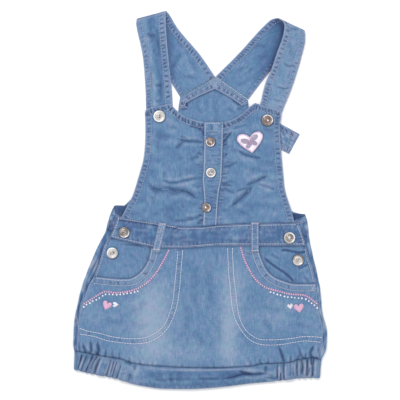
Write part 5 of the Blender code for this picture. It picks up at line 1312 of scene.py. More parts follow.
# Hip pieces, over whose lower part the skirt front lies.
for sheet, edge_table, way, pocket, waist_start in (
    (hip_left, EDGE_LEFT, -1, pocket_l, -102.0), (hip_right, EDGE_RIGHT, 1, pocket_r, 118.0),
):
    side_curve = closer(along_edge(edge_table, -150.0, -39.5 if way < 0 else -48.5))
    sheet.turned(side_curve, pale=0.85)
    sheet.groove(offset_curve(side_curve, 2.0 * way), 0.18, darkening=0.2)
    sheet.pucker(side_curve, 5.0, way, period=5.4, amp=0.14, lean=0.3, darkening=0.25, shine=0.1, start=0.8, even_force=0.1)
    sheet.shade(waist_low, 1.9, darkening=0.75)
    sheet.fade -= 0.03 if way < 0 else 0.08
    sheet.shade(pocket, 1.9, -way, darkening=0.6)
for numbers, depth, half, darkening in (
    ((262.6, 256.2, 269, 262, 276.5, 267.6, 283.5, 272, 289.5, 277, 294.2, 282.4), 0.7, 0.95, 1.2),
    ((279.5, 250.6, 286, 250.2, 293, 251.6, 299.5, 252.8, 306.4, 251.4), 0.7, 0.95, 1.2),
    ((308.2, 264, 303.5, 266.8, 298, 268.8), 0.55, 1.1, 0.7), ((271, 253, 274, 256, 280, 258.6), 0.3, 1.2, 0.35),
    ((307, 255, 308.6, 257, 309.6, 260), 0.35, 0.9, 0.5), ((303, 276, 306.6, 279, 308.6, 283), 0.25, 1.1, 0.3),
):
    hip_right.fold(run(*numbers), 1.15 * depth, 0.95 * half, darkening=0.85 * darkening, light=0.3, ends=(0.14, 0.08))
for numbers, depth, half, darkening in (
    ((115.4, 243.8, 126, 244.6, 138.6, 245.8, 145, 248.5, 150, 252), 0.6, 1.1, 0.9), ((104, 256, 107, 259, 108.5, 264), 0.25, 1.3, 0.2),
    ((120, 262, 127, 266, 134, 266), 0.22, 1.8, 0.15), ((128, 253, 134, 257, 138, 263), 0.22, 1.8, 0.15),
):
    hip_left.crease(run(*numbers), depth, half, darkening=darkening, pale=0.25)

# Back waistband and skirt back, with their laps at the sides.
back_top_curve = closer(across_seam(BACK_TOP, -96.0, 118.0))
back_waistband.turned(back_top_curve, pale=0.5)
for side_numbers in ((110.2, 212, 113, 211.4, 120.6, 216.8, 126, 219), (291, 222, 300, 221.5, 307, 218)):
    curve = run(*side_numbers)
    back_waistband.turned(curve, pale=0.75, drop=0.2)
    back_waistband.groove(offset_curve(curve, -2.0), 0.15)
for sheet, table in ((back_waistband, BACK_WAIST), (skirt_back, BACK_WAIST), (skirt_back, HEM_SEAM), (hem_band_back, HEM_SEAM)):
    sheet.shade(closer(across_seam(table, -141.0, 140.0)), 1.3, darkening=0.6, drop=0.2)
for fold_table, way in ((FOLD_LEFT, -1), (FOLD_RIGHT, 1)):
    fold_curve = closer(along_edge(fold_table, -198.0, -6.0))
    for sheet in (back_waistband, skirt_back, hem_band_back):
        sheet.wear += 0.35 * (1 - step(near(fold_curve, sheet.p, sheet.q, 2.5)[0], 0.2, 1.4))
for x, top, low, depth in (
    (-84, -45, -62, 0.5), (-69, -42, -58, 0.4), (-52, -44, -70, 0.5), (-38, -42, -55, 0.4), (-21, -43, -66, 0.5),
    (-6, -42, -57, 0.4), (12, -43, -73, 0.5), (27, -42, -56, 0.4), (43, -44, -64, 0.5), (60, -43, -59, 0.4),
    (78, -44, -70, 0.5), (96, -45, -60, 0.4),
):
    skirt_back.crease(np.array(closer(line((x, top), (x + 0.03 * (top - low), low)))), depth, 1.8, darkening=0.35, blunt=0.8)
for x, at_hem, depth, up_run in (
    (-130, -134, 0.9, 20), (-122, -127, 1.0, 26), (-114, -119, 1.1, 22), (-104, -108, 0.8, 17), (-95, -98, 0.8, 20),
    (-84, -86, 0.6, 14), (-70, -71, 0.5, 12), (-52, -52, 0.5, 15), (-33, -33, 0.4, 12), (-12, -12, 0.5, 16),
    (9, 9, 0.4, 12), (30, 30, 0.5, 15), (52, 52, 0.5, 12), (68, 68, 0.6, 16), (82, 82, 0.8, 15), (92, 92, 0.8, 19),
    (104, 104, 0.9, 16), (113, 112, 1.0, 22), (122, 121, 0.9, 18), (129, 128, 0.8, 15),
):
    seam_y = float(column(HEM_SEAM, 0, 1, x))
    low_y = float(column(HEM_EDGE, 0, 1, at_hem))
    skirt_back.crease(closer(line((x, seam_y + 0.5), (x + 1.0, seam_y + up_run))), depth, 1.7, darkening=0.5, blunt=0.85)
    hem_band_back.crease(closer(line((x, seam_y - 0.5), (at_hem, low_y + 1.0))), depth, 1.4, ridge=0.6, darkening=0.7, pale=0.4, blunt=0.95)
for numbers, depth, half in (
    ((97, 256, 95.6, 262, 91, 271), 0.3, 1.0), ((310, 258, 313, 268, 316, 279), 0.35, 1.2),
    ((311.5, 244, 312.8, 250, 313, 257), 0.3, 1.0), ((80.5, 300, 78, 309, 77, 318), 0.35, 1.1),
    ((319, 296, 321, 304, 322, 311), 0.3, 1.1),
):
    skirt_back.crease(run(*numbers), depth, half, darkening=0.4)

for sheet in (back_waistband, skirt_back):
    sheet.fade -= 0.16
    for edge_table in (EDGE_LEFT, EDGE_RIGHT):
        # Painted shade on the laps beside the front's raised side edges, stronger on the left.
        front_edge = closer(along_edge(edge_table, -100.0, -20.0))
        d = near(front_edge, sheet.p, sheet.q, 6)[0]
        sheet.dye += (0.5 if edge_table is EDGE_LEFT else 0.12) * np.exp(-((d / 1.5) ** 2)) * (sheet.grid[..., 2] > 1.0)
        d = near(closer(along_edge(edge_table, -190.0, -20.0)), sheet.p, sheet.q, 14)[0]
        sheet.fade += (1 - step(d, 8, 13.5)) * (0.5 * noise(sheet.p / 1.7, sheet.q / 5.0, 31) + 0.3 * noise(sheet.p / 3.4, sheet.q / 9.0, 32))
for sheet, numbers, depth, half, darkening in (
    (skirt_back, (110, 238, 104.6, 250, 98.6, 265, 91.4, 280, 85, 294), 0.55, 1.6, 0.5), (skirt_back, (103, 246, 98.6, 256, 94.6, 265, 90, 273), 0.4, 1.2, 0.5),
    (skirt_back, (96, 262, 90.6, 272, 86.6, 281, 82, 292), 0.4, 1.2, 0.35), (skirt_back, (83.4, 292, 79.6, 306, 77, 320, 75.6, 336, 75.4, 350), 0.45, 1.2, 0.5),
    (skirt_back, (105.6, 252, 101.4, 262, 97, 271), 0.3, 0.9, 0.5), (skirt_back, (88, 282, 83.4, 293, 80, 303), 0.3, 0.9, 0.45),
    (skirt_back, (309, 250, 312.6, 262, 316, 275, 319, 288), 0.4, 1.2, 0.22), (skirt_back, (320, 300, 322.6, 316, 323, 332), 0.4, 1.2, 0.25),
    (back_waistband, (107, 219, 105.6, 226, 105, 234), 0.4, 1.1, 0.6), (back_waistband, (111.4, 219, 109, 226.6, 108, 235), 0.5, 1.2, 0.75),
    (back_waistband, (114.6, 216.6, 112.4, 222.6, 111.6, 229), 0.3, 0.9, 0.6), (back_waistband, (308, 219, 310, 228, 311.6, 238), 0.4, 1.3, 0.4),
):
    sheet.fold(run(*numbers), depth, half, darkening=darkening, light=0.3, ends=(0.15, 0.15))
skirt_back.soft_patches(((325, 325, 6, 48, 0.34), (315, 262, 6, 26, 0.16)))
# Painted shade inside the back waistband, where its lower layer shows at the two corners.
inside = back_waistband.grid[..., 2] < 1.2
for x, y in ((-86.0, -13.0), (108.0, -18.5)):
    back_waistband.dye += 0.9 * inside * np.exp(-(((back_waistband.p - x) / 16) ** 2) - ((back_waistband.q - y) / 13) ** 2)
for numbers, depth, half, darkening in (
    ((106.4, 229, 108.6, 233, 111.6, 236.6), 0.3, 0.8, 0.2), ((108.5, 217, 110, 224, 109.4, 232), 0.3, 1.3, 0.6),
    ((112, 222, 112.6, 227, 111.6, 232), 0.3, 1.0, 0.5), ((303.6, 222, 305.6, 229, 307, 237), 0.3, 1.1, 0.4),
    ((306.6, 237.6, 308, 240, 309.4, 243), 0.3, 0.9, 0.5),
):
    back_waistband.crease(run(*numbers), depth, half, darkening=darkening, pale=0.3)
back_waistband.wear += 0.7 * np.exp(-((near(run(106.6, 230.4, 109, 234, 111, 237.4), back_waistband.p, back_waistband.q, 4)[0] / 0.7) ** 2)) * ~inside
for a, b, depth, _ in PLEATS:
    draw = 0.95 * np.exp(-(((hem_band_front.grid[..., 0] - b) / 1.7) ** 2)) * (1 - hem_v) ** 3
    hem_band_front.grid[..., 1] += draw


# ------------------------------------------------------------------ materials
def shader_of(name):
    material = bpy.data.materials.new(name)
    material.use_nodes = True
    nodes, links = material.node_tree.nodes, material.node_tree.links
    return material, nodes, links, nodes["Principled BSDF"]


def put(nodes, kind, **values):
    node = nodes.new(kind)
    for key, value in values.items():
        if hasattr(node, key):
            setattr(node, key, value)
    return node


def noise_node(nodes, links, vector, stretch, scale, detail=2.0, rough=0.5):
    mapping = nodes.new("ShaderNodeMapping")
    mapping.inputs["Scale"].default_value = stretch
    links.new(vector, mapping.inputs["Vector"])
    node = nodes.new("ShaderNodeTexNoise")
    node.inputs["Scale"].default_value = scale
    node.inputs["Detail"].default_value = detail
    node.inputs["Roughness"].default_value = rough
    links.new(mapping.outputs["Vector"], node.inputs["Vector"])
    return node.outputs["Fac"]


def maths(nodes, links, operation, a, b=None, clamp=False):
    node = nodes.new("ShaderNodeMath")
    node.operation = operation
    node.use_clamp = clamp
    for socket, value in zip(node.inputs, (a, b)):
        if value is None:
            continue
        if isinstance(value, (int, float)):
            socket.default_value = value
        else:
            links.new(value, socket)
    return node.outputs[0]


def centred(nodes, links, fac, amount):
    """A noise's value as a change of up to about half the amount each way."""
    return maths(nodes, links, "MULTIPLY", maths(nodes, links, "SUBTRACT", fac, 0.5), amount)


def mixed(nodes, links, fac, a, b, blend="MIX"):
    node = nodes.new("ShaderNodeMix")
    node.data_type, node.blend_type = "RGBA", blend
    colours = [socket for socket in node.inputs if socket.type == "RGBA"]
    for socket, value in ((node.inputs["Factor"], fac), (colours[0], a), (colours[1], b)):
        if isinstance(value, tuple):
            socket.default_value = (*value, 1.0)
        elif isinstance(value, (int, float)):
            socket.default_value = value
        else:
            links.new(value, socket)
    return [socket for socket in node.outputs if socket.type == "RGBA"][0]


def denim(name, deep, middle, light, pale, dark, slub=1.0):
    """Washed indigo denim: twill, uneven yarns, pale rubbed edges with painted highlights, and dark folds that keep
    indigo and carry painted shade.
    """
    material, nodes, links, shader = shader_of(name)
    attribute = {}
    for key in ("grain", "wear", "dye", "fade"):
        node = nodes.new("ShaderNodeAttribute")
        node.attribute_type = "GEOMETRY"
        node.attribute_name = key
        attribute[key] = node.outputs["Vector" if key == "grain" else "Fac"]
    grain = attribute["grain"]
    yarn = noise_node(nodes, links, grain, (1.0, 0.12, 1.0), 1250.0, 2.0, 0.6)
    slubs = noise_node(nodes, links, grain, (1.0, 0.2, 1.0), 520.0, 3.0, 0.6)
    weft = noise_node(nodes, links, grain, (0.16, 1.0, 1.0), 1000.0, 1.0, 0.5)
    mottle = noise_node(nodes, links, grain, (1.0, 0.85, 1.0), 190.0, 4.0, 0.62)
    cloud = noise_node(nodes, links, grain, (1.0, 0.7, 1.0), 42.0, 3.0, 0.5)
    speck = noise_node(nodes, links, grain, (1.0, 1.0, 1.0), 1700.0, 2.0, 0.7)
    hue = noise_node(nodes, links, grain, (1.0, 0.8, 1.0), 120.0, 2.0, 0.5)
    twill = nodes.new("ShaderNodeTexWave")
    twill.wave_type, twill.bands_direction, twill.wave_profile = "BANDS", "DIAGONAL", "SIN"
    twill.inputs["Scale"].default_value = 520.0
    twill.inputs["Distortion"].default_value = 1.2
    twill.inputs["Detail"].default_value = 1.0
    twill.inputs["Detail Scale"].default_value = 0.6
    links.new(grain, twill.inputs["Vector"])
    rib = twill.outputs["Fac"]
    tone = maths(nodes, links, "ADD", 0.5, attribute["fade"])
    for source, amount in (
        (yarn, 0.50 * slub), (slubs, 0.42 * slub), (weft, 0.22), (mottle, 0.52), (cloud, 0.42), (speck, 0.56), (rib, 0.12),
    ):
        tone = maths(nodes, links, "ADD", tone, centred(nodes, links, source, amount))
    ramp = nodes.new("ShaderNodeValToRGB")
    ramp.color_ramp.elements[0].position, ramp.color_ramp.elements[1].position = 0.12, 0.92
    ramp.color_ramp.elements[0].color = (*deep, 1.0)
    ramp.color_ramp.elements[1].color = (*light, 1.0)
    between = ramp.color_ramp.elements.new(0.5)
    between.color = (*middle, 1.0)
    links.new(tone, ramp.inputs["Fac"])
    colour = ramp.outputs["Color"]
    tint = nodes.new("ShaderNodeValToRGB")
    tint.color_ramp.elements[0].position, tint.color_ramp.elements[1].position = 0.34, 0.66
    tint.color_ramp.elements[0].color = (0.925, 1.007, 0.945, 1.0)
    tint.color_ramp.elements[1].color = (1.07, 0.962, 0.98, 1.0)
    links.new(hue, tint.inputs["Fac"])
    colour = mixed(nodes, links, 1.0, colour, tint.outputs["Color"], "MULTIPLY")
    # Pale marks: rubbed abrasion and painted highlight together.
    rubbed = maths(nodes, links, "ADD", attribute["wear"], centred(nodes, links, speck, 0.5))
    rubbed = maths(nodes, links, "MULTIPLY", rubbed, maths(nodes, links, "GREATER_THAN", attribute["wear"], 0.02), True)
    rubbed = maths(nodes, links, "MULTIPLY", rubbed, 0.92, True)
    colour = mixed(nodes, links, rubbed, colour, pale)
    # Dark marks: indigo kept in folds and painted shade together.
    dark_mix = maths(nodes, links, "MULTIPLY", attribute["dye"], maths(nodes, links, "ADD", 0.86, centred(nodes, links, speck, 0.5)), True)
    colour = mixed(nodes, links, dark_mix, colour, dark)
    links.new(colour, shader.inputs["Base Color"])
    rough = maths(nodes, links, "ADD", 0.82, centred(nodes, links, mottle, 0.2), True)
    links.new(rough, shader.inputs["Roughness"])
    shader.inputs["Sheen Weight"].default_value = 0.12
    shader.inputs["Sheen Roughness"].default_value = 0.6
    shader.inputs["Specular IOR Level"].default_value = 0.2
    height = maths(nodes, links, "MULTIPLY", rib, 0.5)
    for source, amount in ((yarn, 0.6), (slubs, 0.7), (speck, 0.8), (weft, 0.3)):
        height = maths(nodes, links, "ADD", height, maths(nodes, links, "MULTIPLY", source, amount))
    bump = nodes.new("ShaderNodeBump")
    bump.inputs["Strength"].default_value = 0.7
    bump.inputs["Distance"].default_value = 0.00028
    links.new(height, bump.inputs["Height"])
    links.new(bump.outputs["Normal"], shader.inputs["Normal"])
    return material


def threadlike(name, colour, shadow, rough=0.6, sheen=0.3, scale=1400.0, gloss=0.3):
    """Twisted sewing thread: fine slanting plies, a little darker between them."""
    material, nodes, links, shader = shader_of(name)
    place = nodes.new("ShaderNodeTexCoord").outputs["Object"]
    plies = nodes.new("ShaderNodeTexWave")
    plies.wave_type, plies.bands_direction = "BANDS", "DIAGONAL"
    plies.inputs["Scale"].default_value = scale
    plies.inputs["Distortion"].default_value = 0.8
    links.new(place, plies.inputs["Vector"])
    patchy = noise_node(nodes, links, place, (1.0, 1.0, 1.0), 300.0, 2.0)
    fac = maths(nodes, links, "ADD", maths(nodes, links, "MULTIPLY", plies.outputs["Fac"], 0.45), maths(nodes, links, "MULTIPLY", patchy, 0.7), True)
    links.new(mixed(nodes, links, fac, shadow, colour), shader.inputs["Base Color"])
    links.new(maths(nodes, links, "ADD", rough, centred(nodes, links, patchy, 0.25), True), shader.inputs["Roughness"])
    shader.inputs["Sheen Weight"].default_value = sheen
    shader.inputs["Specular IOR Level"].default_value = gloss
    bump = nodes.new("ShaderNodeBump")
    bump.inputs["Strength"].default_value = 0.6
    bump.inputs["Distance"].default_value = 0.00012
    links.new(plies.outputs["Fac"], bump.inputs["Height"])
    links.new(bump.outputs["Normal"], shader.inputs["Normal"])
    return material


def satin_cloth(name, colour, shadow):
    """Satin: long floating yarns, smooth one way and fine-ribbed across."""
    material, nodes, links, shader = shader_of(name)
    place = nodes.new("ShaderNodeTexCoord").outputs["Object"]
    yarns = noise_node(nodes, links, place, (1.0, 0.08, 1.0), 1500.0, 2.0)
    glow = noise_node(nodes, links, place, (1.0, 0.7, 1.0), 190.0, 2.0)
    fac = maths(nodes, links, "ADD", maths(nodes, links, "MULTIPLY", yarns, 0.6), maths(nodes, links, "MULTIPLY", glow, 0.6), True)
    links.new(mixed(nodes, links, fac, shadow, colour), shader.inputs["Base Color"])
    links.new(maths(nodes, links, "ADD", 0.36, centred(nodes, links, glow, 0.25), True), shader.inputs["Roughness"])
    shader.inputs["Sheen Weight"].default_value = 0.25
    bump = nodes.new("ShaderNodeBump")
    bump.inputs["Strength"].default_value = 0.4
    bump.inputs["Distance"].default_value = 0.0001
    links.new(yarns, bump.inputs["Height"])
    links.new(bump.outputs["Normal"], shader.inputs["Normal"])
    return material


def old_metal(name, bright, dull, rough, metallic=1.0):
    """Plated metal that has been washed: fine turning marks, dull spots, and one side brightened with a painted
    highlight.
    """
    material, nodes, links, shader = shader_of(name)
    place = nodes.new("ShaderNodeTexCoord").outputs["Object"]
    marks = noise_node(nodes, links, place, (1.0, 1.0, 1.0), 900.0, 3.0, 0.65)
    spots = noise_node(nodes, links, place, (1.0, 1.0, 1.0), 240.0, 3.0, 0.6)
    ramp = nodes.new("ShaderNodeValToRGB")
    ramp.color_ramp.elements[0].position, ramp.color_ramp.elements[1].position = 0.2, 0.8
    ramp.color_ramp.elements[0].color = (*dull, 1.0)
    ramp.color_ramp.elements[1].color = (*bright, 1.0)
    painted_light = nodes.new("ShaderNodeAttribute")
    painted_light.attribute_type, painted_light.attribute_name = "GEOMETRY", "painted_light"
    links.new(maths(nodes, links, "ADD", painted_light.outputs["Fac"], centred(nodes, links, spots, 0.7)), ramp.inputs["Fac"])
    links.new(mixed(nodes, links, maths(nodes, links, "MULTIPLY", marks, 0.35), ramp.outputs["Color"], dull), shader.inputs["Base Color"])
    shader.inputs["Metallic"].default_value = metallic
    links.new(maths(nodes, links, "ADD", rough, centred(nodes, links, marks, 0.3), True), shader.inputs["Roughness"])
    bump = nodes.new("ShaderNodeBump")
    bump.inputs["Strength"].default_value = 0.3
    bump.inputs["Distance"].default_value = 0.00008
    links.new(marks, bump.inputs["Height"])
    links.new(bump.outputs["Normal"], shader.inputs["Normal"])
    return material


DENIM = denim(
    "denim_washed", (0.050, 0.112, 0.245), (0.100, 0.195, 0.345), (0.235, 0.315, 0.44),
    (0.275, 0.295, 0.42), (0.016, 0.034, 0.105),
)
DENIM_BAND = denim(
    "denim_band_washed", (0.046, 0.104, 0.225), (0.092, 0.180, 0.325), (0.225, 0.30, 0.42),
    (0.30, 0.325, 0.44), (0.014, 0.028, 0.090),
)
THREAD = threadlike("thread_pale", (0.62, 0.62, 0.70), (0.40, 0.42, 0.52))
THREAD_BRIGHT = threadlike("thread_light", (0.80, 0.80, 0.88), (0.54, 0.56, 0.68))
THREAD_SOFT = threadlike("thread_washed", (0.46, 0.47, 0.60), (0.28, 0.31, 0.44))
THREAD_PINK = threadlike("thread_pink", (0.58, 0.27, 0.50), (0.27, 0.08, 0.27))
SATIN_PINK = threadlike("satin_pink", (0.75, 0.48, 0.63), (0.60, 0.33, 0.51), rough=0.45, gloss=0.4)
THREAD_WHITE = threadlike("thread_white", (0.88, 0.87, 0.90), (0.62, 0.60, 0.70))
SATIN = satin_cloth("satin_white", (0.86, 0.80, 0.86), (0.50, 0.42, 0.52))
SATIN_RIM = threadlike("satin_rim_pink", (0.76, 0.60, 0.76), (0.52, 0.36, 0.54), rough=0.42, gloss=0.5)
SATIN_MOTIF = threadlike("satin_motif_mauve", (0.45, 0.40, 0.53), (0.29, 0.25, 0.37), rough=0.45, gloss=0.5)
SATIN_OUTLINE = threadlike("satin_outline_plum", (0.36, 0.25, 0.40), (0.24, 0.15, 0.27), rough=0.5, gloss=0.3)
SATIN_BODY = threadlike("satin_body_pink", (0.62, 0.28, 0.46), (0.42, 0.16, 0.32), rough=0.45, gloss=0.4)
# These button metals stand for one plated metal in different light: white where a button is lit, grey and tan where its
# rings and middles lie in shade, mixed per button; the recess material is painted shade for the dark openings in the
# buttons.
METAL_WHITE = old_metal("button_white", (0.88, 0.87, 0.86), (0.52, 0.49, 0.46), 0.30, 0.35)
METAL = old_metal("button_silver", (0.84, 0.81, 0.78), (0.27, 0.23, 0.21), 0.27, 0.75)
METAL_GREY = old_metal("button_grey", (0.66, 0.63, 0.62), (0.36, 0.33, 0.33), 0.34, 0.6)
METAL_TAN = old_metal("button_tan", (0.58, 0.49, 0.45), (0.24, 0.175, 0.16), 0.32, 0.7)
METAL_DARK = old_metal("button_recess_painted_shade", (0.075, 0.06, 0.06), (0.02, 0.016, 0.018), 0.6, 0.0)


# --------------------------------------------------------- pieces from sheets
garment = bpy.data.collections.new("denim_pinafore_dress_looks")
bpy.context.scene.collection.children.link(garment)


def mesh_object(name, verts, faces, material, smooth=True):
    """verts are in millimetres."""
    mesh = bpy.data.meshes.new(name)
    mesh.from_pydata((np.asarray(verts, float) * MM).tolist(), [], np.asarray(faces).tolist() if not isinstance(faces, list) else faces)
    mesh.materials.append(material)
    if smooth:
        mesh.shade_smooth()
    obj = bpy.data.objects.new(name, mesh)
    garment.objects.link(obj)
    return obj


def make_sheet(sheet, material, thickness):
    """A thin shell with the sheet's relief. Its flat cut is what shows of the piece."""
    points = sheet.points()
    low = 0.03 + (thickness / 2 if sheet.spine else thickness)
    points[..., 2] = low + 0.12 * np.logaddexp(0, (points[..., 2] - low) / 0.12)
    rows, columns = points.shape[:2]
    verts = points.reshape(-1, 3)
    faces = quads(rows, columns)
    obj = mesh_object(sheet.name + "_cloth", verts, faces, material)
    for key in ("wear", "dye", "fade"):
        values = getattr(sheet, key).reshape(-1)
        values = values if key == "fade" else np.clip(values, 0, 1)
        attribute = obj.data.attributes.new(key, "FLOAT", "POINT")
        attribute.data.foreach_set("value", values.astype(np.float32))
    attribute = obj.data.attributes.new("grain", "FLOAT_VECTOR", "POINT")
    attribute.data.foreach_set("vector", (sheet.grain * MM).astype(np.float32).reshape(-1))
    wall = obj.modifiers.new("Wall", "SOLIDIFY")
    wall.thickness = thickness * MM
    wall.offset = 0.0 if sheet.spine else -1.0
    wall.use_even_offset = False
    sheet.tree = BVHTree.FromPolygons(verts.tolist(), faces.tolist())
    sheet.lift = thickness / 2 if sheet.spine else 0.0
    sheet.object = obj
    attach(obj, "root")
    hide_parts(sheet.name)
    return obj


def surface(sheets, x, y, from_z=40.0):
    """The top of the cloth at a point, and its slope."""
    best = None
    for sheet in sheets:
        hit, normal, _, _ = sheet.tree.ray_cast(Vector((x, y, from_z)), Vector((0, 0, -1)))
        if hit is not None and (best is None or hit.z + sheet.lift > best[0]):
            best = (hit.z + sheet.lift, normal if normal.z > 0 else -normal)
    return best


def settle(sheet, curve, beside, reach=5.0):
    """Along this edge the cloth comes down to the edge it is sewn to."""
    along = np.concatenate([[0], np.cumsum(np.linalg.norm(np.diff(curve, axis=0), axis=1))])
    at, level = [], []
    for s, (x, y) in zip(along, curve):
        found = [(other.tree.find_nearest(Vector((x, y, 6.5))), other.lift) for other in beside]
        found = [(hit[3], hit[0].z + lift) for hit, lift in found if hit[0] is not None and hit[3] < 5.0]
        if found:
            at.append(s)
            level.append(min(found)[1])
    if not at:
        return
    d, s, _, _ = near(curve, sheet.p, sheet.q, reach)
    gap = sheet.points()[..., 2] - np.interp(s, at, level) - 0.15
    sheet.rise -= (1 - step(d, 0.4, reach)) * np.clip(gap, -1.0, 5.0) * (d < reach)


ALL_SHEETS = (
    back_panel, yoke_band, strap_left, strap_right, back_waistband, skirt_back, hem_band_back, hip_left, hip_right,
    front_waistband, skirt_front, hem_band_front, bib_left, bib_right, placket, loop_left, loop_right,
)
for sheet in ALL_SHEETS:
    thick = {"strap_left": 1.0, "strap_right": 1.0, "back_waistband": 1.1, "front_waistband": 1.1}.get(sheet.name, 0.85)
    band_like = sheet in (hem_band_front, hem_band_back)
    if sheet is skirt_front:
        settle(sheet, side_l, (skirt_back,))
        settle(sheet, side_r, (skirt_back,))
    if sheet is hem_band_front:
        settle(sheet, closer(along_edge(EDGE_LEFT, -192.0, -168.0)), (hem_band_back,))
        settle(sheet, closer(along_edge(EDGE_RIGHT, -200.0, -176.5)), (hem_band_back,))
    if sheet in (hip_left, hip_right):
        settle(sheet, closer(along_edge(EDGE_LEFT if sheet is hip_left else EDGE_RIGHT, -150.0, -45.0)), (skirt_back,), reach=3.0)
    obj = make_sheet(sheet, DENIM_BAND if band_like else DENIM, thick)


# -------------------------------------------------------- stitches and threads
def capsule(count, sides):
    """Rings of a thread between two ends: shares along, radii and angles."""
    t = (1 - np.cos(np.linspace(0, math.pi, count))) / 2
    radii = np.sqrt(np.clip(1 - (2 * t - 1) ** 4, 0.06, 1))
    return t, radii, np.linspace(0, 2 * math.pi, sides + 1)[:-1]


class Threads:
    """Many short threads joined into one mesh."""

    def __init__(self):
        self.verts, self.faces, self.count = [], [], 0

    def add(self, start, end, radius, arch=0.25, sides=6, rings=5, up=(0, 0, 1), flat=0.8):
        start, end, up = np.array(start, float), np.array(end, float), np.array(up, float)
        way = end - start
        length = np.linalg.norm(way)
        if length < 1e-6:
            return
        way /= length
        side = np.cross(up, way)
        side /= np.linalg.norm(side)
        lift = np.cross(way, side)
        t, radii, angles = capsule(rings, sides)
        middle = start + way * (t * length)[:, None] + lift * (arch * np.sin(math.pi * t))[:, None]
        ring = (
            middle[:, None]
            + side * (radius * radii[:, None] * np.cos(angles))[..., None]
            + lift * (flat * radius * radii[:, None] * np.sin(angles))[..., None]
        )
        base = self.count
        self.verts.append(ring.reshape(-1, 3))
        for i in range(rings - 1):
            for j in range(sides):
                a, b = base + i * sides + j, base + i * sides + (j + 1) % sides
                self.faces.append((a, b, b + sides, a + sides))
        self.faces.append(tuple(base + j for j in range(sides))[::-1])
        self.faces.append(tuple(base + (rings - 1) * sides + j for j in range(sides)))
        self.count += rings * sides

    def loop(self, centre, way, up, long, wide, radius, sides=5, around=12):
        """One link of a chain stitch."""
        centre, way, up = (np.array(v, float) for v in (centre, way, up))
        side = np.cross(up, way)
        side /= np.linalg.norm(side)
        base = self.count
        turn = np.linspace(0, 2 * math.pi, around + 1)[:-1]
        small = np.linspace(0, 2 * math.pi, sides + 1)[:-1]
        out = way * (long / 2 * np.cos(turn))[:, None] + side * (wide / 2 * np.sin(turn))[:, None]
        middle = centre + out + up * (0.12 * np.cos(turn))[:, None]
        radial = out / np.linalg.norm(out, axis=1, keepdims=True)
        ring = middle[:, None] + radial[:, None] * (radius * np.cos(small))[None, :, None] + up * (radius * np.sin(small))[None, :, None]
        self.verts.append(ring.reshape(-1, 3))
        for i in range(around):
            for j in range(sides):
                a, b = base + i * sides + j, base + i * sides + (j + 1) % sides
                c, d = base + (i + 1) % around * sides + j, base + (i + 1) % around * sides + (j + 1) % sides
                self.faces.append((a, c, d, b))
        self.count += around * sides

    def knot(self, centre, radius, squash=0.62, sides=8, rings=5):
        base = self.count
        centre = np.array(centre, float)
        angles = np.linspace(0, 2 * math.pi, sides + 1)[:-1]
        polar = np.linspace(0, math.pi, rings + 2)[1:-1]
        points = [centre + [0, 0, radius * squash]]
        for a in polar:
            for b in angles:
                wobble = 1 + 0.08 * math.sin(3 * b + centre[0])
                points.append(centre + [radius * math.sin(a) * math.cos(b) * wobble, radius * math.sin(a) * math.sin(b) * wobble, radius * squash * math.cos(a)])
        points.append(centre - [0, 0, radius * squash])
        self.verts.append(np.array(points))
        for j in range(sides):
            self.faces.append((base, base + 1 + j, base + 1 + (j + 1) % sides))
            for i in range(rings - 1):
                a, b = base + 1 + i * sides + j, base + 1 + i * sides + (j + 1) % sides
                self.faces.append((a, a + sides, b + sides, b))
            last = base + 1 + (rings - 1) * sides
            self.faces.append((last + j, base + 1 + rings * sides, last + (j + 1) % sides))
        self.count += 2 + rings * sides

    def make(self, name, material, node, slot):
        obj = mesh_object(name, np.concatenate(self.verts), self.faces, material)
        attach(obj, "root")
        return obj


def sewn(threads, curve, sheets, length=2.5, gap=0.42, radius=0.33, seed=0, height=0.12, hidden=None):
    """Running stitches along a curve, each a little different, lying in the cloth."""
    d = np.concatenate([[0], np.cumsum(np.linalg.norm(np.diff(curve, axis=0), axis=1))])
    at, number = 0.6, 0
    while at + length < d[-1]:
        this = length * (1 + 0.12 * float(noise(number * 0.9, 0, seed)))
        ends = []
        for s in (at, at + this):
            x, y = float(np.interp(s, d, curve[:, 0])), float(np.interp(s, d, curve[:, 1]))
            found = surface(sheets, x, y)
            ends.append(None if found is None else (x, y, found[0] + height, found[1]))
        if ends[0] and ends[1] and not (hidden and hidden(ends[0][0], ends[0][1])) and abs(ends[0][2] - ends[1][2]) < 1.6:
            up = np.array(ends[0][3]) + np.array(ends[1][3])
            threads.add(ends[0][:3], ends[1][:3], radius, arch=0.18, up=up / np.linalg.norm(up))
        at += this + gap * (1 + 0.25 * float(noise(number * 1.7, 5, seed)))
        number += 1


def strap_curve(sheet, front, across_from, way_inwards, distance):
    """A line at a distance from a strap's edge, on its back or front run, as x and y."""
    rows = sheet.rows
    a, b = (rows[:, :2], rows[:, 3:5]) if across_from == "left" else (rows[:, 3:5], rows[:, :2])
    top = int(np.argmax(((rows[:, :3] + rows[:, 3:]) / 2)[:, 1]))
    way = b - a
    way /= np.linalg.norm(way, axis=1, keepdims=True)
    curve = a + way * distance
    return closer(curve[top + 2:] if front else curve[: top - 1], 2.0)


FRONT = (skirt_front, hip_left, hip_right, front_waistband)
TWO_BIBS = (bib_left, bib_right)
pale = Threads()
for sheet, start_from, front, inwards in (
    (strap_left, "left", True, 6.1), (strap_left, "right", True, 7.5), (strap_right, "left", True, 6.8), (strap_right, "right", True, 6.3),
    (strap_left, "right", False, 7.5), (strap_right, "left", False, 6.8),
):
    sewn(pale, strap_curve(sheet, front, start_from, 1, inwards), (sheet,), length=2.0, gap=1.0, radius=0.3, seed=len(pale.verts))
for row in (run(297.2, 133.4, 292.4, 142.6, 287.6, 151.4), run(293.2, 131.6, 288.6, 141, 284, 149.6), run(282.4, 146.8, 289.4, 149.6)):
    sewn(pale, row, (strap_right,), length=2.0, gap=0.8, radius=0.3, seed=91)
pale.make("strap_stitches", THREAD_SOFT, None, "denim")

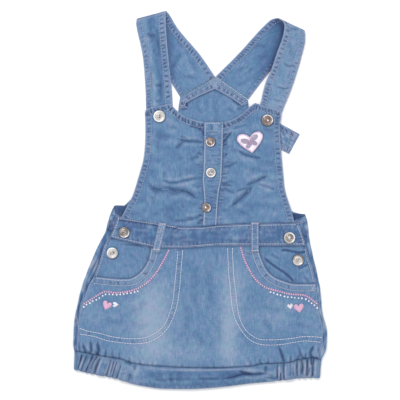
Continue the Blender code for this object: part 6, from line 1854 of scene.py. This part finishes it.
pale = Threads()
for curve, distance in ((outer, -1.6), (outer, -4.4), (inner, 1.0)):
    sewn(pale, offset_curve(curve, distance), (yoke_band,), length=2.2, gap=0.6, radius=0.3, seed=5)
for k in range(9):
    x = -23.2 + 0.95 * k
    found = surface((yoke_band, back_panel), x, 104.4)
    if found:
        pale.add((x, 103.2, found[0] + 0.15), (x + 0.3, 105.4, found[0] + 0.15), 0.26)
pale.make("yoke_stitches", THREAD_SOFT, None, "denim")

pale = Threads()
for curve, way, seed in ((edge_bl, -1, 1), (neck_bl, -1, 2), (edge_br, 1, 3), (neck_br, 1, 4)):
    sewn(pale, offset_curve(curve, way * HEM), TWO_BIBS, length=2.0, gap=0.9, radius=0.3, seed=seed)
pale.make("bib_hem_stitches", THREAD_SOFT, None, "denim")
pale = Threads()
for curve, away, seed in ((placket_left, -1.2, 21), (placket_right, 1.2, 23)):
    sewn(pale, offset_curve(curve, away), (placket,), length=2.4, radius=0.34, seed=seed)
sewn(pale, line((6.5, 85.9), (24.0, 85.9)), (placket,), length=2.2, radius=0.3, seed=31)
sewn(pale, line((6.5, 77.6), (24.0, 77.4)), (placket,), length=2.2, radius=0.24, seed=32)
pale.make("bib_stitches", THREAD, None, "denim")

pale = Threads()
waist_sheets = (front_waistband,)
sewn(pale, offset_curve(waist_top[waist_top[:, 0] > -26.0], -1.9), waist_sheets, seed=41)
sewn(pale, offset_curve(waist_top[waist_top[:, 0] < -24.0], -0.9), waist_sheets, length=1.5, gap=1.0, radius=0.36, seed=40)
sewn(pale, offset_curve(waist_low, 1.9), waist_sheets, seed=42)
for side_curve, way in zip(waist_sides, (-1, 1)):
    sewn(pale, offset_curve(side_curve, 1.8 * way), waist_sheets, seed=43)
for sheet, (_, x1, y1, x2, y2, width) in zip((loop_left, loop_right), BELT_LOOPS):
    dx, dy = x1 - x2, y1 - y2
    span = math.hypot(dx, dy)
    for sign in (-1, 1):
        ox, oy = sign * dy / span * (width / 2 - 1.9), -sign * dx / span * (width / 2 - 1.9)
        sewn(pale, line((x2 + ox, y2 + oy), (x1 + ox, y1 + oy)), (sheet,), length=2.2, radius=0.29, seed=44 + sign)
    for y, x in ((y1 - dy * 0.04, x1), (y2 + dy * 0.045, x2)):
        for k in range(9):
            px = x - width / 2 + 0.9 + k * (width - 1.8) / 8
            found = surface((sheet,), px, y)
            if found:
                pale.add((px, y - 0.9, found[0] + 0.12), (px + 0.25, y + 0.9, found[0] + 0.12), 0.28)
pale.make("waist_stitches", THREAD, None, "denim")

pale, bright = Threads(), Threads()
for curve, way, seed in ((pocket_l, -1, 51), (pocket_r, 1, 52)):
    sewn(pale, offset_curve(curve, way * 1.4), (skirt_front,), radius=0.33, seed=seed)
    sewn(pale, offset_curve(curve, way * 7.4), (skirt_front,), radius=0.33, seed=seed + 4)
for k, curve in enumerate(bag_rows.values()):
    sewn(bright, curve, (skirt_front,), radius=0.36, length=2.6, gap=0.4, seed=61 + k)
for sheet, edge_table, way, low_y in ((hip_left, EDGE_LEFT, -1, -85.0), (hip_right, EDGE_RIGHT, 1, -92.0)):
    side_curve = closer(along_edge(edge_table, low_y, -47.5 if way < 0 else -53.5))
    sewn(pale, offset_curve(side_curve, 2.0 * way), (sheet,), radius=0.29, seed=75)
for k in range(6):
    found = surface((skirt_front,), 127.4 - 0.5 * k, -95.4 - 1.15 * k)
    if found:
        pale.add((128.6 - 0.35 * k, -95.2 - 1.15 * k, found[0] + 0.15), (126.2 - 0.35 * k, -95.5 - 1.15 * k, found[0] + 0.15), 0.26)
lap_l = offset_curve(run(110.2, 212, 113, 211.4, 120.6, 216.8, 126, 219), -2.0)
lap_r = offset_curve(run(291, 222, 300, 221.5, 307, 218), -2.0)
for curve in (lap_l, lap_r):
    sewn(pale, curve, (back_waistband,), radius=0.29, seed=77)
pale.make("skirt_stitches", THREAD, None, "denim")
bright.make("pocket_bag_stitches", THREAD_BRIGHT, None, "denim")

# Embroidery: a chain line under each pocket, knots beside it, and small hearts.
chain, white, core = Threads(), Threads(), Threads()
for curve in (chain_l, chain_r):
    d = np.concatenate([[0], np.cumsum(np.linalg.norm(np.diff(curve, axis=0), axis=1))])
    for k, s in enumerate(np.arange(0.8, d[-1] - 0.6, 2.6)):
        x, y = float(np.interp(s, d, curve[:, 0])), float(np.interp(s, d, curve[:, 1]))
        x2, y2 = float(np.interp(s + 0.5, d, curve[:, 0])), float(np.interp(s + 0.5, d, curve[:, 1]))
        found = surface((skirt_front,), x, y)
        if not found:
            continue
        way = np.array([x2 - x, y2 - y, 0.0])
        way /= np.linalg.norm(way)
        chain.loop((x, y, found[0] + 0.22), way, tuple(found[1]), 3.0, 1.95, 0.31)
        # A white core along each link: painted highlight on the glossy chain.
        start, end = np.array([x, y, found[0] + 0.5]) - 0.55 * way, np.array([x, y, found[0] + 0.5]) + 0.55 * way
        core.add(start, end, 0.8, arch=0.2, sides=6)
dots_l = run(83.4, 307, 87, 304.5, 90, 303, 93, 301.3, 96.5, 299.5, 102.7, 296, 106, 294.4, 112.5, 294.6, 119.7, 294.5, 127.5, 293.5, 134.5, 292, 138.6, 290.8)
dots_r = run(270, 291.8, 274, 293.2, 281, 295.5, 289, 297, 296.5, 298.2, 304.5, 298.6, 307, 300, 313.5, 304.5, 320.6, 311)
for curve in (dots_l, dots_r):
    d = np.concatenate([[0], np.cumsum(np.linalg.norm(np.diff(curve, axis=0), axis=1))])
    for k, s in enumerate(np.arange(0.5, d[-1], 4.05)):
        x, y = float(np.interp(s, d, curve[:, 0])), float(np.interp(s, d, curve[:, 1]))
        x, y = x + 0.3 * float(noise(k * 1.3, 0, 8)), y + 0.3 * float(noise(k * 1.3, 4, 8))
        found = surface((skirt_front,), x, y)
        if found:
            white.knot((x, y, found[0] + 0.32), 1.06 + 0.1 * float(noise(k * 2.1, 2, 9)))


def small_heart(threads, numbers, sheet, pitch=0.5, radius=0.34):
    """Satin stitches straight across a heart: its middle, tip and width in squares."""
    middle, tip = ((np.array(p) - 200.2) * SQUARE * [1, -1] for p in (numbers[:2], numbers[2:4]))
    tall = float(np.linalg.norm(tip - middle))
    way = (tip - middle) / tall
    side = np.array([-way[1], way[0]])
    t = np.linspace(0, math.pi, 181)
    across = np.sin(t) ** 3 * numbers[4] * SQUARE / 2
    along = -(13 * np.cos(t) - 5 * np.cos(2 * t) - 2 * np.cos(3 * t) - np.cos(4 * t)) / 17.0 * tall
    crown = int(np.argmin(along))
    for s in np.arange(along[crown] + 0.3 * pitch, tall - 0.3 * pitch, pitch):
        far = float(np.interp(s, along[crown:], across[crown:]))
        if s < along[0]:
            close = float(np.interp(-s, -along[: crown + 1], across[: crown + 1]))
            spans = ((-far, -close), (close, far))
        else:
            spans = ((-far, far),)
        for a, b in spans:
            ends = [middle + way * s + side * a, middle + way * s + side * b]
            zs = [surface((sheet,), *e) for e in ends]
            if all(zs) and b - a > 0.3:
                threads.add((*ends[0], zs[0][0] + 0.14), (*ends[1], zs[1][0] + 0.14), radius, arch=0.3, sides=5)


pink = Threads()
small_heart(pink, (107.0, 305.2, 104.9, 310.2, 9.9), skirt_front)
small_heart(white, (115.6, 304.5, 119.2, 304.6, 5.6), skirt_front, radius=0.32)
small_heart(white, (290.1, 306.2, 290.8, 309.3, 6.0), skirt_front, radius=0.32)
small_heart(pink, (298.9, 307.8, 299.7, 313.2, 10.8), skirt_front)
chain.make("pink_embroidery", THREAD_PINK, None, "satin")
pink.make("pink_hearts", SATIN_PINK, None, "satin")
core.make("chain_middle_highlights", THREAD_WHITE, None, "satin")
white.make("white_embroidery", THREAD_WHITE, None, "satin")

# The heart patch: satin, a padded satin-stitch rim and a small butterfly.
half = spread(through(HEART_HALF), np.linspace(0, 1, 46))
spine = np.stack([np.zeros(46), np.interp(np.linspace(0, 1, 46), (0, 1), (HEART_HALF[0][1], HEART_HALF[-1][1]))], axis=1)
cos, sin = math.cos(HEART_TILT), math.sin(HEART_TILT)


def on_heart(px, py):
    px, py = 1.07 * px, 1.07 * py
    return HEART_CENTRE[0] + px * cos - py * sin, HEART_CENTRE[1] + px * sin + py * cos


rows = []
for (x, y), (sx, sy) in zip(half, spine):
    row = []
    for u in np.linspace(-1, 1, 41):
        a = abs(u)
        row.append(on_heart(math.copysign(x * a, u), sy * (1 - a) + y * a))
    rows.append(row)
rows = np.array(rows)
heart = Sheet("heart_patch", raised(rows, bib_height, 2 * CLOTH + GAP + 0.1), seed=161)
rim_curve = np.array([on_heart(-x, y) for x, y in half] + [on_heart(x, y) for x, y in half[::-1]])
d_rim = near(rim_curve, heart.p, heart.q, 4)[0]
heart.rise += 0.45 * step(np.minimum(d_rim, 4), 0.0, 3.4) - 0.3
heart.swell(0.08, 3.5)
heart_obj = make_sheet(heart, SATIN, 0.8)
rim_threads = Threads()
centre_point = np.array(on_heart(0, 1.0))
loop = closer(np.concatenate([rim_curve, rim_curve[:1]]), 0.56)
for k in range(len(loop) - 1):
    p, way = loop[k], loop[min(k + 1, len(loop) - 1)] - loop[max(k - 1, 0)]
    n = np.array([-way[1], way[0]]) / max(np.linalg.norm(way), 1e-9)
    if (centre_point - p) @ n < 0:
        n = -n
    inside_end, outside_end = p + n * (1.25 + 0.25 * float(noise(k * 0.7, 0, 3))), p - n * 0.25
    found = surface((heart, bib_right), *inside_end)
    out_found = surface((bib_right,), *outside_end)
    if found and out_found:
        rim_threads.add((*outside_end, max(out_found[0] + 0.45, found[0] - 0.9)), (*inside_end, found[0] + 0.15), 0.36, arch=0.4, sides=5, rings=6)
rim_threads.make("heart_rim", SATIN_RIM, None, "satin")


def wing(threads, outline, root, way, length, width, count, sheet):
    """A wing filled with satin stitches across it from its root, and a line round it."""
    turn = np.array([[math.cos(0.12), math.sin(0.12)], [-math.sin(0.12), math.cos(0.12)]])
    root, way = np.array(root, float) @ turn, np.array(way, float) / np.linalg.norm(way) @ turn
    side = np.array([-way[1], way[0]])
    rims = ([], [])
    for s in np.linspace(0.06, 1.0, count):
        spread_here = width * math.sin(math.pi * 0.93 * s**1.1) ** 0.75
        middle = root + way * length * s + side * 0.5 * math.sin(math.pi * s)
        lean_here = 0.3 * spread_here * (s - 0.35)
        ends = [on_heart(*(middle + side * spread_here / 2 + way * lean_here)), on_heart(*(middle - side * spread_here / 2 - way * lean_here * 0.5))]
        zs = [surface((sheet,), *e) for e in ends]
        if all(zs):
            threads.add((*ends[0], zs[0][0] + 0.1), (*ends[1], zs[1][0] + 0.1), 0.25, arch=0.18, sides=5)
            for rim, end, z in zip(rims, ends, zs):
                rim.append((*end, z[0] + 0.2))
    line_round = rims[0] + rims[1][::-1]
    for a, b in zip(line_round, line_round[1:]):
        outline.add(a, b, 0.2, arch=0.03, sides=5)


motif, outline, body = Threads(), Threads(), Threads()
for sign in (-1, 1):
    wing(motif, outline, (sign * 0.3, 1.3), (sign * 1.0, 0.5), 9.6, 5.0, 22, heart)
    wing(motif, outline, (sign * 0.3, 0.5), (sign * 0.86, -0.66), 6.6, 4.3, 16, heart)
for k in range(12):
    wide = 0.5 if k < 9 else 0.34
    along = 3.2 - 0.55 * k
    ends = [on_heart(-wide - 0.12 * along, along), on_heart(wide - 0.12 * along, along)]
    zs = [surface((heart,), *e) for e in ends]
    if all(zs):
        body.add((*ends[0], zs[0][0] + 0.3), (*ends[1], zs[1][0] + 0.3), 0.31, arch=0.24, sides=5)
for sign in (-1, 1):
    path = [(sign * 0.3 - 0.6, 3.4), (sign * 0.9 - 0.8, 4.3), (sign * 1.7 - 0.9, 4.9)]
    for a, b in zip(path, path[1:]):
        ea, eb = on_heart(*a), on_heart(*b)
        za, zb = surface((heart,), *ea), surface((heart,), *eb)
        if za and zb:
            outline.add((*ea, za[0] + 0.16), (*eb, zb[0] + 0.16), 0.17, arch=0.05, sides=5)
motif.make("heart_butterfly", SATIN_MOTIF, None, "satin")
outline.make("heart_butterfly_lines", SATIN_OUTLINE, None, "satin")
body.make("heart_butterfly_body", SATIN_BODY, None, "satin")


# ------------------------------------------------------------------- buttons
def top_of(piece, x, y, radius):
    """Height of the cloth's top under a button: the highest point in its circle."""
    turn = np.linspace(0, 2 * math.pi, 13)[:-1]
    px = np.concatenate([[x], x + radius * np.cos(turn), x + radius / 2 * np.cos(turn)])
    py = np.concatenate([[y], y + radius * np.sin(turn), y + radius / 2 * np.sin(turn)])
    if piece == "hip":
        return HIP_LEVEL + CLOTH
    if piece == "waistband":
        return float(front_height(px, py).max()) + DOUBLE
    if piece == "placket":
        return float(bib_height(px, py).max()) + 2 * CLOTH + GAP
    return float(bib_height(px, py).max()) + CLOTH


# Half sections for a diameter of 2: (radius, height), outer rim to middle.
RIM = (
    (0.30, -0.02), (0.86, 0.0), (0.97, 0.03), (1.0, 0.09), (0.992, 0.16), (0.968, 0.235), (0.925, 0.30), (0.87, 0.342),
    (0.815, 0.345), (0.77, 0.315), (0.74, 0.26), (0.722, 0.19),
)
DISH = (
    (0.728, 0.2), (0.70, 0.162), (0.63, 0.148), (0.56, 0.158), (0.53, 0.198), (0.49, 0.214), (0.44, 0.2), (0.40, 0.168),
    (0.30, 0.152), (0.27, 0.168), (0.235, 0.17), (0.205, 0.15), (0.10, 0.145), (0.0, 0.145),
)


def turned_piece(name, profile, x, y, z, radius, material, sides=48, tilt=(0.0, 0.0)):
    verts, faces = [], []
    for r, h in profile:
        for a in np.linspace(0, 2 * math.pi, sides + 1)[:-1]:
            wobble = 1 + 0.006 * math.sin(3 * a + x) + 0.004 * math.sin(7 * a + y)
            px, py = r * radius * wobble * math.cos(a), r * radius * wobble * math.sin(a)
            verts.append((px, py, h * radius + tilt[0] * px + tilt[1] * py))
    for i in range(len(profile) - 1):
        for j in range(sides):
            a, b = i * sides + j, i * sides + (j + 1) % sides
            faces.append((a, b, b + sides, a + sides))
    if profile[0][0] < 0.5:
        faces.append(tuple(range(sides))[::-1])
    if profile[-1][0] == 0.0:
        verts = verts[: (len(profile) - 1) * sides] + [verts[-1]]
        last = (len(profile) - 2) * sides
        faces = [f for f in faces if max(f) < last + sides]
        faces += [(last + j, last + (j + 1) % sides, len(verts) - 1) for j in range(sides)]
    return np.array(verts) + [x, y, z], faces


# What each button shows: the metals of its rim, of the ring inside it and of its
# middle; the direction, in degrees, of the painted highlight on its rim, and how
# bright it is all round; then small marks at (x, y, size), shares of the radius. A
# size below 0 is a dark spot of painted shade in an opening, above 0 a bright
# raised spot, partly a boss and partly a painted highlight.
BUTTON_LOOKS = {
    "button_bib_left": (METAL_WHITE, METAL_WHITE, METAL_WHITE, 180, 0.95, (0.06, 0.17, -0.12), (0.08, -0.17, -0.13)),
    "button_bib_right": (METAL, METAL_TAN, METAL_TAN, 50, 0.55, (0.06, -0.02, 0.15), (-0.26, -0.2, -0.1)),
    "button_placket_1": (METAL, METAL_TAN, METAL, 245, 0.62, (0.1, -0.04, 0.14), (-0.2, 0.22, -0.1)),
    "button_placket_2": (METAL_WHITE, METAL_GREY, METAL_GREY, 200, 1.0, (-0.02, 0.1, -0.14), (0.2, -0.16, 0.13), (-0.2, -0.16, 0.13), (-0.02, -0.02, 0.1)),
    "button_placket_3": (METAL, METAL_TAN, METAL, 5, 0.35, (-0.14, 0.02, 0.2), (0.14, 0.2, -0.14)),
    "button_waist_left": (METAL, METAL, METAL_GREY, 300, 0.45, (-0.16, 0.0, -0.14), (0.22, 0.06, 0.08)),
    "button_waist_right": (METAL_WHITE, METAL, METAL_WHITE, 20, 0.55, (0.3, -0.06, -0.13), (0.0, 0.02, 0.14)),
    "button_hip_left": (METAL_WHITE, METAL_WHITE, METAL_WHITE, 130, 0.5, (0.26, 0.06, -0.14), (-0.1, -0.04, -0.07)),
    "button_hip_right": (METAL, METAL_WHITE, METAL_WHITE, 265, 0.5, (-0.18, 0.06, -0.09), (0.16, 0.1, -0.09), (0.06, -0.14, -0.08)),
}
for name, x, y, diameter, piece in BUTTONS:
    radius = diameter / 2
    z = top_of(piece, x, y, radius) + GAP
    tilt = (0.012 * math.sin(x), 0.012 * math.cos(y))
    rim_metal, ring_metal, middle_metal, toward, bright_all, *dish_marks = BUTTON_LOOKS[name]
    objects = []
    for part_name, profile, metal in (("rim", RIM, rim_metal), ("ring", DISH[:8], ring_metal), ("middle", DISH[7:], middle_metal)):
        verts, faces = turned_piece(name, profile, x, y, z, radius, metal, tilt=tilt)
        obj = mesh_object(f"{name}_{part_name}", verts, faces, metal)
        # On the rim, a painted highlight towards one side over a brightness all round; in the ring and middle, painted
        # light and shade of a shallow dish, darker on that side and lighter opposite.
        angle = np.arctan2(verts[:, 1] - y, verts[:, 0] - x) - math.radians(toward)
        painted_light = bright_all + 0.75 * np.cos(angle) + 0.25 * np.cos(2 * angle + 0.6)
        if part_name != "rim":
            painted_light = (0.2 if part_name == "ring" else bright_all + 0.15) - 0.3 * np.cos(angle) * np.hypot(verts[:, 0] - x, verts[:, 1] - y) / radius
        attribute = obj.data.attributes.new("painted_light", "FLOAT", "POINT")
        attribute.data.foreach_set("value", np.clip(painted_light, -0.2, 1.1).astype(np.float32))
        objects.append(obj)
    marks = {"hole": Threads(), "bright_spot": Threads()}
    for mx, my, size in dish_marks:
        kind = "hole" if size < 0 else "bright_spot"
        lift = 0.15 * radius + (0.02 if kind == "hole" else 0.08)
        marks[kind].knot((x + mx * radius, y + my * radius, z + lift + tilt[0] * mx * radius + tilt[1] * my * radius), abs(size) * radius, squash=0.3 if kind == "hole" else 0.6, sides=12)
    for kind, threads in marks.items():
        if threads.count:
            obj = mesh_object(f"{name}_{kind}s", np.concatenate(threads.verts), threads.faces, METAL_DARK if kind == "hole" else METAL_WHITE)
            attribute = obj.data.attributes.new("painted_light", "FLOAT", "POINT")
            attribute.data.foreach_set("value", np.full(len(obj.data.vertices), 0.9, np.float32))
            objects.append(obj)
    for obj in objects:
        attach(obj, "root")
        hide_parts(name)


# ------------------------------------------------------ surface, light, camera
def floor_material():
    material, nodes, links, shader = shader_of("floor_pale")
    place = nodes.new("ShaderNodeTexCoord").outputs["Object"]
    soft = noise_node(nodes, links, place, (1.0, 1.0, 1.0), 60.0, 2.0)
    links.new(mixed(nodes, links, maths(nodes, links, "MULTIPLY", soft, 0.3), (0.93, 0.93, 0.93), (0.90, 0.90, 0.905)), shader.inputs["Base Color"])
    shader.inputs["Roughness"].default_value = 0.9
    shader.inputs["Specular IOR Level"].default_value = 0.1
    return material


half_floor = 20000.0
floor = mesh_object(
    "floor", [(-half_floor, -half_floor, -0.05), (half_floor, -half_floor, -0.05), (half_floor, half_floor, -0.05), (-half_floor, half_floor, -0.05)],
    [(0, 1, 2, 3)], floor_material(), smooth=False,
)


def light(name, place, aim, size, power, colour=(1, 1, 1)):
    data = bpy.data.lights.new(name, "AREA")
    data.shape, data.size, data.energy, data.color = "DISK", size, power, colour
    obj = bpy.data.objects.new(name, data)
    obj.location = Vector(place)
    obj.rotation_euler = (Vector(aim) - Vector(place)).to_track_quat("-Z", "Y").to_euler()
    bpy.context.scene.collection.objects.link(obj)
    return obj


light("key", (-0.5, 0.75, 1.5), (0, 0, 0), 0.9, 16.0, (1.0, 0.99, 0.98))
light("fill", (0.9, -0.5, 1.5), (0, 0, 0), 1.2, 5.0, (0.97, 0.98, 1.0))

world = bpy.data.worlds.new("studio")
bpy.context.scene.world = world
world.use_nodes = True
world.node_tree.nodes["Background"].inputs["Color"].default_value = (0.97, 0.98, 1.0, 1.0)
world.node_tree.nodes["Background"].inputs["Strength"].default_value = 0.84
bpy.context.scene.view_settings.view_transform = "Standard"

camera_data = bpy.data.cameras.new("camera")
camera_data.sensor_width = 36.0
camera_data.lens = 36.0 * (1.6 - 0.004) / 0.448
camera_data.dof.use_dof = False
camera_data.clip_end = 100.0
camera = bpy.data.objects.new("camera", camera_data)
camera.location = (-0.0002, 0.0002, 1.6)
camera.rotation_euler = (0.0, 0.0, 0.0)
bpy.context.scene.collection.objects.link(camera)
bpy.context.scene.camera = camera
